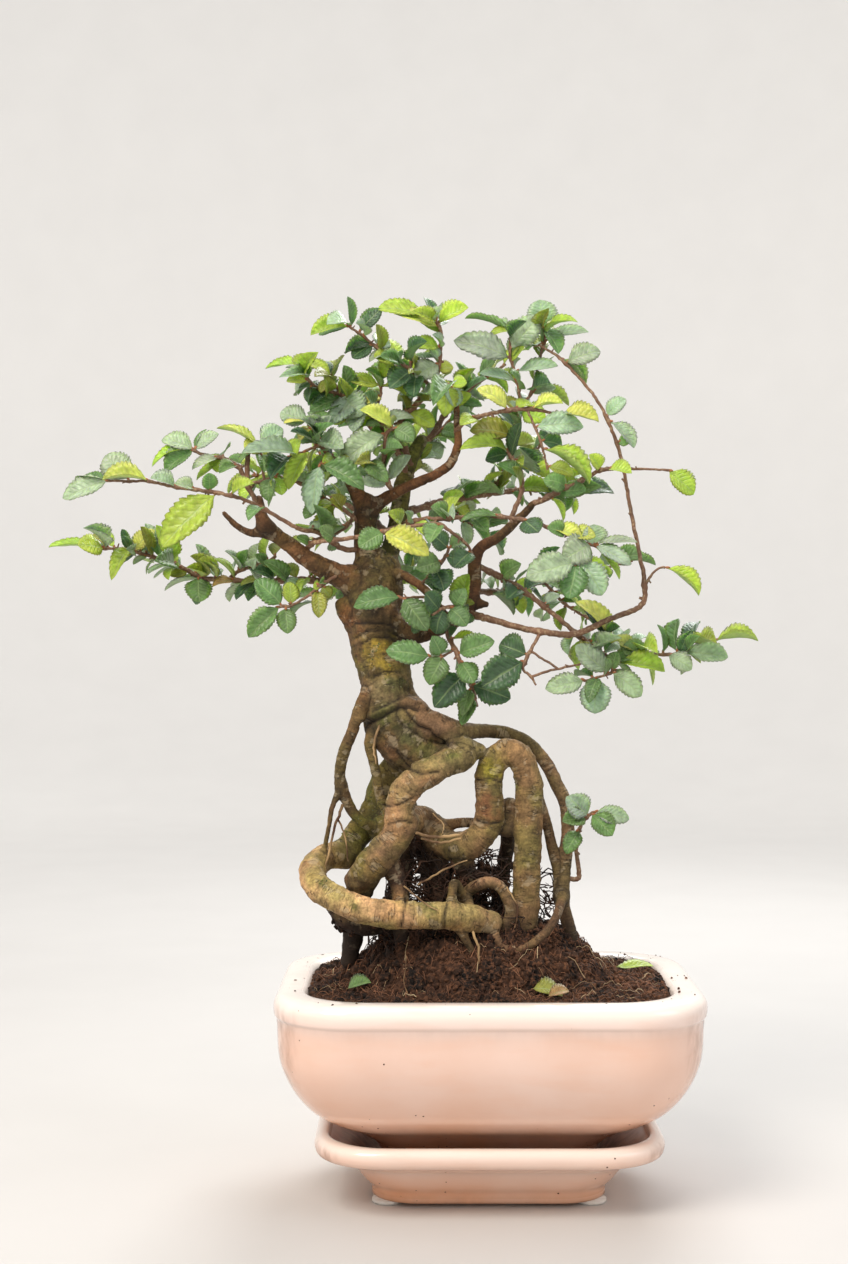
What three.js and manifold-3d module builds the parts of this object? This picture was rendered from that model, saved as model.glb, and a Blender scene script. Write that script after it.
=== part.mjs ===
// A Chinese elm bonsai in its glazed pot on a matching drip tray. Millimetres, +Z up.
// It is drawn round the middle of the pot, with the tray's pads on z = 0. The last lines centre the whole.
import * as THREE from "three";
import { mergeVertices } from "three/addons/utils/BufferGeometryUtils.js";
import Module from "manifold-3d";

const wasm = await Module();
wasm.setup();

const GAP = 0.3; // left between pieces that meet on curved faces
const CORNER_STEPS = 4; // facets of a rounded corner

// Pot: a rounded rectangle in plan, bowl shaped below, with a rolled rim
const POT_WIDTH = 150;
const POT_DEPTH = 114;
const POT_CORNER = 28;
const POT_CORNER_CLOSING = 0.4; // the corner tightens by this much per millimetre of inset
const POT_UNDERSIDE = 12;
const POT_FLOOR = 19;
const POT_FOOT = { x: 25, y: 9, width: 15, depth: 9, corner: 3 };
const DRAIN_HOLE = { x: 15, radius: 5, sides: 10 };
const DRAIN_MESH = { side: 18, thickness: 0.9, bars: 3, bar: 2 };

// Drip tray: the same plan, shallow, on four small pads
const TRAY_WIDTH = 122.5;
const TRAY_DEPTH = 91;
const TRAY_CORNER = 24;
const TRAY_UNDERSIDE = 1.5;
const TRAY_FLOOR = 7;
const PAD = { x: 36, y: 18, radius: 5, sides: 12 };

// Soil: fills the pot and rises to a mound under the roots
const SOIL_WALL_GAP = 0.5; // measured level, about 0.3 across the sloping wall
const SOIL_EDGE = 74.5;
const SOIL_RISE = 20;
const MOUND = { x: -3, y: 2, width: 46, depth: 31 };
const SOIL_LUMP = 0.7;
const SOIL_HALF_WIDTH = 63; // where it meets the lip
const SOIL_RINGS = [0.97, 0.8, 0.64, 0.48, 0.26]; // shares of that half width
const MOUND_SHOULDER = { outer: 1.25, width: 0.75 }; // in shares of the mound's own size

// Leaf blade: [place along the blade, share of the half width], toothed, widest in the middle
const BLADE_EDGE = [
  [0.2, 0.7],
  [0.4, 1],
  [0.47, 0.82],
  [0.72, 0.72],
];
const RIB_PLACE = 0.45;
const RIB_HALF_THICKNESS = 0.42;
const BLADE_ARCH = 0.06; // height of the arch over the length
const BLADE_FOLD = 0.2; // rise of the edges over their distance from the rib
const SPREAD_PLACES = [0.25, 0.4, 0.55, 0.7, 0.85, 1];
const SPREAD_SHARES = [-0.9, -0.45, 0, 0.45, 0.9];
const SMALLEST_LEAF = 9.2; // smaller ones are left out of the solids
const LEAF_CLEARANCE = 2.3; // between points spread over two blades
const STEM_CLEARANCE = 1.5; // from a point on a blade to the skin of a stem
const LEANS = [0, -2, 2, -4, 4, -6, 6, -9, 9, -12, 12, -15];

const TRUNK_SIDES = 8;
const LIMB_SIDES = 6;
const ROOT_SIDES = 5;
const TWIG_SIDES = 3;
const LIMB_STEP = 14;
const TWIG_STEP = 24;
const LEAF_SET_BACK = 0.12; // a leaf at the end of a stem is rooted this share of a row inside it

// Solids

function solidFrom(positions, triangles) {
  const geometry = new THREE.BufferGeometry();
  geometry.setAttribute("position", new THREE.Float32BufferAttribute(positions, 3));
  geometry.setIndex(triangles);
  return solidOf(geometry);
}

function solidOf(geometry) {
  geometry.deleteAttribute("normal");
  geometry.deleteAttribute("uv");
  const merged = mergeVertices(geometry, 1e-4);
  return new wasm.Manifold(
    new wasm.Mesh({
      numProp: 3,
      vertProperties: merged.attributes.position.array,
      triVerts: new Uint32Array(merged.index.array),
    }),
  );
}

function joined(solids) {
  return solids.reduce((whole, next) => whole.add(next));
}

function meshOf(name, solid, colour, roughness) {
  const made = solid.getMesh();
  const geometry = new THREE.BufferGeometry();
  geometry.setAttribute("position", new THREE.BufferAttribute(made.vertProperties, 3));
  geometry.setIndex(new THREE.BufferAttribute(made.triVerts, 1));
  const material = new THREE.MeshStandardMaterial({ color: colour, roughness, metalness: 0 });
  const mesh = new THREE.Mesh(geometry, material);
  mesh.name = name;
  return mesh;
}

// A closed skin over rings of equally many points, flat at both ends.
function loft(rings) {
  const count = rings[0].length;
  const positions = rings.flat().flatMap((point) => point.toArray());
  const triangles = [];
  for (let ring = 0; ring < rings.length - 1; ring++) {
    for (let i = 0; i < count; i++) {
      const next = (i + 1) % count;
      const low = ring * count;
      const high = low + count;
      triangles.push(low + i, low + next, high + next, low + i, high + next, high + i);
    }
  }
  const last = (rings.length - 1) * count;
  for (let i = 1; i < count - 1; i++) {
    triangles.push(0, i + 1, i, last, last + i, last + i + 1);
  }
  return solidFrom(positions, triangles);
}

// A level rounded rectangle as a ring of points.
function roundedRing(halfWidth, halfDepth, corner, z, x = 0, y = 0, steps = CORNER_STEPS) {
  const ring = [];
  for (let quarter = 0; quarter < 4; quarter++) {
    const signX = quarter === 0 || quarter === 3 ? 1 : -1;
    const signY = quarter < 2 ? 1 : -1;
    for (let step = 0; step <= steps; step++) {
      const angle = ((quarter + step / steps) * Math.PI) / 2;
      ring.push(
        new THREE.Vector3(
          x + signX * (halfWidth - corner) + corner * Math.cos(angle),
          y + signY * (halfDepth - corner) + corner * Math.sin(angle),
          z,
        ),
      );
    }
  }
  return ring;
}

function cylinder(radius, height, sides, x, y, z) {
  const geometry = new THREE.CylinderGeometry(radius, radius, height, sides);
  geometry.rotateX(Math.PI / 2);
  geometry.translate(x, y, z + height / 2);
  return solidOf(geometry);
}

// Pot and tray: rows of [half width, height], from the underside over the rim and down to the inner floor

const POT_OUTSIDE = [
  [35, POT_UNDERSIDE],
  [36.8, 14],
  [40, 19],
  [44, 22.5],
  [49.5, 26.2],
  [56.4, 29.6],
  [63.3, 34.8],
  [69.5, 43.4],
  [73.3, 53.7],
  [74.2, 67.6],
  [75, 69.2],
  [75, 73.4],
  [72.6, 76],
];
const POT_INSIDE = [
  [65.8, 76],
  [63.5, 73.6],
  [63.5, 68],
  [66.5, 61],
  [65.8, 51],
  [60, 41],
  [50, 33.5],
  [40, 27.5],
  [32, POT_FLOOR],
];
const TRAY_OUTSIDE = [
  [41.5, TRAY_UNDERSIDE],
  [42, 4.8],
  [44.3, 7.5],
  [49.1, 13.8],
  [55.5, 17.4],
  [60.1, 18.6],
  [61.25, 20.4],
  [61.25, 23.4],
  [59.5, 25],
];
const TRAY_INSIDE = [
  [56.9, 25],
  [55.9, 23],
  [52.5, 19.6],
  [47.5, 16.5],
  [43, 11.5],
  [39.5, TRAY_FLOOR],
];

function vessel(profile, width, depth, corner) {
  const rings = profile.map(([halfWidth, z]) => {
    const inset = width / 2 - halfWidth;
    return roundedRing(halfWidth, depth / 2 - inset, corner - POT_CORNER_CLOSING * inset, z);
  });
  return loft(rings);
}

function potSolid() {
  let pot = vessel([...POT_OUTSIDE, ...POT_INSIDE], POT_WIDTH, POT_DEPTH, POT_CORNER);
  for (const signX of [-1, 1]) {
    for (const signY of [-1, 1]) {
      const foot = [TRAY_FLOOR, POT_UNDERSIDE + 1].map((z, index) =>
        roundedRing(
          POT_FOOT.width / 2 + index,
          POT_FOOT.depth / 2 + index,
          POT_FOOT.corner,
          z,
          signX * POT_FOOT.x,
          signY * POT_FOOT.y,
          2,
        ),
      );
      pot = pot.add(loft(foot));
    }
    const { x, radius, sides } = DRAIN_HOLE;
    const depth = POT_FLOOR - POT_UNDERSIDE + 2;
    pot = pot.subtract(cylinder(radius, depth, sides, signX * x, 0, POT_UNDERSIDE - 1));
  }
  return pot;
}

// A woven square over a drain hole, drawn as crossing bars.
function drainMesh(x) {
  const { side, thickness, bars, bar } = DRAIN_MESH;
  const pieces = [];
  for (let index = 0; index < bars; index++) {
    const offset = (index / (bars - 1) - 0.5) * (side - bar);
    for (const [width, depth, u, v] of [[side, bar, 0, offset], [bar, side, offset, 0]]) {
      const geometry = new THREE.BoxGeometry(width, depth, thickness);
      geometry.translate(x + u, v, POT_FLOOR + thickness / 2);
      pieces.push(solidOf(geometry));
    }
  }
  return joined(pieces);
}

// Soil

// Height of the soil: level at the pot's lip, a flat-topped mound in the middle, lumps all over.
function soilHeight(x, y) {
  const away = Math.hypot((x - MOUND.x) / MOUND.width, (y - MOUND.y) / MOUND.depth);
  const rise = THREE.MathUtils.smoothstep(MOUND_SHOULDER.outer - away, 0, MOUND_SHOULDER.width);
  const lump = Math.sin(x * 0.41 + y * 0.23) + Math.sin(y * 0.47 - x * 0.19 + 2);
  return SOIL_EDGE + SOIL_RISE * rise + SOIL_LUMP * lump * Math.min(1, rise * 4 + 0.3);
}

function soilSolid() {
  const rings = [];
  for (const [halfWidth, z] of [...POT_INSIDE].reverse().slice(0, -1)) {
    const wall = POT_WIDTH / 2 - halfWidth + SOIL_WALL_GAP;
    const level = z === POT_FLOOR ? POT_FLOOR + DRAIN_MESH.thickness + GAP : z;
    const corner = POT_CORNER - POT_CORNER_CLOSING * wall;
    rings.push(roundedRing(POT_WIDTH / 2 - wall, POT_DEPTH / 2 - wall, corner, level));
  }
  const inset = POT_WIDTH / 2 - SOIL_HALF_WIDTH;
  for (const share of SOIL_RINGS) {
    const ring = roundedRing(
      SOIL_HALF_WIDTH * share,
      (POT_DEPTH / 2 - inset) * share,
      (POT_CORNER - POT_CORNER_CLOSING * inset) * share,
      0,
      MOUND.x * (1 - share),
      MOUND.y * (1 - share),
    );
    ring.forEach((point) => (point.z = soilHeight(point.x, point.y)));
    rings.push(ring);
  }
  return loft(rings);
}

// Stems

// A smooth stem through rows of [x, y, z, radius], drawn out of `parent` where that is given.
// Its tube is straight between rings that stand `step` apart.
class Stem {
  constructor(rows, step, parent = null) {
    const own = rows.map(([x, y, z]) => new THREE.Vector3(x, y, z));
    this.shift = parent ? 1 : 0;
    this.points = parent ? [parent.nearest(own[0]), ...own] : own;
    this.radii = rows.map((row) => row[3]);
    if (parent) this.radii.unshift(this.radii[0]);
    this.curve = new THREE.CatmullRomCurve3(this.points, false, "catmullrom", 0.5);
    const count = Math.max(2, Math.ceil(this.curve.getLength() / step));
    this.rings = Array.from({ length: count + 1 }, (_, index) => {
      const share = this.curve.getUtoTmapping(index / count, 0);
      return this.at(share * (this.points.length - 1) - this.shift);
    });
    if (parent) this.rings[0].point = parent.nearestInTube(this.points[0]);
  }

  get rows() {
    return this.points.length - 1 - this.shift;
  }

  // Point and radius at `place`, counted in rows.
  at(place) {
    const last = this.points.length - 1;
    const u = THREE.MathUtils.clamp(place + this.shift, 0, last);
    const row = Math.min(Math.floor(u), last - 1);
    const radius = THREE.MathUtils.lerp(this.radii[row], this.radii[row + 1], u - row);
    return { point: this.curve.getPoint(u / last), radius };
  }

  // Points and radii along the stem, no further apart than `step`.
  along(step) {
    const stations = [];
    for (let row = 0; row < this.points.length - 1; row++) {
      const length = this.points[row].distanceTo(this.points[row + 1]);
      const parts = Math.max(1, Math.ceil(length / step));
      for (let part = 0; part < parts; part++) stations.push(this.at(row - this.shift + part / parts));
    }
    stations.push(this.at(this.points.length - 1));
    return stations;
  }

  nearest(place) {
    const points = this.along(1.5).map(({ point }) => point);
    return points.reduce((best, point) => (point.distanceTo(place) < best.distanceTo(place) ? point : best));
  }

  // The point nearest to `place` on the middle line of the straight-sided tube.
  nearestInTube(place) {
    const ends = this.rings.map(({ point }) => point);
    const chords = ends.slice(1).map((end, index) => new THREE.Line3(ends[index], end));
    const points = chords.map((chord) => chord.closestPointToPoint(place, true, new THREE.Vector3()));
    return points.reduce((best, point) => (point.distanceTo(place) < best.distanceTo(place) ? point : best));
  }

  solid(sides, fatter = 0) {
    const across = new THREE.Vector3(0.3, 0.5, 0.8);
    const rings = this.rings.map(({ point, radius }, index) => {
      const before = this.rings[Math.max(0, index - 1)].point;
      const after = this.rings[Math.min(this.rings.length - 1, index + 1)].point;
      const tangent = after.clone().sub(before).normalize();
      across.addScaledVector(tangent, -across.dot(tangent)).normalize();
      const up = tangent.clone().cross(across);
      return Array.from({ length: sides }, (_, side) => {
        const angle = (side / sides) * 2 * Math.PI;
        return point
          .clone()
          .addScaledVector(across, (radius + fatter) * Math.cos(angle))
          .addScaledVector(up, (radius + fatter) * Math.sin(angle));
      });
    });
    return loft(rings);
  }
}

// Each row list grows out of the nearest stem before it, the first one out of the stems given.
function grow(rowLists, step, from) {
  const stems = [];
  for (const rows of rowLists) {
    const start = new THREE.Vector3(...rows[0]);
    const away = (stem) => stem.nearest(start).distanceTo(start);
    const parents = stems.length ? stems : from;
    const parent = parents.reduce((best, stem) => (away(stem) < away(best) ? stem : best));
    stems.push(new Stem(rows, step, parent));
  }
  return stems;
}

// A solid without the scraps that a cut leaves and the hollows that fusing seals.
function mainBody(solid) {
  return solid.decompose().reduce((best, body) => (body.volume() > best.volume() ? body : best));
}

// Leaves

// A blade from `base` to base + reach. Roll 0 faces the front, 90 the sky.
class Blade {
  constructor(base, reach, width, roll) {
    this.base = base;
    this.length = reach.length();
    this.width = width;
    this.axis = reach.clone().normalize();
    const front = new THREE.Vector3(0, -1, 0).addScaledVector(this.axis, this.axis.y);
    if (front.lengthSq() < 1e-3) front.set(0, 0, 1);
    front.normalize();
    const side = this.axis.clone().cross(front);
    if (side.z < 0) side.negate();
    const angle = THREE.MathUtils.degToRad(roll);
    this.normal = front.multiplyScalar(Math.cos(angle)).addScaledVector(side, Math.sin(angle));
    this.across = this.normal.clone().cross(this.axis);
  }

  // A point of the middle sheet, `offset` to one side and `lift` off it.
  point(place, offset, lift = 0) {
    const arch = BLADE_ARCH * this.length * 4 * place * (1 - place);
    return this.base
      .clone()
      .addScaledVector(this.axis, this.length * place)
      .addScaledVector(this.across, offset)
      .addScaledVector(this.normal, arch + BLADE_FOLD * Math.abs(offset) + lift);
  }

  halfWidth(place) {
    const rows = [[0, 0.1], ...BLADE_EDGE, [1, 0]];
    const next = rows.findIndex((row) => row[0] >= place);
    const [from, to] = [rows[Math.max(0, next - 1)], rows[next]];
    const share = to[0] > from[0] ? (place - from[0]) / (to[0] - from[0]) : 0;
    return (this.width / 2) * THREE.MathUtils.lerp(from[1], to[1], share);
  }

  // Points spread over the blade, for the test of what it touches.
  spread() {
    return SPREAD_PLACES.flatMap((place) =>
      SPREAD_SHARES.map((share) => this.point(place, share * this.halfWidth(place))),
    );
  }

  // Both faces have the same triangles, so they never cross. `settle` moves the finished points.
  solid(settle = (point) => point) {
    const points = [this.point(0, 0)];
    for (const [place, share] of BLADE_EDGE) points.push(this.point(place, (share * this.width) / 2));
    points.push(this.point(1, 0));
    for (const [place, share] of [...BLADE_EDGE].reverse()) {
      points.push(this.point(place, (-share * this.width) / 2));
    }
    const edge = points.length;
    const [top, bottom] = [edge, edge + 1];
    points.push(this.point(RIB_PLACE, 0, RIB_HALF_THICKNESS), this.point(RIB_PLACE, 0, -RIB_HALF_THICKNESS));
    const triangles = [];
    for (let i = 0; i < edge; i++) {
      const next = (i + 1) % edge;
      triangles.push(next, i, top, i, next, bottom);
    }
    return solidFrom(points.flatMap((point) => settle(point).toArray()), triangles);
  }
}

function seeded(seed) {
  let state = seed;
  return () => {
    state = (state + 0x6d2b79f5) | 0;
    let mixed = Math.imul(state ^ (state >>> 15), state | 1);
    mixed ^= mixed + Math.imul(mixed ^ (mixed >>> 7), mixed | 61);
    return ((mixed ^ (mixed >>> 14)) >>> 0) / 4294967296;
  };
}

// What a new blade has to keep clear of: the stems and blades of the other pieces.
class Surroundings {
  constructor() {
    this.stems = [];
    this.blades = [];
  }

  addStems(owner, stems) {
    for (const stem of stems) this.stems.push({ owner, stations: stem.along(2) });
  }

  isClear(owner, blade) {
    const points = blade.spread();
    const middle = blade.point(0.5, 0);
    for (const other of this.blades) {
      if (other.owner === owner) continue;
      const reach = (other.length + blade.length) / 2 + LEAF_CLEARANCE + 3;
      if (middle.distanceTo(other.middle) > reach) continue;
      if (other.points.some((a) => points.some((b) => a.distanceTo(b) < LEAF_CLEARANCE))) return false;
    }
    for (const { owner: holder, stations } of this.stems) {
      if (holder === owner) continue;
      for (const { point, radius } of stations) {
        if (middle.distanceTo(point) > blade.length + 12) continue;
        if (points.some((b) => b.distanceTo(point) < radius + STEM_CLEARANCE)) return false;
      }
    }
    return true;
  }

  // The blade leans to the front or back until it is clear, its outline from the front kept.
  place(owner, base, reach, width, roll) {
    for (const lean of LEANS) {
      const leaning = reach.clone().add(new THREE.Vector3(0, lean, 0));
      const blade = new Blade(base, leaning, width, roll);
      if (!this.isClear(owner, blade)) continue;
      const { length } = blade;
      this.blades.push({ owner, length, middle: blade.point(0.5, 0), points: blade.spread() });
      return blade;
    }
    return null;
  }
}

function leafRoot(stem, place) {
  return stem.at(Math.min(place, stem.rows - LEAF_SET_BACK)).point;
}

// A blade's solid, moved the little way from the smooth stem to its straight-sided tube.
function seatedSolid(blade, stem) {
  const shift = stem.nearestInTube(blade.base).sub(blade.base);
  return blade.solid((point) => point.add(shift));
}

// Leaves set by hand: rows of [place on the stem, x, y and z of the tip from there, width, roll].
function setLeaves(name, stem, rows, around) {
  return rows
    .map(([place, x, y, z, width, roll]) =>
      around.place(name, leafRoot(stem, place), new THREE.Vector3(x, y, z), width, roll),
    )
    .filter(Boolean);
}

// Leaves by rule: alternate to both sides from place to place, the last one at the stem's end.
function rankLeaves(name, stem, [first, last, count, length, seed], around) {
  const random = seeded(seed);
  const blades = [];
  for (let i = 0; i < count; i++) {
    const place = first + ((last - first) * i) / (count - 1);
    const base = leafRoot(stem, place);
    const tangent = stem.at(place + 0.05).point.sub(stem.at(place - 0.05).point).normalize();
    const across = tangent.clone().cross(new THREE.Vector3(0, 0, 1)).normalize();
    const side = i === count - 1 ? 0 : i % 2 ? 1 : -1;
    for (let attempt = 0; attempt < 4; attempt++) {
      const [size, rise, swing, turn] = [random(), random(), random(), random()];
      const reach = tangent
        .clone()
        .multiplyScalar(0.4 + 0.4 * swing)
        .addScaledVector(across, 0.85 * side)
        .add(new THREE.Vector3(0, 0, 0.9 * rise - 0.4))
        .setLength(length * (0.75 + 0.35 * size));
      const blade = around.place(name, base, reach, reach.length() * 0.6, 40 + 70 * turn);
      if (!blade) continue;
      blades.push(blade);
      break;
    }
  }
  return blades;
}

// Stems are rows of [x, y, z, radius]. The trunk, its thick limbs and the bared roots grew as one piece.
// The trunk, the fold of wood at its foot and the stub of a cut limb at its shoulder
const TRUNK = [
  [[-15, -3, 149, 4.5], [-21, -1, 154, 8.3], [-31, 0, 169, 10.3], [-37.5, 1, 184, 10.2],
    [-39.7, 2, 198, 10.2], [-42.6, 3, 211, 11], [-42, 4, 222, 8]],
  [[-37, 2, 178, 8], [-34.6, -1, 163, 8.6], [-29, -2, 155, 8], [-22, -2, 151, 6.5]],
  [[-44, 1, 214, 6.5], [-50, -1, 212.5, 6.2], [-55.5, -3, 211.5, 5.2]],
];

// Thick limbs: the left one with its cut ends, the fork of the crown, the mossy limb behind, the right arm
const LIMBS = [
  [[-45, 2, 217, 6], [-50, 0, 220, 5], [-57, -2, 223, 3.9], [-64.5, -4, 227, 3.3],
    [-71.5, -6, 232.5, 2.8], [-80, -8, 238.5, 2.3]],
  [[-79, -8, 237.5, 2.2], [-81.5, -8, 243, 2.2], [-82.5, -7.5, 248, 2]],
  [[-79, -8, 237.5, 1.8], [-85, -8, 236.5, 1.6], [-90, -9, 239, 1.5], [-94.5, -10, 243.5, 1.3]],
  [[-43, 3, 217, 6.5], [-43.5, 2, 225, 4.8], [-44.3, 1.5, 236, 4], [-44, 0, 247.5, 3.5]],
  [[-44, 0, 245, 3], [-48, -1, 252.5, 2.4], [-50.3, -1, 257, 2.1], [-52, -2, 260, 1.5]],
  [[-44, 0, 244, 3], [-37.5, -1, 249, 2.6], [-31, -2, 252.6, 2.5], [-24.5, -2, 255.5, 2.3],
    [-19, -1, 258, 2], [-13.5, 0, 262, 1.9], [-10.7, 0, 269, 1.7], [-11, 0, 276, 1.5],
    [-11.2, 0, 283, 1.1]],
  [[-41, 6, 218, 6], [-38.5, 12, 228, 5], [-36, 15, 242, 4.4], [-32, 16, 258, 3.8],
    [-29.5, 16, 264, 3.3], [-24, 16, 272, 2.6]],
  [[-36, 0, 206, 5], [-31.5, -2, 202, 3.6], [-26, -3, 199, 3.2], [-20.5, -3, 201, 3.1],
    [-15, -2, 203.5, 3.2], [-8, -1, 208.5, 3.3], [-5, 0, 218, 3.1], [-4.5, -1, 227, 2.9],
    [-2.5, -2, 231.5, 2.5], [2.7, -2, 234.5, 2.2], [6.5, -2, 237.5, 2], [10, -2, 241, 1.9],
    [13.5, -2.5, 244, 1.7], [16, -3.5, 247, 1.5]],
  [[-38, 2, 221, 2.6], [-32, -2, 222, 1.7], [-27, -4, 219.5, 1.6], [-22, -4.5, 215.5, 1.5],
    [-17, -3.5, 209, 1.5], [-14, -2, 204.5, 1.5]],
  [[-6, 0, 212, 2.4], [-1.5, -1, 211.3, 2.3], [1.2, -1.5, 211, 1.7]],
];

// Bared roots: the front root and its knob, the loop round the front, the tall arches, the thin roots round
// them and the legs that carry the tree down into the soil
const ROOTS = [
  [[-16.5, -8, 154, 5], [-25, -9, 150, 5.2], [-30.7, -10, 145, 5.3], [-32, -10, 138.5, 5.2],
    [-31.4, -10, 132, 5.1], [-33.2, -10, 127.4, 5.1], [-37.5, -10, 122.7, 5.3], [-42.3, -9, 117, 5.4],
    [-46, -7, 112, 5]],
  [[-12, -8, 156.5, 4.9], [-8, -7, 158, 4.7], [-3, -7, 158.5, 3]],
  [[-30, 5, 152, 6.5], [-38, 7, 144, 5.5], [-40, 8, 137.5, 5.1], [-44.4, 8, 131, 5],
    [-48.4, 7, 124.5, 4.9], [-52, 5, 120, 4.6]],
  [[-55, 3, 120, 4.7], [-59, 1, 119.5, 4.7], [-62.5, -8, 116, 4.8], [-61, -16, 111, 4.8],
    [-54, -20, 107, 4.8], [-45, -22, 103.8, 4.9], [-34, -22.5, 101.8, 4.9], [-23.7, -22, 101.6, 4.8],
    [-14, -21, 101, 4.7], [-5.6, -19, 100, 4.4], [0.8, -16, 98.3, 3.6]],
  [[-24, 2, 133, 4.5], [-16, 0, 125, 5], [-8, -4, 124, 5], [-2, -5, 128.5, 5], [0.6, -5, 135, 5],
    [0.5, -5, 142, 5], [0.6, -4, 149, 5], [3, -4, 155, 5], [8, -4, 157.8, 5], [12.7, -4, 154, 4.9],
    [14.8, -4, 145, 4.8], [14.8, -5, 131, 4.8], [14, -6, 114.5, 4.8], [13.3, -6, 100, 5],
    [12.5, -6, 86, 4.6]],
  [[-22, 3, 166, 4], [-10.3, 5, 164.8, 2.6], [-1.3, 6, 165, 2.5], [7.8, 6, 163.7, 2.5],
    [15.4, 5, 160, 2.4], [21.6, 4, 153, 2.4], [25, 3, 146, 2.4], [28.4, 2, 139, 2.4],
    [29.2, 1, 128, 2.3], [27.8, 0, 114, 2.3], [27, -1, 104, 2.3], [30, -2, 92, 2.4], [31, -2, 82, 2]],
  [[14.7, -3, 145, 2.4], [18.7, -1, 139.5, 1.9], [21.6, 0, 131, 1.8], [23.8, 0, 121, 1.8],
    [25.6, 0, 114, 1.8], [26.5, -1, 105, 1.8]],
  [[27, -3, 105.5, 1.8], [24, -12, 99.5, 1.5], [19.4, -17, 94, 1.5], [12, -19, 89.5, 1.5],
    [5.5, -19, 89.5, 1.5], [2, -18, 94, 1.5], [1.2, -16, 99, 1.6]],
  [[-8, -8, 106.7, 2], [-2, -11, 111.4, 2.1], [3.5, -12, 110.7, 2.1], [7, -12, 105.3, 2],
    [7.8, -12, 100, 2], [5, -12, 93, 1.9], [4, -11, 83, 1.5]],
  [[-25, 4, 129, 2], [-14, 3, 131, 1.8], [-5.6, 2, 131.7, 1.8], [4, -1, 130.5, 1.8],
    [12, -4, 129.6, 1.8]],
  [[-37, -1, 184, 2.6], [-44, -5, 178, 2.3], [-48.5, -6, 166, 2.1], [-52, -6, 157, 2.1],
    [-53.3, -5, 149, 2], [-51.5, -4, 142, 2], [-48, -3, 135, 1.9], [-43, -1, 131, 1.9],
    [-38, 3, 129, 1.8]],
  [[-52.6, -5, 146, 1], [-56, -6, 138, 0.9], [-57, -6, 132, 0.8], [-59, -5, 122, 0.8]],
  [[-38, -3, 168, 2.6], [-42.5, -5, 162, 1.9], [-41.5, -6, 155.7, 1.8], [-40, -6, 149, 1.7],
    [-38.5, -7, 141, 1.7], [-35, -8, 134, 1.6]],
  [[-33, 6, 134, 5], [-31, 8, 122, 4.6], [-32, 9, 108, 4.2], [-35, 10, 96, 3.8], [-37, 10, 83, 3]],
  [[-44, -7, 113, 4.5], [-47, -5, 104, 4.2], [-48, -3, 95, 3.8], [-50, -2, 82, 3]],
  [[-22, 3, 131, 4.4], [-18, 4, 120, 3.8], [-17, 2, 108, 3.6], [-19, -1, 96, 3.4], [-21, -3, 82, 2.8]],
  [[-10, -3, 122, 4.2], [-7, 0, 112, 3.6], [-5, 3, 101, 3.4], [-3, 5, 92, 3], [-2, 6, 82, 2.6]],
  [[-36, -8, 120, 3.6], [-32, -9, 110, 3], [-31, -11, 100, 2.8], [-31, -12, 90, 2.4], [-30, -12, 82, 2]],
  [[8, 0, 138, 3], [8, 7, 126, 2.8], [6, 11, 112, 2.6], [4, 13, 98, 2.6], [3, 14, 82, 2.2]],
  [[-30, 8, 140, 3.4], [-26, 15, 126, 2.8], [-22, 18, 112, 2.6], [-20, 19, 98, 2.6], [-20, 20, 82, 2.2]],
  [[-12, -16, 112, 1.6], [-13, -19, 106, 1.6], [-10, -20, 96, 1.5], [-6, -20, 88, 1.2],
    [-5, -20, 80, 1]],
];

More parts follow.
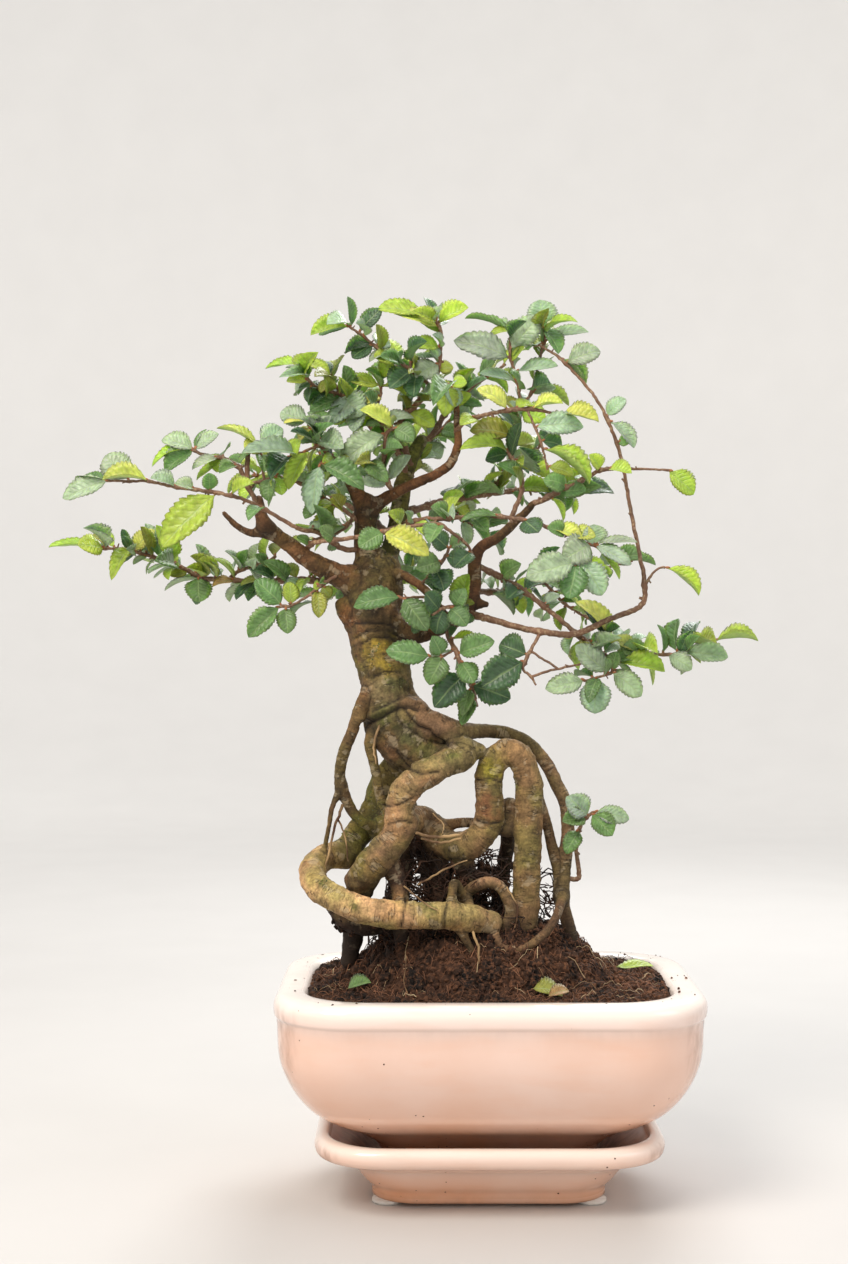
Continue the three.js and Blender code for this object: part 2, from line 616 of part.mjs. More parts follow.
// Leafy stems. A run is a stem's rows. A leaf is set by hand, as [place on the run in rows, then x, y and z
// of its tip from there, width, roll].
const BRANCHES = [
  {
    name: "low_left_branch",
    stems: [
      {
        run: [[-53, 3, 219.5, 1.5], [-68, 6, 220, 1.35], [-83, 10, 219.5, 1.2], [-98, 13, 220.5, 1.1],
          [-105, 14, 221, 1], [-114, 13, 225.5, 0.9], [-124, 11, 229, 0.75], [-134, 9, 231.5, 0.65],
          [-142, 8, 231.5, 0.5]],
        leaves: [[8, -19, -3, 0.5, 7, 68], [7.8, -8, -8, 1, 9, 35], [6.5, 6.5, -2, 8, 7, 25],
          [6.6, -5, -4, -3, 5.5, 30], [4, -14, -2, -4, 6, 60], [4.2, 1, -4, -9.5, 10, 10],
          [2.6, -8, -4, -2, 5.5, 40], [1.1, -6, 4, 6, 7, 40], [2, -4.5, -2, -7, 5.5, 20],
          [3.2, -5, 9, 3, 7, 80], [5.2, 2, 10, -3, 7, 75]],
      },
      {
        run: [[-95, 13.5, 220.8, 0.9], [-90, 11, 224, 0.8], [-82, 6, 226, 0.8], [-77, 2, 228.5, 0.6]],
        leaves: [[2.9, 4, 7, 6, 7, 60]],
      },
    ],
  },
  {
    name: "hanging_left_twig",
    stems: [
      {
        run: [[-52, -3, 223, 1.1], [-60, -8, 217.5, 0.8], [-65, -11, 213.5, 0.7],
          [-70, -13, 210.5, 0.65], [-74.5, -14, 210, 0.6]],
        leaves: [[3.8, -9, -2, 9.5, 9.5, 20], [3.1, -0.5, 1, 8.5, 6.5, 20], [4, -11, -3, -11, 8, 10],
          [3.5, 1, -4, -9.5, 7, 10]],
      },
    ],
  },
  {
    name: "long_left_branch",
    stems: [
      {
        run: [[-52, -2, 231, 1.4], [-60, -8, 236.5, 1.2], [-67, -13, 237.5, 1.1], [-76, -16, 242.5, 1],
          [-84.5, -18, 247, 0.95], [-93, -19, 249.5, 0.9], [-102, -20, 251, 0.9],
          [-110, -20, 252, 0.85], [-119.5, -21, 254, 0.75], [-126.5, -21, 254, 0.65],
          [-134.5, -22, 254, 0.5]],
        leaves: [[10, -16, -2, -6, 8.5, 15], [10, -12.5, 3, 1, 7, 55], [9, -9, 2, 9, 11, 15],
          [8, -16, -4, 0, 7, 45], [7, -9, -3, 3, 6, 40], [5.3, -19, -5, -19, 13.5, 10],
          [6.2, -6.5, -4, 1.5, 5.5, 35], [5.6, 0, -3, 6.5, 6, 20], [4.8, 9, -4, 4, 6, 40],
          [3.4, -5, -9, -3, 6, 50]],
      },
    ],
  },
  {
    name: "upper_left_branch",
    stems: [
      {
        run: [[-82, -7.5, 245, 1.5], [-84, -10, 249.5, 1.3], [-86, -11, 253, 1.3],
          [-88.5, -11, 259, 1.1], [-91.5, -11, 261.5, 1], [-95, -11, 263, 0.9], [-101, -11, 264, 0.8],
          [-105.5, -11, 266, 0.7]],
        leaves: [[7, -11, -2, 4.5, 8, 35], [7, -15, -4, -4, 5.5, 55], [7, 4, 3, 8, 4, 60],
          [7, 9, -2, 6, 6.5, 35], [7, -10, -4, -8, 7.5, 20], [6, 5, 4, -5, 6, 40],
          [5.2, -9, -4, -4, 6, 35], [4.6, -11, 3, -7, 5, 50], [3.4, -6, -5, -3, 5.5, 30],
          [5, 2, 8, 5, 7, 70]],
      },
      {
        run: [[-86, -11, 254, 1.3], [-86, -12, 261, 1.3], [-85.5, -12.5, 268, 1.2]],
        leaves: [],
      },
      {
        run: [[-86, -11, 254, 0.9], [-80, -10, 255, 0.8], [-76, -9, 257, 0.6]],
        leaves: [[2, 3, -5, -7, 6.5, 25], [1.6, -1, -6, -8, 6, 20], [2, 9, 4, 1, 6, 50]],
      },
      {
        run: [[-80, -10, 255, 0.75], [-81, -11, 262, 0.65], [-81.5, -12, 268, 0.5]],
        leaves: [[2, -15, -2, 7, 6, 45], [2, -5, -5, -1.5, 7.5, 20], [2, 8, -1, 6, 8.5, 20],
          [1.8, 7, -4, -1, 5.5, 30], [1.4, 1.5, -5, -7, 6.5, 30], [1.5, -8, -3, -3, 4.5, 60]],
      },
    ],
  },
  {
    name: "middle_left_branch",
    stems: [
      {
        run: [[-49, 0.5, 259, 1.3], [-53, -3, 261.5, 1.05], [-58.5, -5, 266, 0.9],
          [-61.5, -6, 272, 0.85], [-65, -7, 277, 0.65]],
        leaves: [[4, -10, -1, 3, 8.5, 20], [4, -8.5, -4, -1, 4.5, 60], [2.7, 9, -7, -4, 8.5, 20],
          [3.4, -5, -4, -4, 5, 50], [1.4, -4, 4, -7, 7, 30], [3.6, 6, 3, 5, 7, 40]],
      },
      {
        run: [[-60, -5.5, 268.5, 0.7], [-65, -9, 266, 0.6], [-71.5, -12, 263, 0.5]],
        leaves: [[1.4, -18, -6, -1, 9, 25], [2, 4, -5, 5.5, 6.5, 30], [2, -6, -3, -9, 8.5, 25],
          [1, -6, -5, -14, 8, 15]],
      },
      {
        run: [[-57.5, -4.5, 265, 0.65], [-59, -9, 262.5, 0.55], [-60, -12, 261, 0.5]],
        leaves: [[2, 15.5, -4, -10, 8.5, 20], [2, -3, -4, -18, 9, 15]],
      },
    ],
  },
  {
    name: "low_inner_left_twig",
    stems: [
      {
        run: [[-46, 0, 241, 1.2], [-51, -3, 244.5, 1], [-55, -4, 247, 0.8], [-59, -5, 249.5, 0.55]],
        leaves: [[2.2, -2, -3, -13, 8.5, 25], [3, -7, -5, -8, 6.5, 30], [1.4, -4, -8, 3, 5.5, 25],
          [3, -6, 4, 4, 7, 50]],
      },
    ],
  },
  {
    name: "inner_front_branch",
    stems: [
      {
        run: [[-34, -1.5, 251.5, 1.3], [-37.5, -5, 258, 1.1], [-37, -7, 266, 1], [-36.5, -8, 272, 0.8],
          [-33.5, -9, 274, 0.6]],
        leaves: [[3, -16.5, -4, -10, 9.5, 15], [4, -12, -3, 6.5, 6.5, 25], [4, 7, -4, -4, 8, 15],
          [0.6, -9, -6, -1, 6.5, 30], [2.2, 8, 3, 3, 6.5, 45]],
      },
      {
        run: [[-37.5, -5, 258, 0.9], [-42, -7, 260.5, 0.7], [-46, -8, 262, 0.55]],
        leaves: [[1.6, 8, -6, -6, 7, 15], [2, -7, -5, 1, 6, 40]],
      },
    ],
  },
  {
    name: "crown_left_branch",
    stems: [
      {
        run: [[-28, 14, 263, 1.6], [-32, 10, 277, 1.3], [-26, 6, 284, 1.2], [-20, 2, 290, 1.2]],
        leaves: [[1.5, 6, 7, 4, 7.5, 60], [2.3, -6, 5, 2, 6.5, 60]],
      },
      {
        run: [[-20, 2, 290, 1], [-25, 0, 294, 0.9], [-31, -2, 298, 0.85], [-36, -3, 301, 0.8],
          [-41, -3, 304.5, 0.7], [-46, -4, 308.5, 0.6], [-50.5, -4, 311.5, 0.5]],
        leaves: [[6, -11, 1, -3, 6.5, 45], [5.8, -14, -3, -3.5, 7, 30], [5.1, 8, -1, 8.5, 6.5, 20],
          [4, -8, -1, -4.5, 7, 25], [3.9, 5, 2, 2, 6, 30], [2.9, -7, -4, -1.5, 5.5, 60],
          [2.2, -9, -4, 1.5, 8, 40], [2.4, -6, 3, -5, 7, 15], [1.4, -8, -3, -7, 8.5, 20],
          [1.1, -1, -5, -9, 8, 15]],
      },
      {
        run: [[-28, -1, 296.5, 0.8], [-27.5, -2, 301, 0.7]],
        leaves: [],
      },
      {
        run: [[-20, 2, 290, 0.9], [-17.5, 2, 297, 0.8], [-17, 1, 304, 0.75], [-17, 0, 310, 0.7],
          [-19, -1, 314, 0.6], [-22, -2, 316, 0.5]],
        leaves: [[5, -18, -3, 1.5, 8, 35], [3.3, -16, -5, 4.5, 8, 25], [3.6, 11, -2, 5.5, 7.5, 25],
          [2, -10.5, -4, 1, 6.5, 30], [1.2, -9, -4, -5, 9, 15], [1.5, -11, 3, 0, 5.5, 60],
          [0.9, 5, -2, 1, 6, 20]],
      },
      {
        run: [[-20, 2, 290, 0.7], [-16, 0, 291.5, 0.55], [-13, -1, 290, 0.5]],
        leaves: [[2, 6, -1, 1, 5.5, 20], [2, 1.5, -3, -8, 6.5, 20], [1, 1, -5, -12, 8.5, 15]],
      },
    ],
  },
  {
    name: "far_upper_left_branch",
    stems: [
      {
        run: [[-30, 13, 261, 1.6], [-37, 9, 275, 1.2], [-45, 6, 283, 1], [-53, 4, 287.5, 0.9],
          [-60, 2, 289, 0.75], [-65, 0, 292.5, 0.65], [-67, -1, 298.5, 0.5]],
        leaves: [[6, -13.5, -1, -1, 6.5, 40], [6, 10, -2, -3, 6, 45], [5.2, -7.5, -1, 3.5, 5, 50],
          [5.1, -1, -3, 6.5, 5, 45], [4.6, -2, -1, -6.5, 5, 40], [4.2, -7, -3, 0, 6, 50],
          [3.6, -8, -2, -4, 7.5, 40], [3, 7.5, -4, -8, 11.5, 10], [2.8, -13, -5, -6, 8, 25],
          [2.4, -9, -7, -8, 8, 10], [2.1, -3, -6, -10, 7, 15], [2.6, -6, -2, -9, 8.5, 15],
          [1.8, -6, -4, -7, 6, 40], [1.2, 11, -4, 3, 6, 45], [3.8, 3, 8, 4, 7.5, 70]],
      },
      {
        run: [[-53, 4, 287.5, 0.7], [-56, 2, 292, 0.6], [-58.5, 1, 295.5, 0.5]],
        leaves: [[1.4, -3, -3, -6, 5, 40]],
      },
      {
        run: [[-42, 7, 280, 0.7], [-39, 5, 287, 0.6], [-38.5, 4, 293, 0.5]],
        leaves: [[1.6, -12.5, -3, 2, 6.5, 35], [1.6, 9, -5, -4, 6, 45], [1, -6, -5, -3, 6, 20],
          [2, 3, 3, 7, 6.5, 30]],
      },
    ],
  },
  {
    name: "arching_branch",
    stems: [
      {
        run: [[-11.5, 0, 273.5, 1.3], [-8, -4, 277, 1.1], [-2, -8, 278.5, 1.05], [6, -11, 280, 1],
          [14, -12, 280.5, 1], [20, -13, 279.5, 0.8], [26, -14, 278, 0.6]],
        leaves: [[6, 13.5, -3, -3, 7.5, 40], [4.2, 11, -3, 1.5, 5.5, 45], [3.1, -10, -3, 8, 7, 30],
          [3.4, 7, 3, 3, 6.5, 50], [1.6, -5, -7, -3, 6.5, 20]],
      },
      {
        run: [[14, -12, 280, 0.65], [16, -13, 275, 0.6], [19, -14, 267, 0.55], [21, -14, 258.5, 0.45]],
        leaves: [[3, 9, -3, -2.5, 6, 30], [2.1, 16, -4, -13, 6.5, 50], [1.8, 8, 3, -1, 7, 30],
          [1.2, 16.5, -3, 1, 8.5, 15]],
      },
    ],
  },
  {
    name: "top_right_branch",
    stems: [
      {
        run: [[9, 2, 243, 1.4], [12.5, 5, 252, 1.1], [12, 6, 260, 1], [8.5, 6, 266, 1],
          [9, 7, 271, 0.95], [12, 7, 280, 0.9], [12.5, 6, 285, 0.85]],
        leaves: [[4.2, -15, -3, 3, 9.5, 25], [3.2, -17, -6, 2, 7, 40], [2.6, 13, -6, -6, 6.5, 35],
          [5.2, 9, -3, -3, 9, 15], [3, -9, 4, -1, 7.5, 20], [3.6, 9, 4, 2, 6.5, 30],
          [2, -8, 5, 3, 7, 50]],
      },
      {
        run: [[12.5, 6, 285, 0.8], [11, 4, 293, 0.75], [9, 3, 299, 0.7], [8.2, 2, 303, 0.65],
          [9, 2, 311, 0.45]],
        leaves: [[2.3, -20, -4, 7, 10, 12], [3.1, 10.5, -3, 11, 10.5, 10], [1.4, 15.5, -4, 2, 6.5, 40],
          [0.9, -14, -3, 2.5, 6, 45], [4, -16.5, 3, 6.5, 5.5, 50], [4, -8, -3, -1, 4.5, 50]],
      },
      {
        run: [[12.5, 6, 284, 0.8], [16, 6, 288, 0.75], [18, 5, 295, 0.7], [19.5, 4, 302, 0.65],
          [21, 3, 308, 0.55], [19.5, 3, 313, 0.45]],
        leaves: [[5, -0.5, -3, 9, 11, 10], [4.8, 6, -4, -10, 6.5, 45], [4, 16, 1, 2.5, 6, 40],
          [1, 9, -2, 2, 6.5, 45], [1.2, 14, 4, -4, 5, 55], [2.4, 5, 7, 4, 7, 60],
          [3.4, -5, 8, 2, 7, 60]],
      },
    ],
  },
  {
    name: "hooked_branch",
    stems: [
      {
        run: [[-4, -3, 207, 2.1], [3, -5, 205, 1.7], [12, -6, 202.5, 1.6], [20, -7, 201, 1.6],
          [29, -8, 200, 1.7], [36, -9, 202, 1.6], [43, -10, 205.5, 1.4], [54.5, -11, 210.5, 1.4],
          [55.5, -11, 219, 1.2], [53.5, -10, 231, 1], [50.5, -9, 247, 1], [47.5, -8, 264, 0.9],
          [42.5, -7, 278, 0.85], [37.5, -5, 287, 0.8], [30, -3, 296, 0.75], [24.5, -1, 301.5, 0.7],
          [18.5, 0, 305, 0.6]],
        leaves: [[12, 6.5, -1, 7, 6, 20], [11.9, 9.5, -3, -9.5, 5, 40], [11.3, 5, -1, 1.5, 5, 30],
          [14.3, 12, -2, 5, 8.5, 15], [14.7, 9, 2, -10, 4.5, 50]],
      },
      {
        run: [[19, -7, 201, 1], [16, -9, 196, 0.85], [13, -11, 190.5, 0.8], [12.5, -12, 187.5, 0.7],
          [15, -13, 185, 0.6], [17, -13, 182, 0.45]],
        leaves: [[2, -15.5, -2, -9, 12, 10], [1.6, -10, 3, 4, 9.5, 15]],
      },
      {
        run: [[15, -13, 185, 0.7], [21, -13, 187, 0.65], [28, -12, 188.5, 0.6], [33, -11, 189.5, 0.45]],
        leaves: [],
      },
      {
        run: [[15, -9.6, 194.3, 0.6], [20, -11, 191, 0.6], [25, -12.4, 187.8, 0.6]],
        leaves: [],
      },
      {
        run: [[55.3, -11, 217, 0.8], [58, -12, 221, 0.65], [61, -12, 224, 0.55], [63, -12, 224, 0.45]],
        leaves: [[3, 12, -2, -10, 5.5, 40]],
      },
    ],
  },
  {
    name: "long_right_branch",
    stems: [
      {
        run: [[16.5, -3.5, 247.3, 1.5], [20.5, -4, 249, 1.4], [28.5, -6, 253, 1.2],
          [36.5, -8, 257, 1.1], [41.5, -12, 259, 0.9], [54, -13, 259, 0.7], [65, -13, 258.5, 0.5]],
        leaves: [[6, 9, -2, -8.5, 7.5, 15], [3.8, -4.5, -3, 5, 5.5, 20], [4.1, 8, -4, -2, 6, 35],
          [2, -8, -3, 3, 8.5, 20], [1.6, 10, -4, 0.5, 7, 30], [1.2, 6, -2, -8, 4, 50],
          [2.6, 3, 8, 3, 7, 70]],
      },
    ],
  },
  {
    name: "right_cluster_branch",
    stems: [
      {
        run: [[-38, 4, 237.5, 1.6], [-26, -3, 241, 1.3], [-18, -7, 241.5, 1.2], [-10, -10, 242, 1.1],
          [-1.5, -13, 242.5, 1.1], [7.5, -15, 241.5, 1], [15, -16, 240, 0.9], [21, -16, 238, 0.85],
          [29, -17, 235, 0.7], [38, -18, 231, 0.55]],
        leaves: [[8.8, -10, -5, -5, 11.5, 10], [9, 0, -1, 7.5, 9.5, 20], [9, 15.5, 0, 1, 5, 55],
          [9, 12.5, -4, -7, 6.5, 30], [9, 9, -1, -12, 4.5, 50], [7.8, -7, -3, 2, 6.5, 25],
          [7.9, 9, -4, -0.5, 6, 40], [7, 12, -4, -5, 5.5, 50], [4.6, -14, -4, -1.5, 6, 45],
          [3.4, 6, -5, -6, 7, 25], [2.4, -6, -5, 4, 6.5, 35], [5.6, 5, -6, -5, 8.5, 20]],
      },
      {
        run: [[30, -17, 234.5, 0.65], [32, -20, 229, 0.55], [30.5, -22, 225, 0.5]],
        leaves: [[2, -18, -2, -5, 11.5, 10], [2, -3, -4, -13, 10.5, 10], [1.5, 8, -2, -13, 9, 12]],
      },
    ],
  },
  {
    name: "low_right_branch",
    stems: [
      {
        run: [[-3.5, 0.5, 225, 1.6], [3, 3, 222, 1.4], [8.5, 4, 219, 1.35], [18, 4, 212.5, 1.3],
          [26.5, 3, 205.5, 1.25], [37, 0, 196.5, 1.1], [43, -2, 192, 0.9], [47, -4, 189.5, 0.6]],
        leaves: [[7, 17, -2, -3, 7.5, 30], [6.5, 8, -2, 2, 5.5, 35], [1.4, 7, -5, 5, 7.5, 20],
          [2.4, -5, -6, -4, 7.5, 25], [3.3, 6, 8, 2, 7.5, 60]],
      },
      {
        run: [[43, -2, 192, 0.75], [45, -5, 187, 0.65], [40, -8, 185, 0.55], [34, -10, 183.5, 0.5]],
        leaves: [[1.4, -12.5, -2, 10, 8.5, 12], [1, 1, -3, 7, 5.5, 35], [3, -14.5, -2, -3, 8, 12],
          [2.2, -1, -3, -12.5, 11, 8], [1.2, 10.5, -3, -8, 8.5, 12]],
      },
      {
        run: [[40, -1, 194, 0.95], [43, 1, 198, 0.85], [46, 2, 198, 0.8], [52, 1, 195, 0.8],
          [59, 0, 193, 0.75], [67, -1, 193, 0.7], [75, -2, 195, 0.6], [82.5, -3, 198, 0.5]],
        leaves: [[1.9, -12, -1, 15, 7.5, 35], [1.5, -9, 4, 13, 7.5, 20], [3.4, -10, -3, 4.5, 6.5, 40],
          [4, -11, -4, 2, 8.5, 20], [4.6, -2, -1, 11, 6.5, 45], [4.8, 8, -3, -5, 7, 15],
          [5.5, 15.5, -3, -2, 8, 15], [6.8, -11, 2, 2, 4.5, 55], [7, 16, -1, 0.3, 5, 65],
          [5.8, 3, 8, 3, 7, 70]],
      },
    ],
  },
  {
    name: "low_centre_twig",
    stems: [
      {
        run: [[-15, -2, 202.5, 1.5], [-13.5, -6, 198, 1.1], [-11.5, -9, 194, 1], [-10, -11, 190, 0.9],
          [-7.5, -9, 185, 0.75], [-5, -3, 179, 0.65], [-3.5, 4, 174, 0.5]],
        leaves: [[2.8, 5, -4, -8, 8, 12], [2.3, 13, -4, 5, 8.5, 15], [3.8, -11, -4, -11, 11, 10],
          [4.5, 14, -3, -5, 9.5, 12], [6, 0.5, 4, -23, 9, 20]],
      },
      {
        run: [[-12, -8.5, 195, 0.65], [-16, -13, 192.5, 0.55], [-21, -15, 192, 0.5]],
        leaves: [[2, -16, -2, 2.5, 9, 12], [1.2, -3, -3, 7, 7.5, 15], [1, -5, -4, -9.5, 9, 10]],
      },
    ],
  },
  {
    name: "trunk_front_twig",
    stems: [
      {
        run: [[-19.5, -5.5, 213.5, 0.9], [-26, -11, 213.5, 0.65], [-31.5, -13.5, 213, 0.5]],
        leaves: [[2, -17, -2, -2, 8, 20], [1.9, 9, -4, -11, 9.5, 10]],
      },
    ],
  },
  {
    name: "crossing_branch",
    stems: [
      {
        run: [[-65, -4, 231.5, 1.5], [-61, -13, 233, 1.2], [-50, -18, 234, 1.1], [-39, -21, 236, 1],
          [-28, -22, 238, 0.95], [-18.5, -22, 239, 0.9], [-14, -21, 236.5, 0.85],
          [-8.5, -18, 232.5, 0.8], [-6, -14, 229, 0.6]],
        leaves: [[3.2, -9, -3, -5.5, 8.5, 12], [3.1, 16.5, -4, -8.5, 9, 12], [1.6, -5, -6, 4, 6.5, 30],
          [7.9, -6, -6, -6, 8, 20], [5.2, -4, -6, -7, 7, 25]],
      },
    ],
  },
  {
    name: "inner_right_twigs",
    stems: [
      {
        run: [[-24, -4.5, 218, 1.1], [-20, -9, 222, 0.85], [-16, -12, 227, 0.7], [-14, -13, 231, 0.5]],
        leaves: [[3, -6, -3, 5, 8, 20], [2.2, 8, -4, -2, 8.5, 15], [1.8, -9, -4, -3, 8.5, 15],
          [1.3, 3, -5, -8, 9, 12], [3, 6, -3, 3, 7, 25]],
      },
    ],
  },
  {
    name: "inner_low_twigs",
    stems: [
      {
        run: [[-8, -2, 209.5, 1.2], [-11, -9, 210, 0.85], [-16, -13, 209.5, 0.7], [-20, -15, 207, 0.5]],
        leaves: [[3, -8, -2, -4, 9, 15], [2, -3, -4, -9, 9, 12], [1.6, 6, -4, -6, 8.5, 15],
          [1.2, 3, -5, 6, 6.5, 20], [2.4, -5, -5, 6, 8, 18]],
      },
    ],
  },
];

// The young shoot at the foot of the outer root
const SHOOT = {
  name: "root_shoot",
  stems: [
    {
      run: [[33, -1, 112, 1.3], [32, -3, 122, 1], [33, -5, 130, 0.8], [36, -7, 135, 0.6],
        [38, -8, 136.5, 0.5]],
      leaves: [[3, -8, -2, 7, 9, 12], [4, 12.5, -2, -2, 7, 15], [3.4, 7.5, -4, -7.5, 8.5, 12],
        [2, -5, -4, -8, 6.5, 15], [2.8, -9, -4, -1, 7, 25]],
    },
  ],
};

// Stems on the far side, their leaves by rule: [first place, last place, how many, length, seed].
const BACK = [
  {
    name: "back_left_branch",
    stems: [
      {
        run: [[-37, 11, 238, 2], [-48, 26, 247, 1.6], [-62, 38, 255, 1.3], [-76, 46, 260, 1],
          [-90, 50, 262, 0.6]],
        rule: [1.2, 4, 7, 15, 11],
      },
      {
        run: [[-48, 26, 247, 1], [-54, 34, 240, 0.8], [-66, 42, 236, 0.6]],
        rule: [0.8, 2, 4, 14, 12],
      },
      {
        run: [[-62, 38, 255, 1], [-62, 47, 266, 0.8], [-66, 54, 276, 0.5]],
        rule: [0.8, 2, 5, 15, 13],
      },
    ],
  },
  {
    name: "back_centre_branch",
    stems: [
      {
        run: [[-30, 16, 256, 2], [-26, 32, 266, 1.6], [-26, 48, 274, 1.2], [-28, 62, 278, 0.7]],
        rule: [1, 3, 6, 15, 21],
      },
      {
        run: [[-26, 32, 266, 1.1], [-40, 42, 276, 0.8], [-50, 48, 288, 0.5]],
        rule: [0.7, 2, 5, 15, 22],
      },
      {
        run: [[-26, 40, 270, 1.1], [-14, 48, 282, 0.8], [-4, 52, 292, 0.5]],
        rule: [0.7, 2, 5, 15, 23],
      },
    ],
  },
  {
    name: "back_right_branch",
    stems: [
      {
        run: [[-34, 13, 244, 2.1], [-16, 28, 250, 1.7], [2, 38, 254, 1.4], [20, 46, 256, 1.1],
          [38, 50, 254, 0.6]],
        rule: [1.2, 4, 7, 15, 31],
      },
      {
        run: [[2, 38, 254, 1], [10, 34, 264, 0.8], [22, 34, 272, 0.5]],
        rule: [0.9, 2, 4, 14, 32],
      },
      {
        run: [[-16, 28, 250, 1.1], [-8, 44, 244, 0.9], [2, 56, 240, 0.5]],
        rule: [0.8, 2, 5, 14, 33],
      },
    ],
  },
  {
    name: "crown_back_branch",
    stems: [
      {
        run: [[-20, 17, 274, 1.6], [-14, 22, 284, 1.2], [-4, 26, 294, 0.9], [8, 28, 302, 0.5]],
        rule: [0.9, 3, 6, 15, 41],
      },
      {
        run: [[-14, 22, 284, 0.9], [-24, 28, 294, 0.7], [-34, 32, 302, 0.5]],
        rule: [0.8, 2, 5, 15, 42],
      },
    ],
  },
  {
    name: "low_back_branch",
    stems: [
      {
        run: [[-42, 7, 214, 2], [-42, 24, 216, 1.5], [-36, 40, 222, 1.1], [-26, 52, 226, 0.6]],
        rule: [1.1, 3, 6, 15, 51],
      },
      {
        run: [[-42, 24, 216, 1], [-54, 34, 216, 0.8], [-66, 40, 212, 0.5]],
        rule: [0.8, 2, 4, 14, 52],
      },
    ],
  },
  {
    name: "low_right_back_branch",
    stems: [
      {
        run: [[-5, 0, 216, 1.7], [6, 14, 216, 1.3], [22, 24, 220, 1.1], [40, 30, 224, 0.8],
          [56, 30, 228, 0.5]],
        rule: [1.3, 4, 7, 14, 61],
      },
      {
        run: [[22, 24, 220, 0.8], [30, 32, 212, 0.65], [40, 38, 206, 0.45]],
        rule: [0.9, 2, 4, 14, 62],
      },
    ],
  },
];

// Leaves that have dropped on the soil: [x, y, heading in degrees, length, width]
const FALLEN = [
  [-50, -28, 20, 9, 7],
  [14, -32, -10, 11, 7],
  [19, -40, 25, 8.5, 5],
  [47, 13, 4, 15, 5.5],
];
const FALLEN_LIFT = 0.85;

function fallenLeaf(x, y, heading, length, width) {
  const angle = THREE.MathUtils.degToRad(heading);
  const reach = new THREE.Vector3(length * Math.cos(angle), length * Math.sin(angle), 0);
  const blade = new Blade(new THREE.Vector3(x, y, 0), reach, width, 90);
  return blade.solid((point) => point.setZ(point.z + soilHeight(point.x, point.y) + FALLEN_LIFT));
}

// Colours of the finished surfaces
const GLAZE = 0xf1d6c4;
const PAD_WHITE = 0xf2f0ec;
const SOIL_BROWN = 0x3b2a20;
const BARK = 0x6b5a48;
const MESH_BLACK = 0x22221f;
const LEAF_GREEN = 0x6f8f3a;
const LEAF_SHADE = 0x4d6b30;
const LEAF_DROPPED = 0x9aa862;

const bonsai = new THREE.Group();

function addPiece(name, solid, colour, roughness) {
  bonsai.add(meshOf(name, solid, colour, roughness));
}

// Trunk and roots, and the same a gap fatter, which cuts the sockets for whatever meets them
const trunkStems = TRUNK.map((rows) => new Stem(rows, LIMB_STEP));
const limbStems = grow(LIMBS, LIMB_STEP, trunkStems);
const rootStems = grow(ROOTS, LIMB_STEP, trunkStems);
function trunkSolid(fatter) {
  return joined([
    ...trunkStems.map((stem) => stem.solid(TRUNK_SIDES, fatter)),
    ...limbStems.map((stem) => stem.solid(LIMB_SIDES, fatter)),
    ...rootStems.map((stem) => stem.solid(ROOT_SIDES, fatter)),
  ]);
}
const socket = trunkSolid(GAP);
const limbs = [...trunkStems, ...limbStems, ...rootStems];

// Leafy stems: every stem is grown first, so that each leaf keeps clear of them all
const around = new Surroundings();
around.addStems("trunk_and_roots", limbs);
const sprays = [...BRANCHES, SHOOT, ...BACK].map(({ name, stems }) => {
  const grown = grow(stems.map(({ run }) => run), TWIG_STEP, limbs);
  around.addStems(name, grown);
  return { name, grown, stems };
});
for (const { name, grown, stems } of sprays) {
  const twigs = grown.map((stem) => stem.solid(TWIG_SIDES));
  const leaves = stems.flatMap(({ leaves: rows, rule }, index) => {
    const stem = grown[index];
    const blades = rows ? setLeaves(name, stem, rows, around) : rankLeaves(name, stem, rule, around);
    return blades.filter(({ length }) => length > SMALLEST_LEAF).map((blade) => seatedSolid(blade, stem));
  });
  const spray = mainBody(joined([...twigs, ...leaves]).subtract(socket));
  const shaded = BACK.some((back) => back.name === name);
  addPiece(name, spray, shaded ? LEAF_SHADE : LEAF_GREEN, 0.45);
}

addPiece("trunk_and_roots", mainBody(trunkSolid(0)), BARK, 0.85);
addPiece("soil", mainBody(soilSolid().subtract(socket)), SOIL_BROWN, 0.95);
FALLEN.forEach((row, index) => addPiece(`fallen_leaf_${index + 1}`, fallenLeaf(...row), LEAF_DROPPED, 0.5));

addPiece("pot", potSolid(), GLAZE, 0.18);
addPiece("drain_mesh_1", drainMesh(-DRAIN_HOLE.x), MESH_BLACK, 0.6);
addPiece("drain_mesh_2", drainMesh(DRAIN_HOLE.x), MESH_BLACK, 0.6);
addPiece("tray", vessel([...TRAY_OUTSIDE, ...TRAY_INSIDE], TRAY_WIDTH, TRAY_DEPTH, TRAY_CORNER), GLAZE, 0.18);
let padNumber = 0;
for (const signX of [-1, 1]) {
  for (const signY of [-1, 1]) {
    padNumber += 1;
    const pad = cylinder(PAD.radius, TRAY_UNDERSIDE, PAD.sides, signX * PAD.x, signY * PAD.y, 0);
    addPiece(`pad_${padNumber}`, pad, PAD_WHITE, 0.7);
  }
}

// The origin is under the middle of the whole, at the foot of the pads
const extent = new THREE.Box3().setFromObject(bonsai);
const centre = extent.getCenter(new THREE.Vector3());
bonsai.position.set(-centre.x, -centre.y, -extent.min.z);
const part = new THREE.Group();
part.add(bonsai);

export default part;
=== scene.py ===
"""A Chinese elm bonsai in its glazed pot on a drip tray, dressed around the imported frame.

Lengths are millimetres in the tree's own drawing, which is centred on the pot with the tray's pads on z = 0.
Drawing.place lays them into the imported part, in metres. Colours are sRGB hex values.
"""

import logging
import math
from collections.abc import Callable, Sequence
from dataclasses import dataclass
from enum import Enum, StrEnum
from functools import partial
from typing import Any

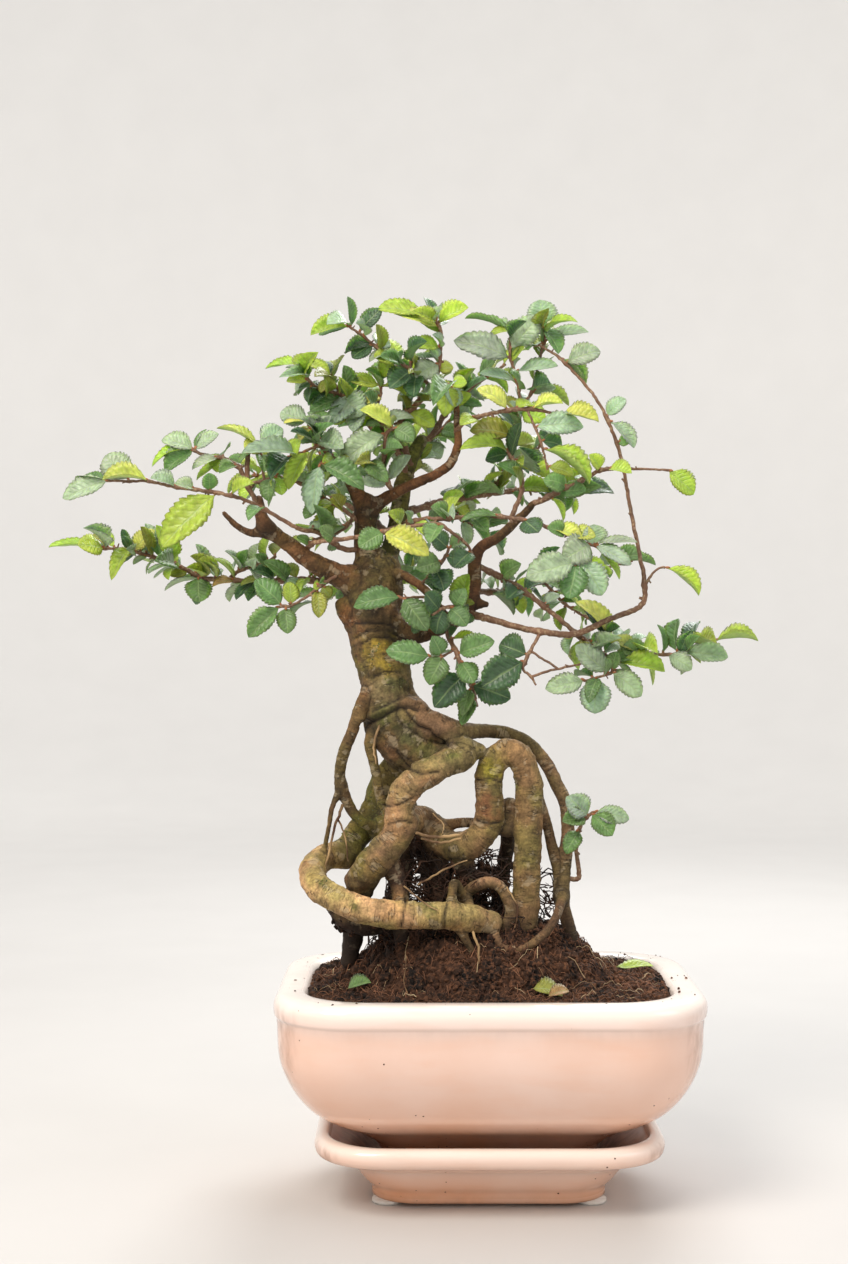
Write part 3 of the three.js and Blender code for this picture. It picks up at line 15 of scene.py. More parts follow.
import bpy
import numpy as np
from mathutils import Euler, Matrix, Vector, noise


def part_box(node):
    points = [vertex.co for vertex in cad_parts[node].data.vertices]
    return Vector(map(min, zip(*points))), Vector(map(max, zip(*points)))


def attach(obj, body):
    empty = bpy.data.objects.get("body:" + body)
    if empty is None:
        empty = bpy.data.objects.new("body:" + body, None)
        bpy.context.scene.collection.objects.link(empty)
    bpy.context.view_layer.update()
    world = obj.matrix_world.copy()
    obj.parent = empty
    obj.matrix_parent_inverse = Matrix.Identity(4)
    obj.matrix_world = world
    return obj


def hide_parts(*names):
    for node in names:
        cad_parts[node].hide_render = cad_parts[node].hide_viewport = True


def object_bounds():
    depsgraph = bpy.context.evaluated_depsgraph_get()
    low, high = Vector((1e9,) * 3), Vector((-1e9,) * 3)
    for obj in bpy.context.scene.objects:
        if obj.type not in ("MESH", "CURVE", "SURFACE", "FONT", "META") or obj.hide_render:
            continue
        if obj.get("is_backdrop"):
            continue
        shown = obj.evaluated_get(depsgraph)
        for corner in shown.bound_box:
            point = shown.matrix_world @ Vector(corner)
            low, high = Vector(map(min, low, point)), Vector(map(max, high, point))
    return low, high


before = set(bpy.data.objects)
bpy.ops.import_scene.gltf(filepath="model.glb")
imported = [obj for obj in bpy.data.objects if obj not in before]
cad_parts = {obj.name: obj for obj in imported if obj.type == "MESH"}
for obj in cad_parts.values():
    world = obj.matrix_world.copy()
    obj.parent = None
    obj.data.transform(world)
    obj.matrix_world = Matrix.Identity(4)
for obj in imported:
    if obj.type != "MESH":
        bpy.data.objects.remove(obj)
cad_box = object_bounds()

log = logging.getLogger("bonsai")

MM = 0.001
BODY = "root"
Row = Sequence[float]
Adder = Callable[..., bpy.types.NodeSocket]


# Helpers


class Drawing:
    """The tree's drawing in millimetres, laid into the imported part's frame."""

    def __init__(self) -> None:
        """Finds the middle of the pot and the foot of the pads in the frame."""
        low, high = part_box("pot")
        self.origin = np.array([(low.x + high.x) / 2, (low.y + high.y) / 2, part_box("pad_1")[0].z])

    def place(self, points: Any) -> np.ndarray:
        """Gives points of the drawing as metres of the part."""
        return np.asarray(points, float).reshape(-1, 3) * MM + self.origin

    def measure(self, points: np.ndarray) -> np.ndarray:
        """Gives points of the part as millimetres of the drawing."""
        return (points - self.origin) / MM


drawing = Drawing()


class Kind(StrEnum):
    """The nodes that the materials and the node trees are made of."""

    ATTRIBUTE = "ShaderNodeAttribute"
    BUMP = "ShaderNodeBump"
    CELLS = "ShaderNodeTexVoronoi"
    COLOURS = "ShaderNodeSeparateColor"
    COORDINATES = "ShaderNodeTexCoord"
    DRESS = "GeometryNodeSetMaterial"
    INSTANCES = "GeometryNodeInstanceOnPoints"
    MAPPING = "ShaderNodeMapping"
    MATH = "ShaderNodeMath"
    MIX = "ShaderNodeMix"
    MOVE = "GeometryNodeSetPosition"
    NAMED = "GeometryNodeInputNamedAttribute"
    NOISE = "ShaderNodeTexNoise"
    POSITION = "GeometryNodeInputPosition"
    RAMP = "ShaderNodeValToRGB"
    RANDOM = "FunctionNodeRandomValue"
    RANGE = "ShaderNodeMapRange"
    REALIZE = "GeometryNodeRealizeInstances"
    VECTOR = "ShaderNodeVectorMath"
    XYZ = "ShaderNodeSeparateXYZ"


def linear(code: str) -> tuple[float, float, float, float]:
    """Turns an sRGB hex colour into linear values.

    Args:
        code: the colour as six hex digits.

    Returns:
        Red, green, blue and an alpha of 1.
    """
    shares = [int(code[i : i + 2], 16) / 255 for i in (0, 2, 4)]
    red, green, blue = (s / 12.92 if s <= 0.04045 else ((s + 0.055) / 1.055) ** 2.4 for s in shares)
    return red, green, blue, 1.0


def per_mm(size: float) -> float:
    """Scale of a texture on Object coordinates whose features are `size` millimetres wide."""
    return 1 / (size * MM)


def feed(node: bpy.types.Node, inputs: Any) -> None:
    """Sets a node's inputs, or links those that are fed by another node.

    Args:
        node: the node.
        inputs: values or outputs in the order of the inputs, or a dict of them by name or place.
    """
    for key, value in inputs.items() if isinstance(inputs, dict) else enumerate(inputs):
        if isinstance(value, bpy.types.NodeSocket):
            node.id_data.links.new(value, node.inputs[key])
        else:
            node.inputs[key].default_value = value


def add_node(
    tree: bpy.types.NodeTree, kind: str, inputs: Any = (), out: int | str = 0, **settings: Any
) -> bpy.types.NodeSocket:
    """Adds a node with its settings and links.

    Args:
        tree: the node tree that gets the node.
        kind: Blender's name for this type of node.
        inputs: what `feed` gives to its inputs.
        out: name or place of the output that is wanted.
        **settings: properties of the node.

    Returns:
        That output of the new node.
    """
    node = tree.nodes.new(kind)
    for name, value in settings.items():
        setattr(node, name, value)
    feed(node, inputs)
    return node.outputs[out]


def smoothstep(value: Any, low: float, high: float) -> Any:
    """Rises smoothly from 0 at low to 1 at high."""
    share = np.clip((value - low) / (high - low), 0, 1)
    return share * share * (3 - 2 * share)


def store(mesh: bpy.types.Mesh, name: str, kind: str, values: Any) -> None:
    """Keeps a value for each vertex under a name that materials and node trees read.

    Args:
        mesh: the mesh that gets the attribute.
        name: the attribute's name.
        kind: FLOAT, INT, FLOAT_VECTOR or FLOAT_COLOR.
        values: one entry for each vertex.
    """
    field_name = {"FLOAT_VECTOR": "vector", "FLOAT_COLOR": "color"}.get(kind, "value")
    number = np.int32 if kind == "INT" else np.float32
    attribute = mesh.attributes.new(name, kind, "POINT")
    attribute.data.foreach_set(field_name, np.asarray(values, number).ravel())


def new_object(name: str, points: Any, faces: Any = (), edges: Any = ()) -> bpy.types.Object:
    """Makes an object from points of the drawing.

    Args:
        name: the object's name.
        points: its vertices in millimetres.
        faces: vertex numbers of each face, seen from outside anticlockwise.
        edges: vertex numbers of each edge, where there are no faces.

    Returns:
        The object, in the scene, smooth shaded, its place in its mesh.
    """
    mesh = bpy.data.meshes.new(name)
    mesh.from_pydata(drawing.place(points).tolist(), list(edges), list(faces))
    mesh.shade_smooth()
    made = bpy.data.objects.new(name, mesh)
    bpy.context.scene.collection.objects.link(made)
    return made


def lattice(rings: int, columns: int) -> list[tuple[int, ...]]:
    """Faces of a closed skin over rings of equally many points.

    Args:
        rings: how many rings.
        columns: how many points in each ring.

    Returns:
        The faces, which point outwards where the rings turn anticlockwise round the way they go.
    """
    faces = []
    for ring in range(rings - 1):
        for i in range(columns):
            low, nearby = ring * columns + i, ring * columns + (i + 1) % columns
            faces.append((low, nearby, nearby + columns, low + columns))
    faces.append(tuple(reversed(range(columns))))
    faces.append(tuple(range((rings - 1) * columns, rings * columns)))
    return faces


def twin(made: bpy.types.Object, name: str) -> bpy.types.Object:
    """Copies an object, with a mesh of its own, into the scene.

    Args:
        made: the object.
        name: the copy's name.

    Returns:
        The copy.
    """
    copy = made.copy()
    copy.data = made.data.copy()
    copy.name = name
    bpy.context.scene.collection.objects.link(copy)
    return copy


def read_back(layer: Any, name: str, count: int, width: int = 1) -> np.ndarray:
    """Reads a value of every vertex.

    Args:
        layer: the vertices, or an attribute's data.
        name: what is read.
        count: how many vertices there are.
        width: how many numbers each has.

    Returns:
        A row of numbers for each vertex, or a number where the width is 1.
    """
    values = np.empty(count * width, np.float32)
    layer.foreach_get(name, values)
    return values.reshape(-1, width) if width > 1 else values


def baked(made: bpy.types.Object) -> bpy.types.Object:
    """Turns an object's modifiers into its plain mesh, and removes them.

    Args:
        made: the object.

    Returns:
        The same object.
    """
    graph = bpy.context.evaluated_depsgraph_get()
    mesh = bpy.data.meshes.new_from_object(made.evaluated_get(graph), depsgraph=graph)
    made.modifiers.clear()
    made.data = mesh
    mesh.name = made.name
    return made


def grown(made: bpy.types.Object, tree: bpy.types.NodeTree, sizes: dict[str, Any]) -> bpy.types.Object:
    """Runs a geometry node tree on an object and keeps the result as its plain mesh.

    Args:
        made: the object with what the tree works on.
        tree: the tree.
        sizes: a value for each of the tree's named inputs that differs from its default.

    Returns:
        The same object with its new mesh.
    """
    modifier = made.modifiers.new(tree.name, "NODES")
    modifier.node_group = tree
    sockets = {item.name: item.identifier for item in tree.interface.items_tree if item.in_out == "INPUT"}
    for name, value in sizes.items():
        modifier[sockets[name]] = value
    return baked(made)


def finished(
    made: bpy.types.Object, material: bpy.types.Material | None = None, nodes: Sequence[str] = ()
) -> bpy.types.Object:
    """Dresses a piece, ties it to the frame and reports it.

    Args:
        made: the piece, its place in its mesh.
        material: its material, where its mesh has none yet.
        nodes: the CAD nodes that it stands for.

    Returns:
        The piece.
    """
    if material is not None:
        made.data.materials.clear()
        made.data.materials.append(material)
    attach(made, BODY)
    if nodes:
        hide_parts(*nodes)
    triangles = sum(len(face.vertices) - 2 for face in made.data.polygons)
    log.info("%s: %d triangles", made.name, triangles)
    return made


# Finishes


def painted(add: Adder, ground: Any, *coats: tuple[Any, Any], how: str = "MIX") -> bpy.types.NodeSocket:
    """Lays coats of colour over a ground, one after another.

    Args:
        add: adds a node to the material.
        ground: the first colour.
        *coats: how much each coat covers, and its colour as hex digits or an output.
        how: how each coat blends with what lies under it.

    Returns:
        The colour of all the coats together.
    """
    colours = [linear(c) if isinstance(c, str) else c for c in (ground, *(coat[1] for coat in coats))]
    colour = colours[0]
    for (share, _), tint in zip(coats, colours[1:]):
        colour = add(Kind.MIX, {0: share, 6: colour, 7: tint}, 2, data_type="RGBA", blend_type=how)
    return colour


@dataclass(frozen=True)
class Finish:
    """What every finish shares: a name, a typical roughness and index of refraction."""

    name: str
    roughness: float
    ior: float = 1.5

    def surface(self, add: Adder) -> dict[str, Any]:
        """Gives what the shader's other sockets get."""
        return {}

    def material(self) -> bpy.types.Material:
        """Builds the material.

        Returns:
            The material.
        """
        material = bpy.data.materials.new(self.name)
        material.use_nodes = True
        shader = material.node_tree.nodes["Principled BSDF"]
        sockets = self.surface(partial(add_node, material.node_tree))
        feed(shader, {"Roughness": self.roughness, "IOR": self.ior, **sockets})
        return material


@dataclass(frozen=True)
class GlazedStoneware(Finish):
    """Stoneware under a cream glaze that blushes pink below its rim and orange-pink, partly painted bounced
    light, towards the foot and sides.

    The eye gets a clear, wet gloss with soft runs in it, iron specks that crowd near the foot, and the brown
    film that watering leaves round the corners. Where the mesh's marks say so, dirt darkens the hollows, and
    painted shade darkens a narrow band under each rim and the inside of the tray, which holds dirt too.
    """

    cream: str = "F6EBE1"
    lip: str = "F1DAD0"
    blush: str = "E7C3B1"
    # Orange-pink low down: partly the glaze's own, partly painted warm light bounced up from below.
    peach_and_painted_bounce: str = "E5A57C"
    speck: str = "50301E"
    film: str = "8E5C3C"
    # Dark brown for dirt, and for painted shade under the rims and inside the tray.
    mud_and_shade: str = "4A3426"
    foot_z: float = 12.0
    rim_z: float = 76.0
    half_width: float = 75.0
    gloss: float = 0.5
    cloud: float = 40.0
    run: float = 7.0
    drip: float = 3.2
    wave: float = 9.0
    # Each iron speck, 0.2 to 0.4 mm across, lies in a cell of this width.
    speck_cell: float = 2.6
    speck_share: float = 0.09

    def corners(self, add: Adder, x: Any, y: Any) -> bpy.types.NodeSocket:
        """Gives 1 at the rounded ends of the long sides, 0 elsewhere.

        Args:
            add: adds a node to the material.
            x: place along the wall's long side.
            y: place along its short side.

        Returns:
            The share of the corner.
        """
        shares = []
        for side, start, end in ((x, 0.86, 0.97), (y, 0.14, 0.45)):
            away = add(Kind.MATH, [side], operation="ABSOLUTE")
            shares.append(add(Kind.RANGE, (away, start * self.half_width * MM, end * self.half_width * MM)))
        return add(Kind.MATH, shares, operation="MULTIPLY")

    def specks(self, add: Adder, place: Any, rise: Any) -> bpy.types.NodeSocket:
        """Gives 1 in an iron speck, which are more and larger low on the wall.

        Args:
            add: adds a node to the material.
            place: coordinates from the middle of the pot.
            rise: how far up the wall, 0 to 1.

        Returns:
            The share of the specks' colour.
        """
        cells = add(Kind.CELLS, {"Vector": place, "Scale": per_mm(self.speck_cell)}).node.outputs
        drawn, sized, _ = add(Kind.COLOURS, [cells["Color"]]).node.outputs
        reach = add(Kind.RANGE, (sized, 0.0, 1.0, 0.06, 0.16))
        dot = add(Kind.MATH, (cells["Distance"], reach), operation="LESS_THAN")
        crowd = add(Kind.RANGE, (rise, 0.5, 0.12, self.speck_share * 0.4, self.speck_share * 3.0))
        kept = add(Kind.MATH, (drawn, crowd), operation="LESS_THAN")
        return add(Kind.MATH, (dot, kept), operation="MULTIPLY")

    def surface(self, add: Adder) -> dict[str, Any]:
        """Gives the glaze's colours, its gloss and the soft waves in it.

        Args:
            add: adds a node to the material.

        Returns:
            What each of the shader's sockets gets.
        """
        place = add(Kind.COORDINATES, out="Object")
        place = add(Kind.MAPPING, {"Vector": place, "Location": tuple(-drawing.origin)})
        x, y, z = add(Kind.XYZ, [place]).node.outputs
        rise = add(Kind.RANGE, (z, self.foot_z * MM, self.rim_z * MM))
        # From the foot up: orange-pink, partly painted bounced light, then pink, then cream at the rim.
        ramp = add(Kind.RAMP, [rise])
        stops = ramp.node.color_ramp.elements
        stops[0].position, stops[0].color = 0.12, linear(self.peach_and_painted_bounce)
        stops[1].position, stops[1].color = 0.985, linear(self.cream)
        for position, colour in ((0.55, self.blush), (0.82, self.blush), (0.9, self.lip)):
            stops.new(position).color = linear(colour)
        fields = []
        for stretch, size, detail, *span in (
            ((1.0, 1.0, 1.0), self.cloud, 4.0, 0.4, 0.64, 0.0, 0.35),
            ((0.35, 0.35, 1.6), self.run, 3.0, 0.5, 0.72, 0.0, 0.12),
            ((1.0, 1.0, 0.4), self.drip, 5.0, 0.34, 0.74, 0.0, 0.85),
        ):
            drawn = add(Kind.VECTOR, (place, stretch), operation="MULTIPLY")
            field = add(Kind.NOISE, {"Vector": drawn, "Scale": per_mm(size), "Detail": detail})
            fields.append(add(Kind.RANGE, (field, *span)))
        clouds, runs, torn = fields
        # Orange-pink low on the sides: partly the glaze's flush, partly painted warm light bounced up from
        # below.
        flank = add(Kind.MATH, [x], operation="ABSOLUTE")
        flank = add(Kind.RANGE, (flank, self.half_width * 0.5 * MM, self.half_width * MM))
        low = add(Kind.RANGE, (rise, 0.95, 0.1))
        flushed_and_bounce = add(Kind.MATH, (flank, low), operation="MULTIPLY")
        under_rim = add(Kind.RANGE, (rise, 0.99, 0.86))
        film = add(Kind.MATH, (self.corners(add, x, y), under_rim), operation="MULTIPLY")
        film = add(Kind.MATH, (film, torn), operation="MULTIPLY")
        # Dirt, and painted shade under the rims and inside the tray, darken the glaze where the mesh marks
        # it; the same marks roughen it and thin its coat.
        grime = add(Kind.ATTRIBUTE, out="Fac", attribute_name="grime")
        settled_mud_and_shade = add(Kind.RANGE, (torn, 0.0, 0.85, 0.55, 1.0))
        settled_mud_and_shade = add(Kind.MATH, (grime, settled_mud_and_shade), operation="MULTIPLY")
        colour = painted(
            add,
            ramp,
            (clouds, self.lip),
            (runs, self.peach_and_painted_bounce),
            (flushed_and_bounce, self.peach_and_painted_bounce),
            (film, self.film),
            (settled_mud_and_shade, self.mud_and_shade),
            (self.specks(add, place, rise), self.speck),
        )
        waves = add(Kind.NOISE, {"Vector": place, "Scale": per_mm(self.wave), "Detail": 2.0})
        return {
            "Base Color": colour,
            "Normal": add(Kind.BUMP, {"Height": waves, "Strength": 0.16, "Distance": 0.6 * MM}),
            "Roughness": add(Kind.RANGE, (grime, 0.0, 1.0, self.roughness, 0.7)),
            "Coat Weight": add(Kind.RANGE, (grime, 0.0, 0.6, self.gloss, 0.0)),
            "Coat Roughness": 0.1,
        }


@dataclass(frozen=True)
class Mottled(Finish):
    """A finish whose shade wanders between two colours in patches of a few millimetres.

    The patches' noise is stretched so that `low` is all the first colour and `high` all the second.
    """

    colour: str = "808080"
    other: str = "808080"
    patch: float = 1.0
    detail: float = 3.0
    low: float = 0.0
    high: float = 1.0
    relief: float = 0.0
    sheen: float = 0.0

    def surface(self, add: Adder) -> dict[str, Any]:
        """Gives the two colours and, where there is relief, the patches as faint bumps.

        Args:
            add: adds a node to the material.

        Returns:
            What each of the shader's sockets gets.
        """
        place = add(Kind.COORDINATES, out="Object")
        patches = add(Kind.NOISE, {"Vector": place, "Scale": per_mm(self.patch), "Detail": self.detail})
        spread = add(Kind.RANGE, (patches, self.low, self.high))
        sockets = {"Base Color": painted(add, self.colour, (spread, self.other)), "Sheen Weight": self.sheen}
        if self.relief:
            sockets["Normal"] = add(
                Kind.BUMP, {"Height": patches, "Strength": 0.2, "Distance": self.relief * MM}
            )
        return sockets


@dataclass(frozen=True)
class CastRubber(Mottled):
    """Soft white rubber of the stick-on pads: matt, a little dusty."""

    colour: str = "F0EEEA"
    other: str = "CFC6BA"
    # Dust is finer than this. It is drawn as coarse as it needs to show.
    patch: float = 2.5
    relief: float = 0.1


@dataclass(frozen=True)
class WovenPolypropylene(Mottled):
    """Black polypropylene netting: smooth thread with the faint waxy shine of extruded plastic."""

    colour: str = "232321"
    other: str = "3A3733"
    # Scuffs are finer than this. They are drawn as coarse as they need to show.
    patch: float = 1.5
    detail: float = 2.0


@dataclass(frozen=True)
class RootFibre(Mottled):
    """Dry root and coir fibre: thin woody thread, pale where it caught the light, darker where it is wet."""

    colour: str = "4A2C1C"
    other: str = "9A7550"
    patch: float = 9.0
    low: float = 0.38
    high: float = 0.66


@dataclass(frozen=True)
class BudScale(Mottled):
    """The dry scales of a bud: thin, chestnut and slightly satin."""

    colour: str = "7A3F28"
    other: str = "B07A4C"
    # A bud's scales are half a millimetre wide, drawn a little coarser so that they show.
    patch: float = 0.8
    detail: float = 2.0


@dataclass(frozen=True)
class CushionMoss(Mottled):
    """Short cushion moss: tiny upright leaves that read as soft green felt, drier and yellow at the tips."""

    colour: str = "3E4A1E"
    other: str = "6F7430"
    patch: float = 3.0
    low: float = 0.4
    high: float = 0.65
    sheen: float = 0.3


@dataclass(frozen=True)
class StudioPaper(Mottled):
    """Plain pale paper under and round the tree, with a trace of pulp in it.

    It glows a little away from the tree: painted light, for no lamp stands behind it.
    """

    colour: str = "C9C7C4"
    other: str = "C4C2BF"
    # Pulp itself is too fine to show. What shows is how its density wanders.
    patch: float = 60.0
    detail: float = 2.0
    glow: float = 0.6
    glow_start: float = 450.0
    glow_end: float = 1350.0

    def surface(self, add: Adder) -> dict[str, Any]:
        """Adds the glow to the paper's colour.

        Args:
            add: adds a node to the material.

        Returns:
            What each of the shader's sockets gets.
        """
        sockets = super().surface(add)
        # Painted light: the glow grows with the distance from the tree.
        away = add(Kind.VECTOR, [add(Kind.COORDINATES, out="Object")], "Value", operation="LENGTH")
        shine = add(Kind.RANGE, (away, self.glow_start * MM, self.glow_end * MM, 0.0, self.glow))
        return {**sockets, "Emission Color": sockets["Base Color"], "Emission Strength": shine}

    def material(self) -> bpy.types.Material:
        """Builds the paper, whose glow isn't counted as a lamp, so that it renders quickly.

        Returns:
            The material.
        """
        material = super().material()
        material.cycles.emission_sampling = "NONE"
        return material


@dataclass(frozen=True)
class Peat(Finish):
    """Damp peat and coir dust: nearly black in its hollows, red-brown where it dries, its grain tops lighter,
    partly dust and partly painted highlight; no shine.
    """

    wet: str = "120B07"
    dry: str = "40291B"
    rust: str = "80563C"
    dry_side: float = 60.0
    patch: float = 9.0
    # Peat dust is finer than this. It is drawn as coarse as it needs to show.
    grain: float = 1.3

    def surface(self, add: Adder) -> dict[str, Any]:
        """Gives the peat's colours, drier towards the pot's right side, and its grain.

        Args:
            add: adds a node to the material.

        Returns:
            What each of the shader's sockets gets.
        """
        place = add(Kind.COORDINATES, out="Object")
        patches = add(Kind.NOISE, {"Vector": place, "Scale": per_mm(self.patch), "Detail": 5.0})
        grains = add(Kind.NOISE, {"Vector": place, "Scale": per_mm(self.grain), "Detail": 4.0})
        centred = add(Kind.MAPPING, {"Vector": place, "Location": tuple(-drawing.origin)})
        reach = self.dry_side * MM
        dryness = add(Kind.RANGE, (add(Kind.XYZ, [centred]), -reach, reach, 0.35, 1.0))
        # The tops of the grains are made lighter: partly dry dust, partly painted highlight, leaving the
        # hollows dark.
        grain_tops_dust_and_highlight = add(Kind.RANGE, (grains, 0.48, 0.7, 0.0, 0.9))
        dusty = add(Kind.MATH, (grain_tops_dust_and_highlight, dryness), operation="MULTIPLY")
        dried = add(Kind.RANGE, (patches, 0.4, 0.62))
        return {
            "Base Color": painted(add, self.wet, (dried, self.dry), (dusty, self.rust)),
            "Normal": add(Kind.BUMP, {"Height": grains, "Strength": 0.9, "Distance": 0.7 * MM}),
        }


@dataclass(frozen=True)
class ElmBark(Finish):
    """Thin bark of old elm roots: satin on the swells, finely ringed, stained by algae, dark in its folds,
    partly as painted shade.

    The mesh keeps the bark's colour, painted lighter on its tops and darker underneath, in one colour
    attribute, its stains and painted shade patches with how much they cover in another, how deep a point lies
    in a fold or a joint between stems, darkened there partly as painted shade, in a third, and its place
    round the stem in "grain".
    """

    # Colour of the folds, splits and joints: partly their own dark, partly painted shade.
    crack: str = "1E150D"
    # Colour of the bark low down near the soil and towards the back.
    damp: str = "20150D"
    flake: str = "C9B898"
    patch: float = 6.0
    ring: float = 1.1
    # The bark's pores are about 0.4 mm wide, drawn twice as coarse so that they show.
    fleck: float = 0.8
    scab: float = 4.5
    drift: float = 16.0
    green: str = "DADCB2"
    warm: str = "FFE6D8"

    def surface(self, add: Adder) -> dict[str, Any]:
        """Gives the bark's colours, its flakes and rings, and the relief of both.

        Args:
            add: adds a node to the material.

        Returns:
            What each of the shader's sockets gets.
        """
        place = add(Kind.COORDINATES, out="Object")
        stain = add(Kind.ATTRIBUTE, attribute_name="stain").node.outputs
        grain = add(Kind.ATTRIBUTE, out="Vector", attribute_name="grain")
        rings = add(Kind.NOISE, {"Vector": grain, "Scale": 1 / self.ring, "Detail": 3.0})
        patches, flecks, drift, scabs = (
            add(Kind.NOISE, {"Vector": place, "Scale": per_mm(size), "Detail": detail})
            for size, detail in ((self.patch, 5.0), (self.fleck, 3.0), (self.drift, 4.0), (self.scab, 6.0))
        )
        torn = add(Kind.RANGE, (patches, 0.35, 0.6, 0.25, 1.0))
        covered = add(Kind.MATH, (stain["Alpha"], torn), operation="MULTIPLY")
        # The bark's colour, with painted light on its tops and painted shade underneath.
        own = add(Kind.ATTRIBUTE, out="Color", attribute_name="bark_colour")
        colour = painted(add, own, (covered, stain["Color"]))
        greened = add(Kind.RANGE, (drift, 0.42, 0.58))
        colour = painted(
            add,
            colour,
            (1.0, add(Kind.RANGE, (patches, 0.35, 0.65, 0.66, 1.26))),
            (1.0, add(Kind.RANGE, (rings, 0.36, 0.62, 0.82, 1.1))),
            (1.0, add(Kind.RANGE, (flecks, 0.35, 0.65, 0.74, 1.2))),
            (0.9, painted(add, self.warm, (greened, self.green))),
            how="MULTIPLY",
        )
        middle = add(Kind.MATH, (rings, 0.5), operation="SUBTRACT")
        ridge = add(Kind.MATH, [middle], operation="ABSOLUTE")
        lines = add(Kind.RANGE, (ridge, 0.004, 0.03, 1.0, 0.0))
        split = add(Kind.MATH, (lines, add(Kind.RANGE, (scabs, 0.44, 0.56))), operation="MULTIPLY")
        colour = painted(
            add,
            colour,
            (add(Kind.RANGE, (scabs, 0.57, 0.62, 0.0, 0.28)), self.flake),
            # Splits, folds and joints between stems painted dark: partly real, partly painted shade.
            (add(Kind.MATH, (split, 0.7), operation="MULTIPLY"), self.crack),
            (add(Kind.ATTRIBUTE, out="Fac", attribute_name="crack"), self.crack),
            # Darker low down near the soil and towards the back.
            (add(Kind.ATTRIBUTE, out="Fac", attribute_name="damp"), self.damp),
        )
        height = add(Kind.MATH, (flecks, 0.6, rings), operation="MULTIPLY_ADD")
        height = add(Kind.MATH, (split, -0.7, height), operation="MULTIPLY_ADD")
        bump = add(Kind.BUMP, {"Height": height, "Strength": 0.8, "Distance": 0.4 * MM})
        return {"Base Color": colour, "Normal": bump}


@dataclass(frozen=True)
class TwigBark(Finish):
    """Bark of young elm shoots: chestnut and smooth when thin, grey-brown and rougher as they thicken."""

    young: str = "765540"
    old: str = "6C5C44"
    fleck: str = "AC9674"
    # Pores of a shoot are a third of this wide, drawn as coarse as they need to show.
    pore: float = 1.0
    drift: float = 7.0

    def surface(self, add: Adder) -> dict[str, Any]:
        """Gives the bark of the twigs from their own thickness.

        Args:
            add: adds a node to the material.

        Returns:
            What each of the shader's sockets gets.
        """
        place = add(Kind.COORDINATES, out="Object")
        girth = add(Kind.ATTRIBUTE, out="Fac", attribute_name="radius")
        age = add(Kind.RANGE, (girth, 0.42 * MM, 0.8 * MM))
        pores = add(Kind.NOISE, {"Vector": place, "Scale": per_mm(self.pore), "Detail": 4.0})
        drift = add(Kind.NOISE, {"Vector": place, "Scale": per_mm(self.drift), "Detail": 2.0})
        pale = add(Kind.RANGE, (pores, 0.5, 0.7, 0.0, 0.75))
        shade = add(Kind.RANGE, (drift, 0.35, 0.65, 0.65, 1.2))
        bark = painted(add, self.young, (age, self.old), (pale, self.fleck))
        return {
            "Base Color": painted(add, bark, (1.0, shade), how="MULTIPLY"),
            "Normal": add(Kind.BUMP, {"Height": pores, "Strength": 0.6, "Distance": 0.25 * MM}),
        }


@dataclass(frozen=True)
class ElmLeaf(Finish):
    """A living elm leaf: waxy above, duller below, quilted by its veins, thin enough to let light through.

    The attribute "blade" holds a point's place from stalk to tip, its share of the half width and, as 1,
    that it lies on the underside. "leaf_colour" holds the leaf's own colour.
    """

    underside: str = "A9BC8E"
    rib: str = "9DB478"
    stalk: str = "8E6A4A"
    veins: float = 8.0
    vein_lean: float = 0.24
    mottle: float = 2.6

    def surface(self, add: Adder) -> dict[str, Any]:
        """Gives the leaf's colours, its midrib and side veins and the light that comes through.

        Args:
            add: adds a node to the material.

        Returns:
            What each of the shader's sockets gets.
        """
        place = add(Kind.COORDINATES, out="Object")
        tone = add(Kind.ATTRIBUTE, out="Color", attribute_name="leaf_colour")
        blade = add(Kind.ATTRIBUTE, out="Vector", attribute_name="blade")
        along, across, below = add(Kind.XYZ, [blade]).node.outputs
        away = add(Kind.MATH, [across], operation="ABSOLUTE")
        leant = add(Kind.MATH, (away, -self.vein_lean, along), operation="MULTIPLY_ADD")
        counted = add(Kind.MATH, (leant, self.veins), operation="MULTIPLY")
        ripple = add(Kind.MATH, (counted, 0.5), operation="PINGPONG")
        side_vein = add(Kind.RANGE, (ripple, 0.0, 0.3, 1.0, 0.0))
        midrib = add(Kind.RANGE, (away, 0.02, 0.09, 1.0, 0.0))
        mottle = add(Kind.NOISE, {"Vector": place, "Scale": per_mm(self.mottle), "Detail": 4.0})
        colour = painted(
            add,
            tone,
            (1.0, add(Kind.RANGE, (mottle, 0.36, 0.66, 0.78, 1.18))),
            (1.0, add(Kind.RANGE, (away, 0.7, 1.0, 1.0, 0.86))),
            (1.0, add(Kind.RANGE, (side_vein, 0.0, 1.0, 1.0, 0.9))),
            how="MULTIPLY",
        )
        colour = painted(
            add,
            colour,
            (add(Kind.MATH, (midrib, 0.4), operation="MULTIPLY"), self.rib),
            (add(Kind.MATH, (below, 0.4), operation="MULTIPLY"), self.underside),
            (add(Kind.RANGE, (along, 0.09, 0.05)), self.stalk),
        )
        veined = add(Kind.MATH, (side_vein, midrib), operation="MAXIMUM")
        height = add(Kind.MATH, (veined, -0.8, mottle), operation="MULTIPLY_ADD")
        return {
            "Base Color": colour,
            "Roughness": add(Kind.RANGE, (below, 0.0, 1.0, self.roughness, self.roughness + 0.22)),
            "Normal": add(Kind.BUMP, {"Height": height, "Strength": 0.6, "Distance": 0.3 * MM}),
            "Subsurface Weight": 0.3,
            "Subsurface Radius": (0.6, 1.0, 0.25),
            "Subsurface Scale": 0.8 * MM,
        }


# The tree's measures


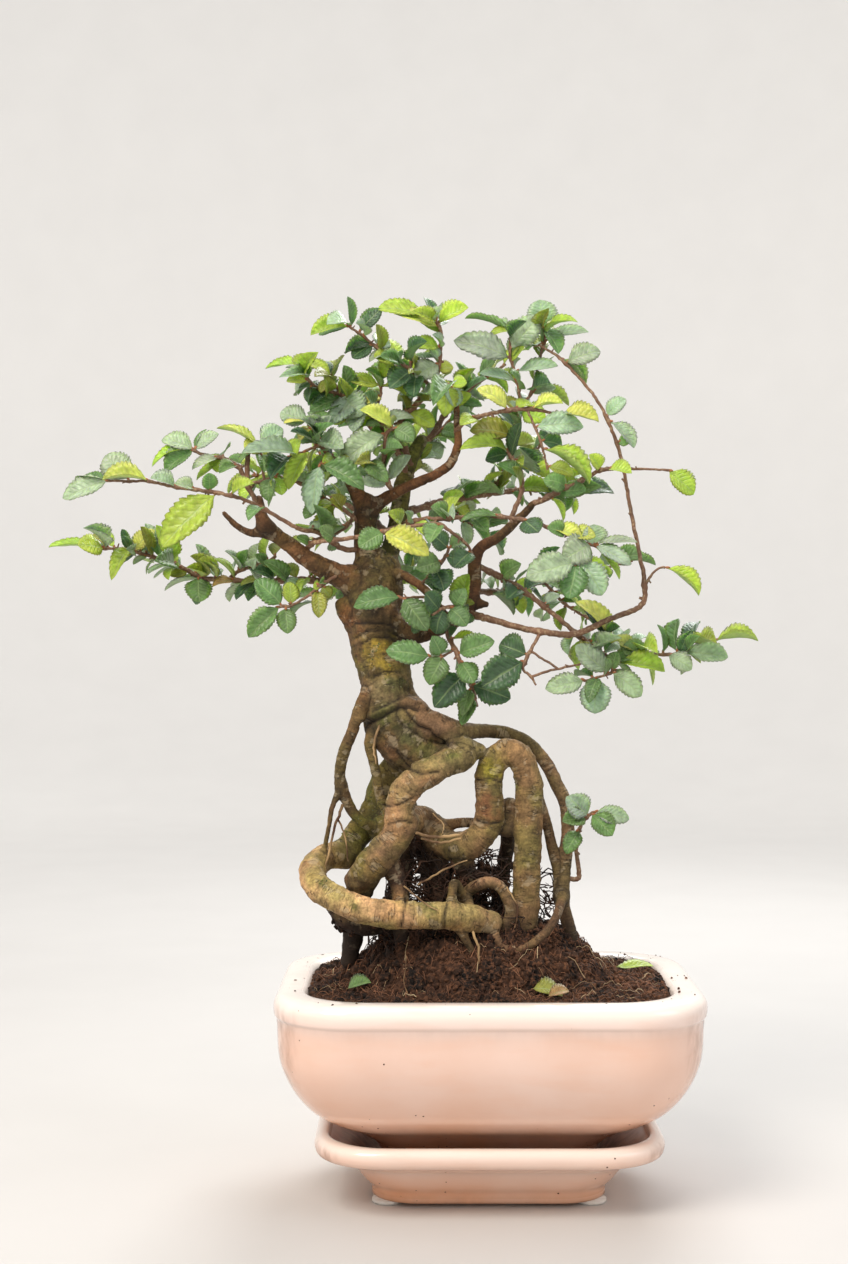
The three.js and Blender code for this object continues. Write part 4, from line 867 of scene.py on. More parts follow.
class Tone(Enum):
    """Colours of the leaves, from the crown's pale waxy ones, whose paleness is partly painted sheen, to the
    dry ones inside.
    """

    # Pale grey-green: partly the leaf's own colour, partly painted sheen off its waxy top.
    GREY = "9BAF92"
    LEAF = "688752"
    LIME = "A3BB47"
    GOLD = "C2C660"
    OLIVE = "8D923F"
    DARK = "435E42"
    DRY = "9A7A4C"


GREY, LEAF, LIME, GOLD, OLIVE, DARK, DRY = Tone


@dataclass(frozen=True)
class Rank:
    """Leaves by rule along a twig: first and last place in rows, how many, their length, the seed."""

    first: float
    last: float
    count: int
    length: float
    seed: int


@dataclass
class Twig:
    """A leafy twig: its rows, and its leaves one by one or by rule."""

    run: list[Row]
    leaves: Sequence[Sequence[Any]] = ()
    rank: Rank | None = None


# Stems are rows of [x, y, z, radius]. The first of the trunk's rows are the trunk itself, then the fold of
# wood at its foot and the stub of a cut limb at its shoulder.
TRUNK: list[list[Row]] = [
    [[-14, -1, 156, 4.2], [-22.5, -1, 157.5, 6.3], [-29.5, -1, 162, 8.2], [-33.5, 0, 168, 9.4],
     [-35.3, 0.5, 175, 9.5], [-37, 1, 184, 9.6], [-39.7, 2, 198, 10], [-41.8, 3, 209, 10.4],
     [-40.5, 4, 217, 9.8], [-39.5, 4, 223, 8.5]],
    [[-38, 2, 178, 7.2], [-36, 0, 168, 8], [-32, -1, 160, 7], [-27, -1, 155, 5.5]],
    [[-42, 2, 208, 8], [-46.5, 1, 208.3, 6.3], [-50.3, 0, 209.3, 4.2], [-53, -1, 210.8, 2.3]],
]

# Thick limbs: the left one with its cut ends, the fork of the crown, the mossy limb behind, the right arm.
LIMBS: list[list[Row]] = [
    [[-45, 2, 217, 6], [-50, 0, 220, 5], [-57, -2, 223, 3.9], [-64.5, -4, 227, 3.3],
     [-71.5, -6, 232.5, 2.8], [-80, -8, 238.5, 2.3]],
    [[-79, -8, 237.5, 2.2], [-81.5, -8, 243, 2.2], [-82.5, -7.5, 248, 2]],
    [[-79, -8, 237.5, 1.6], [-85, -8, 236.5, 1.3], [-90, -9, 239, 1.1], [-94.5, -10, 243.5, 0.8]],
    [[-42, 3, 217, 6.5], [-43, 2, 225, 4.8], [-44.3, 1.5, 236, 4], [-44, 0, 247.5, 3.3]],
    [[-44, 0, 245, 3], [-48, -1, 252.5, 2.4], [-50.3, -1, 257, 2.1], [-52, -2, 260, 1.5]],
    [[-44, 0, 244, 2.8], [-37.5, -1, 249, 2.2], [-31, -2, 252.6, 1.9], [-24.5, -2, 255.5, 1.8],
     [-19, -1, 258, 1.7], [-13.5, 0, 262, 1.6], [-10.7, 0, 269, 1.5], [-11, 0, 276, 1.3],
     [-11.2, 0, 283, 1]],
    [[-40, 6, 218, 5], [-36.5, 12, 228, 3.6], [-33, 15, 241, 3.3], [-30.5, 16, 257, 3.3],
     [-28.5, 16, 264, 3], [-24, 16, 272, 2.3]],
    [[-36, -1, 206, 4.6], [-31.5, -3, 202, 3.2], [-26, -4, 199.3, 2.6], [-20.5, -3, 201, 2.5],
     [-15, -2, 203.5, 2.6], [-8, -1, 208.5, 2.7], [-5, 0, 218, 2.6], [-4.5, -1, 227, 2.4],
     [-2.5, -2, 231.5, 2.1], [2.7, -2, 234.5, 1.8], [6.5, -2, 237.5, 1.7], [10, -2, 241, 1.6],
     [13.5, -2.5, 244, 1.4], [16, -3.5, 247, 1.2]],
    [[-38, 2, 221, 2.6], [-32, -2, 222, 1.7], [-27, -4, 219.5, 1.6], [-22, -4.5, 215.5, 1.5],
     [-17, -3.5, 209, 1.5], [-14, -2, 204.5, 1.5]],
    [[-6, 0, 211.5, 1.9], [-3, -1, 211.2, 1.6], [-0.5, -1.5, 211, 1.1]],
]

# Bared roots: the front root and its knob, the loop round the front, the tall arches, the thin roots round
# them and the legs that carry the tree down into the soil.
ROOTS: list[list[Row]] = [
    [[-9.5, -8.5, 156.3, 4.8], [-17.5, -11.5, 152.8, 5], [-24.5, -13, 149, 5.2],
     [-29.8, -13.5, 144.5, 5.2], [-31.5, -13, 138.5, 5.2], [-31.4, -12.5, 132, 5], [-33.2, -12, 127.4, 5.1],
     [-37.5, -11.5, 122.7, 5.3], [-42.3, -10, 117, 5.4], [-46, -8, 112, 5]],
    [[-12, -6, 158, 4.6], [-8, -6.5, 158.6, 4.4], [-3.5, -6, 158.6, 2.6]],
    [[-30, 5, 152, 6.5], [-38, 7, 144, 5.5], [-40, 8, 137.5, 5.1], [-44.4, 8, 131, 5],
     [-48.4, 7, 124.5, 4.9], [-52, 5, 120, 4.6]],
    [[-55, 3, 120, 4.7], [-59, 1, 119.5, 4.7], [-62.5, -8, 116, 4.8], [-61, -16, 111, 4.8],
     [-54, -20, 107, 4.8], [-45, -22, 103.8, 4.9], [-34, -22.5, 101.8, 4.9], [-23.7, -22, 101.6, 4.8],
     [-14, -21, 101, 4.7], [-5.6, -19, 100, 4.4], [0.8, -16, 98.3, 3.6]],
    [[-24, 2, 133, 4.5], [-16, 0, 125, 5], [-8, -4, 124, 5], [-2, -5, 128.5, 5], [0.6, -5, 135, 5],
     [0.5, -5, 142, 5], [0.6, -4, 149, 5], [3, -4, 155, 5], [8, -4, 157.8, 5], [12.7, -4, 154, 4.9],
     [14.8, -4, 145, 4.8], [14.8, -5, 131, 4.8], [14, -6, 114.5, 4.8], [13.3, -6, 100, 5],
     [12.5, -6, 86, 4.6]],
    [[-29, -4, 171, 6], [-22, -5.5, 168.3, 5.2], [-15, -5, 166, 4.4], [-9.5, -2, 165.2, 3.3],
     [-4, 2, 165, 2.7], [1, 4.5, 164.8, 2.5], [7.8, 6, 163.7, 2.5], [15.4, 5, 160, 2.4],
     [21.6, 4, 153, 2.4], [25, 3, 146, 2.4], [28.4, 2, 139, 2.4], [29.2, 1, 128, 2.3], [27.8, 0, 114, 2.3],
     [27, -1, 104, 2.3], [30, -2, 92, 2.4], [31, -2, 82, 2]],
    [[14.7, -3, 145, 2.4], [18.7, -1, 139.5, 1.9], [21.6, 0, 131, 1.8], [23.8, 0, 121, 1.8],
     [25.6, 0, 114, 1.8], [26.5, -1, 105, 1.8]],
    [[27, -3, 105.5, 1.8], [24, -12, 99.5, 1.5], [19.4, -17, 94, 1.5], [12, -19, 89.5, 1.5],
     [5.5, -19, 89.5, 1.5], [2, -18, 94, 1.5], [1.2, -16, 99, 1.6]],
    [[-8, -8, 106.7, 2], [-2, -11, 111.4, 2.1], [3.5, -12, 110.7, 2.1], [7, -12, 105.3, 2],
     [7.8, -12, 100, 2], [5, -12, 93, 1.9], [4, -11, 83, 1.5]],
    [[-25, 4, 129, 2], [-14, 3, 131, 1.8], [-5.6, 2, 131.7, 1.8], [4, -1, 130.5, 1.8],
     [12, -4, 129.6, 1.8]],
    [[-37, -1, 184, 2.6], [-44, -5, 178, 2.3], [-48.5, -6, 166, 2.1], [-52, -6, 157, 2.1],
     [-53.3, -5, 149, 2], [-51.5, -4, 142, 2], [-48, -3, 135, 1.9], [-43, -1, 131, 1.9],
     [-38, 3, 129, 1.8]],
    [[-52.6, -5, 146, 1], [-56, -6, 138, 0.9], [-57, -6, 132, 0.8], [-59, -5, 122, 0.8]],
    [[-38, -3, 168, 2.6], [-42.5, -5, 162, 1.9], [-41.5, -6, 155.7, 1.8], [-40, -6, 149, 1.7],
     [-38.5, -7, 141, 1.7], [-35, -8, 134, 1.6]],
    [[-33, 6, 134, 5], [-31, 8, 122, 4.6], [-32, 9, 108, 4.2], [-35, 10, 96, 3.8], [-37, 10, 83, 3]],
    [[-44, -7, 113, 4.5], [-47, -5, 104, 4.2], [-48, -3, 95, 3.8], [-50, -2, 82, 3]],
    [[-22, 3, 131, 4.4], [-18, 4, 120, 3.8], [-17, 2, 108, 3.6], [-19, -1, 96, 3.4], [-21, -3, 82, 2.8]],
    [[-10, -3, 122, 4.2], [-7, 0, 112, 3.6], [-5, 3, 101, 3.4], [-3, 5, 92, 3], [-2, 6, 82, 2.6]],
    [[-36, -8, 120, 3.6], [-32, -9, 110, 3], [-31, -11, 100, 2.8], [-31, -12, 90, 2.4], [-30, -12, 82, 2]],
    [[8, 0, 138, 3], [8, 7, 126, 2.8], [6, 11, 112, 2.6], [4, 13, 98, 2.6], [3, 14, 82, 2.2]],
    [[-30, 8, 140, 3.4], [-26, 15, 126, 2.8], [-22, 18, 112, 2.6], [-20, 19, 98, 2.6], [-20, 20, 82, 2.2]],
    [[-12, -16, 112, 1.6], [-13, -19, 106, 1.6], [-10, -20, 96, 1.5], [-6, -20, 88, 1.2],
     [-5, -20, 80, 1]],
    [[-54, -9, 103.5, 3.6], [-50, -11, 99.5, 5], [-44, -11, 97.5, 4.8], [-38, -9, 97, 4.2],
     [-32, -6, 95, 3.4]],
]

# Leafy stems. A leaf is [place on its twig in rows, then x, y and z of its tip from there, width, roll,
# tone].
SPRAYS: dict[str, list[Twig]] = {
    "low_left_branch": [
        Twig([[-53, 3, 219.5, 1.5], [-68, 6, 220, 1.35], [-83, 10, 219.5, 1.2], [-98, 13, 220.5, 1.1],
              [-105, 14, 221, 1], [-114, 13, 225.5, 0.9], [-124, 11, 229, 0.75], [-134, 9, 231.5, 0.65],
              [-142, 8, 231.5, 0.5]],
             [[8, -19, -3, 0.5, 7, 68, LIME], [7.8, -8, -8, 1, 9, 35, LIME],
              [6.5, 6.5, -2, 8, 7, 25, GOLD], [6.6, -5, -4, -3, 5.5, 30, GOLD],
              [4, -14, -2, -4, 6, 60, GREY], [4.2, 1, -4, -9.5, 10, 10, LEAF],
              [2.6, -8, -4, -2, 5.5, 40, DRY], [1.1, -6, 4, 6, 7, 40, OLIVE],
              [2, -4.5, -2, -7, 5.5, 20, DARK], [3.2, -5, 9, 3, 7, 80, LEAF],
              [5.2, 2, 10, -3, 7, 75, LEAF]]),
        Twig([[-95, 13.5, 220.8, 0.9], [-90, 11, 224, 0.8], [-82, 6, 226, 0.8], [-77, 2, 228.5, 0.6]],
             [[2.9, 4, 7, 6, 7, 60, OLIVE]]),
    ],
    "hanging_left_twig": [
        Twig([[-52, -3, 223, 1.1], [-60, -8, 217.5, 0.8], [-65, -11, 213.5, 0.7], [-70, -13, 210.5, 0.65],
              [-74.5, -14, 210, 0.6]],
             [[3.8, -9, -2, 9.5, 9.5, 20, LEAF], [3.1, -0.5, 1, 8.5, 6.5, 20, LIME],
              [4, -11, -3, -11, 8, 10, LEAF], [3.5, 1, -4, -9.5, 7, 10, LEAF]]),
    ],
    "long_left_branch": [
        Twig([[-52, -2, 231, 1.4], [-60, -8, 236.5, 1.2], [-67, -13, 237.5, 1.1], [-76, -16, 242.5, 1],
              [-84.5, -18, 247, 0.95], [-93, -19, 249.5, 0.9], [-102, -20, 251, 0.9],
              [-110, -20, 252, 0.85], [-119.5, -21, 254, 0.75], [-126.5, -21, 254, 0.65],
              [-134.5, -22, 254, 0.5]],
             [[10, -16, -2, -6, 8.5, 15, GREY], [10, -12.5, 3, 1, 7, 55, LEAF],
              [9, -9, 2, 9, 11, 15, GREY], [8, -16, -4, 0, 7, 45, GOLD], [7, -9, -3, 3, 6, 40, GREY],
              [5.3, -19, -5, -19, 13.5, 10, LIME], [6.2, -6.5, -4, 1.5, 5.5, 35, GREY],
              [5.6, 0, -3, 6.5, 6, 20, LEAF], [4.8, 9, -4, 4, 6, 40, LIME],
              [3.4, -5, -9, -3, 6, 50, LEAF]]),
    ],
    "upper_left_branch": [
        Twig([[-82, -7.5, 245, 1.5], [-84, -10, 249.5, 1.3], [-86, -11, 253, 1.3], [-88.5, -11, 259, 1.1],
              [-91.5, -11, 261.5, 1], [-95, -11, 263, 0.9], [-101, -11, 264, 0.8], [-105.5, -11, 266, 0.7]],
             [[7, -11, -2, 4.5, 8, 35, GREY], [7, -15, -4, -4, 5.5, 55, LIME], [7, 4, 3, 8, 4, 60, LEAF],
              [7, 9, -2, 6, 6.5, 35, GREY], [7, -10, -4, -8, 7.5, 20, LEAF], [6, 5, 4, -5, 6, 40, LIME],
              [5.2, -9, -4, -4, 6, 35, GREY], [4.6, -11, 3, -7, 5, 50, LIME],
              [3.4, -6, -5, -3, 5.5, 30, LEAF], [5, 2, 8, 5, 7, 70, LEAF]]),
        Twig([[-86, -11, 254, 1.3], [-86, -12, 261, 1.3], [-85.5, -12.5, 268, 1.2]]),
        Twig([[-86, -11, 254, 0.9], [-80, -10, 255, 0.8], [-76, -9, 257, 0.6]],
             [[2, 3, -5, -7, 6.5, 25, LIME], [1.6, -1, -6, -8, 6, 20, LEAF], [2, 9, 4, 1, 6, 50, LEAF]]),
        Twig([[-80, -10, 255, 0.75], [-81, -11, 262, 0.65], [-81.5, -12, 268, 0.5]],
             [[2, -15, -2, 7, 6, 45, GOLD], [2, -5, -5, -1.5, 7.5, 20, GOLD], [2, 8, -1, 6, 8.5, 20, GREY],
              [1.8, 7, -4, -1, 5.5, 30, GOLD], [1.4, 1.5, -5, -7, 6.5, 30, LEAF],
              [1.5, -8, -3, -3, 4.5, 60, LEAF]]),
    ],
    "middle_left_branch": [
        Twig([[-49, 0.5, 259, 1.3], [-53, -3, 261.5, 1.05], [-58.5, -5, 266, 0.9], [-61.5, -6, 272, 0.85],
              [-65, -7, 277, 0.65]],
             [[4, -10, -1, 3, 8.5, 20, GREY], [4, -8.5, -4, -1, 4.5, 60, GOLD],
              [2.7, 9, -7, -4, 8.5, 20, GREY], [3.4, -5, -4, -4, 5, 50, OLIVE],
              [1.4, -4, 4, -7, 7, 30, LIME], [3.6, 6, 3, 5, 7, 40, LEAF]]),
        Twig([[-60, -5.5, 268.5, 0.7], [-65, -9, 266, 0.6], [-71.5, -12, 263, 0.5]],
             [[1.4, -18, -6, -1, 9, 25, GREY], [2, 4, -5, 5.5, 6.5, 30, LIME],
              [2, -6, -3, -9, 8.5, 25, DARK], [1, -6, -5, -14, 8, 15, LIME]]),
        Twig([[-57.5, -4.5, 265, 0.65], [-59, -9, 262.5, 0.55], [-60, -12, 261, 0.5]],
             [[2, 15.5, -4, -10, 8.5, 20, LEAF], [2, -3, -4, -18, 9, 15, GREY]]),
    ],
    "low_inner_left_twig": [
        Twig([[-46, 0, 241, 1.2], [-51, -3, 244.5, 1], [-55, -4, 247, 0.8], [-59, -5, 249.5, 0.55]],
             [[2.2, -2, -3, -13, 8.5, 25, LIME], [3, -7, -5, -8, 6.5, 30, LEAF],
              [1.4, -4, -8, 3, 5.5, 25, GOLD], [3, -6, 4, 4, 7, 50, LEAF]]),
    ],
    "inner_front_branch": [
        Twig([[-34, -1.5, 251.5, 1.3], [-37.5, -5, 258, 1.1], [-37, -7, 266, 1], [-36.5, -8, 272, 0.8],
              [-33.5, -9, 274, 0.6]],
             [[3, -16.5, -4, -10, 9.5, 15, GREY], [4, -12, -3, 6.5, 6.5, 25, GOLD],
              [4, 7, -4, -4, 8, 15, LEAF], [0.6, -9, -6, -1, 6.5, 30, GREY],
              [2.2, 8, 3, 3, 6.5, 45, LEAF]]),
        Twig([[-37.5, -5, 258, 0.9], [-42, -7, 260.5, 0.7], [-46, -8, 262, 0.55]],
             [[1.6, 8, -6, -6, 7, 15, LEAF], [2, -7, -5, 1, 6, 40, OLIVE]]),
    ],
    "crown_left_branch": [
        Twig([[-28, 14, 263, 1.6], [-32, 10, 277, 1.3], [-26, 6, 284, 1.2], [-20, 2, 290, 1.2]],
             [[1.5, 6, 7, 4, 7.5, 60, LEAF], [2.3, -6, 5, 2, 6.5, 60, LEAF]]),
        Twig([[-20, 2, 290, 1], [-25, 0, 294, 0.9], [-31, -2, 298, 0.85], [-36, -3, 301, 0.8],
              [-41, -3, 304.5, 0.7], [-46, -4, 308.5, 0.6], [-50.5, -4, 311.5, 0.5]],
             [[6, -11, 1, -3, 6.5, 45, LEAF], [5.8, -14, -3, -3.5, 7, 30, LIME],
              [5.1, 8, -1, 8.5, 6.5, 20, DARK], [4, -8, -1, -4.5, 7, 25, DARK], [3.9, 5, 2, 2, 6, 30, GREY],
              [2.9, -7, -4, -1.5, 5.5, 60, GREY], [2.2, -9, -4, 1.5, 8, 40, LIME],
              [2.4, -6, 3, -5, 7, 15, LIME], [1.4, -8, -3, -7, 8.5, 20, DARK],
              [1.1, -1, -5, -9, 8, 15, DARK]]),
        Twig([[-28, -1, 296.5, 0.8], [-27.5, -2, 301, 0.7]]),
        Twig([[-20, 2, 290, 0.9], [-17.5, 2, 297, 0.8], [-17, 1, 304, 0.75], [-17, 0, 310, 0.7],
              [-19, -1, 314, 0.6], [-22, -2, 316, 0.5]],
             [[5, -18, -3, 1.5, 8, 35, LIME], [3.3, -16, -5, 4.5, 8, 25, GOLD],
              [3.6, 11, -2, 5.5, 7.5, 25, LIME], [2, -10.5, -4, 1, 6.5, 30, LIME],
              [1.2, -9, -4, -5, 9, 15, GREY], [1.5, -11, 3, 0, 5.5, 60, LEAF],
              [0.9, 5, -2, 1, 6, 20, OLIVE]]),
        Twig([[-20, 2, 290, 0.7], [-16, 0, 291.5, 0.55], [-13, -1, 290, 0.5]],
             [[2, 6, -1, 1, 5.5, 20, LIME], [2, 1.5, -3, -8, 6.5, 20, GREY],
              [1, 1, -5, -12, 8.5, 15, LIME]]),
    ],
    "far_upper_left_branch": [
        Twig([[-30, 13, 261, 1.6], [-37, 9, 275, 1.2], [-45, 6, 283, 1], [-53, 4, 287.5, 0.9],
              [-60, 2, 289, 0.75], [-65, 0, 292.5, 0.65], [-67, -1, 298.5, 0.5]],
             [[6, -13.5, -1, -1, 6.5, 40, LIME], [6, 10, -2, -3, 6, 45, LIME],
              [5.2, -7.5, -1, 3.5, 5, 50, GREY], [5.1, -1, -3, 6.5, 5, 45, DARK],
              [4.6, -2, -1, -6.5, 5, 40, DARK], [4.2, -7, -3, 0, 6, 50, DARK],
              [3.6, -8, -2, -4, 7.5, 40, DARK], [3, 7.5, -4, -8, 11.5, 10, GREY],
              [2.8, -13, -5, -6, 8, 25, LEAF], [2.4, -9, -7, -8, 8, 10, GREY],
              [2.1, -3, -6, -10, 7, 15, GREY], [2.6, -6, -2, -9, 8.5, 15, LIME],
              [1.8, -6, -4, -7, 6, 40, OLIVE], [1.2, 11, -4, 3, 6, 45, GREY],
              [3.8, 3, 8, 4, 7.5, 70, LEAF]]),
        Twig([[-53, 4, 287.5, 0.7], [-56, 2, 292, 0.6], [-58.5, 1, 295.5, 0.5]],
             [[1.4, -3, -3, -6, 5, 40, OLIVE]]),
        Twig([[-42, 7, 280, 0.7], [-39, 5, 287, 0.6], [-38.5, 4, 293, 0.5]],
             [[1.6, -12.5, -3, 2, 6.5, 35, LIME], [1.6, 9, -5, -4, 6, 45, LIME],
              [1, -6, -5, -3, 6, 20, GOLD], [2, 3, 3, 7, 6.5, 30, LEAF]]),
    ],
    "arching_branch": [
        Twig([[-11.5, 0, 273.5, 1.3], [-8, -4, 277, 1.1], [-2, -8, 278.5, 1.05], [6, -11, 280, 1],
              [14, -12, 280.5, 1], [20, -13, 279.5, 0.8], [26, -14, 278, 0.6]],
             [[6, 13.5, -3, -3, 7.5, 40, GOLD], [4.2, 11, -3, 1.5, 5.5, 45, GOLD],
              [3.1, -10, -3, 8, 7, 30, GOLD], [3.4, 7, 3, 3, 6.5, 50, LIME],
              [1.6, -5, -7, -3, 6.5, 20, LIME]]),
        Twig([[14, -12, 280, 0.65], [16, -13, 275, 0.6], [19, -14, 267, 0.55], [21, -14, 258.5, 0.45]],
             [[3, 9, -3, -2.5, 6, 30, OLIVE], [2.1, 16, -4, -13, 6.5, 50, LIME],
              [1.8, 8, 3, -1, 7, 30, DARK], [1.2, 16.5, -3, 1, 8.5, 15, GREY]]),
    ],
    "top_right_branch": [
        Twig([[9, 2, 243, 1.4], [12.5, 5, 252, 1.1], [12, 6, 260, 1], [8.5, 6, 266, 1], [9, 7, 271, 0.95],
              [12, 7, 280, 0.9], [12.5, 6, 285, 0.85]],
             [[4.2, -15, -3, 3, 9.5, 25, OLIVE], [3.2, -17, -6, 2, 7, 40, LIME],
              [2.6, 13, -6, -6, 6.5, 35, LIME], [5.2, 9, -3, -3, 9, 15, LIME],
              [3, -9, 4, -1, 7.5, 20, DARK], [3.6, 9, 4, 2, 6.5, 30, OLIVE], [2, -8, 5, 3, 7, 50, LEAF]]),
        Twig([[12.5, 6, 285, 0.8], [11, 4, 293, 0.75], [9, 3, 299, 0.7], [8.2, 2, 303, 0.65],
              [9, 2, 311, 0.45]],
             [[2.3, -20, -4, 7, 10, 12, GREY], [3.1, 10.5, -3, 11, 10.5, 10, GREY],
              [1.4, 15.5, -4, 2, 6.5, 40, GREY], [0.9, -14, -3, 2.5, 6, 45, GREY],
              [4, -16.5, 3, 6.5, 5.5, 50, LEAF], [4, -8, -3, -1, 4.5, 50, LIME]]),
        Twig([[12.5, 6, 284, 0.8], [16, 6, 288, 0.75], [18, 5, 295, 0.7], [19.5, 4, 302, 0.65],
              [21, 3, 308, 0.55], [19.5, 3, 313, 0.45]],
             [[5, -0.5, -3, 9, 11, 10, GREY], [4.8, 6, -4, -10, 6.5, 45, LEAF],
              [4, 16, 1, 2.5, 6, 40, GREY], [1, 9, -2, 2, 6.5, 45, GREY], [1.2, 14, 4, -4, 5, 55, OLIVE],
              [2.4, 5, 7, 4, 7, 60, LEAF], [3.4, -5, 8, 2, 7, 60, LEAF]]),
    ],
    "hooked_branch": [
        Twig([[-4, -3, 207, 2.1], [3, -5, 205, 1.7], [12, -6, 202.5, 1.6], [20, -7, 201, 1.6],
              [29, -8, 200, 1.7], [36, -9, 202, 1.6], [43, -10, 205.5, 1.4], [54.5, -11, 210.5, 1.4],
              [55.5, -11, 219, 1.2], [53.5, -10, 231, 1], [50.5, -9, 247, 1], [47.5, -8, 264, 0.9],
              [42.5, -7, 278, 0.85], [37.5, -5, 287, 0.8], [30, -3, 296, 0.75], [24.5, -1, 301.5, 0.7],
              [18.5, 0, 305, 0.6]],
             [[12, 6.5, -1, 7, 6, 20, GREY], [11.9, 9.5, -3, -9.5, 5, 40, GREY],
              [11.3, 5, -1, 1.5, 5, 30, LEAF], [14.3, 12, -2, 5, 8.5, 15, GREY],
              [14.7, 9, 2, -10, 4.5, 50, LEAF]]),
        Twig([[19, -7, 201, 1], [16, -9, 196, 0.85], [13, -11, 190.5, 0.8], [12.5, -12, 187.5, 0.7],
              [15, -13, 185, 0.6], [17, -13, 182, 0.45]],
             [[2, -15.5, -2, -9, 12, 10, DARK], [1.6, -10, 3, 4, 9.5, 15, DARK]]),
        Twig([[15, -13, 185, 0.7], [21, -13, 187, 0.65], [28, -12, 188.5, 0.6], [33, -11, 189.5, 0.45]]),
        Twig([[15, -9.6, 194.3, 0.6], [20, -11, 191, 0.6], [25, -12.4, 187.8, 0.6]]),
        Twig([[55.3, -11, 217, 0.8], [58, -12, 221, 0.65], [61, -12, 224, 0.55], [63, -12, 224, 0.45]],
             [[3, 12, -2, -10, 5.5, 40, LIME]]),
    ],
    "long_right_branch": [
        Twig([[16.5, -3.5, 247.3, 1.5], [20.5, -4, 249, 1.4], [28.5, -6, 253, 1.2], [36.5, -8, 257, 1.1],
              [41.5, -12, 259, 0.9], [54, -13, 259, 0.7], [65, -13, 258.5, 0.5]],
             [[6, 9, -2, -8.5, 7.5, 15, LIME], [3.8, -4.5, -3, 5, 5.5, 20, LIME],
              [4.1, 8, -4, -2, 6, 35, LIME], [2, -8, -3, 3, 8.5, 20, LEAF], [1.6, 10, -4, 0.5, 7, 30, LEAF],
              [1.2, 6, -2, -8, 4, 50, LIME], [2.6, 3, 8, 3, 7, 70, LEAF]]),
    ],
    "right_cluster_branch": [
        Twig([[-38, 4, 237.5, 1.6], [-26, -3, 241, 1.3], [-18, -7, 241.5, 1.2], [-10, -10, 242, 1.1],
              [-1.5, -13, 242.5, 1.1], [7.5, -15, 241.5, 1], [15, -16, 240, 0.9], [21, -16, 238, 0.85],
              [29, -17, 235, 0.7], [38, -18, 231, 0.55]],
             [[8.8, -10, -5, -5, 11.5, 10, GREY], [9, 0, -1, 7.5, 9.5, 20, GREY],
              [9, 15.5, 0, 1, 5, 55, GREY], [9, 12.5, -4, -7, 6.5, 30, GREY],
              [9, 9, -1, -12, 4.5, 50, LIME], [7.8, -7, -3, 2, 6.5, 25, LEAF],
              [7.9, 9, -4, -0.5, 6, 40, GOLD], [7, 12, -4, -5, 5.5, 50, GOLD],
              [4.6, -14, -4, -1.5, 6, 45, LEAF], [3.4, 6, -5, -6, 7, 25, LEAF],
              [2.4, -6, -5, 4, 6.5, 35, LEAF], [5.6, 5, -6, -5, 8.5, 20, DARK]]),
        Twig([[30, -17, 234.5, 0.65], [32, -20, 229, 0.55], [30.5, -22, 225, 0.5]],
             [[2, -18, -2, -5, 11.5, 10, GREY], [2, -3, -4, -13, 10.5, 10, LEAF],
              [1.5, 8, -2, -13, 9, 12, GREY]]),
    ],
    "low_right_branch": [
        Twig([[-3.5, 0.5, 225, 1.6], [3, 3, 222, 1.4], [8.5, 4, 219, 1.35], [18, 4, 212.5, 1.3],
              [26.5, 3, 205.5, 1.25], [37, 0, 196.5, 1.1], [43, -2, 192, 0.9], [47, -4, 189.5, 0.6]],
             [[7, 17, -2, -3, 7.5, 30, LIME], [6.5, 8, -2, 2, 5.5, 35, LEAF],
              [1.4, 7, -5, 5, 7.5, 20, LEAF], [2.4, -5, -6, -4, 7.5, 25, DARK],
              [3.3, 6, 8, 2, 7.5, 60, LEAF]]),
        Twig([[43, -2, 192, 0.75], [45, -5, 187, 0.65], [40, -8, 185, 0.55], [34, -10, 183.5, 0.5]],
             [[1.4, -12.5, -2, 10, 8.5, 12, GREY], [1, 1, -3, 7, 5.5, 35, LEAF],
              [3, -14.5, -2, -3, 8, 12, GREY], [2.2, -1, -3, -12.5, 11, 8, GREY],
              [1.2, 10.5, -3, -8, 8.5, 12, GREY]]),
        Twig([[40, -1, 194, 0.95], [43, 1, 198, 0.85], [46, 2, 198, 0.8], [52, 1, 195, 0.8],
              [59, 0, 193, 0.75], [67, -1, 193, 0.7], [75, -2, 195, 0.6], [82.5, -3, 198, 0.5]],
             [[1.9, -12, -1, 15, 7.5, 35, GOLD], [1.5, -9, 4, 13, 7.5, 20, DARK],
              [3.4, -10, -3, 4.5, 6.5, 40, GOLD], [4, -11, -4, 2, 8.5, 20, LEAF],
              [4.6, -2, -1, 11, 6.5, 45, LEAF], [4.8, 8, -3, -5, 7, 15, GREY],
              [5.5, 15.5, -3, -2, 8, 15, GREY], [6.8, -11, 2, 2, 4.5, 55, LIME],
              [7, 16, -1, 0.3, 5, 65, LIME], [5.8, 3, 8, 3, 7, 70, LEAF]]),
    ],
    "low_centre_twig": [
        Twig([[-15, -2, 202.5, 1.5], [-13.5, -6, 198, 1.1], [-11.5, -9, 194, 1], [-10, -11, 190, 0.9],
              [-7.5, -9, 185, 0.75], [-5, -3, 179, 0.65], [-3.5, 4, 174, 0.5]],
             [[2.8, 5, -4, -8, 8, 12, LEAF], [2.3, 13, -4, 5, 8.5, 15, LEAF],
              [3.8, -11, -4, -11, 11, 10, DARK], [4.5, 14, -3, -5, 9.5, 12, DARK],
              [6, 0.5, 4, -23, 9, 20, DARK]]),
        Twig([[-12, -8.5, 195, 0.65], [-16, -13, 192.5, 0.55], [-21, -15, 192, 0.5]],
             [[2, -16, -2, 2.5, 9, 12, LEAF], [1.2, -3, -3, 7, 7.5, 15, LEAF],
              [1, -5, -4, -9.5, 9, 10, LEAF]]),
    ],
    "trunk_front_twig": [
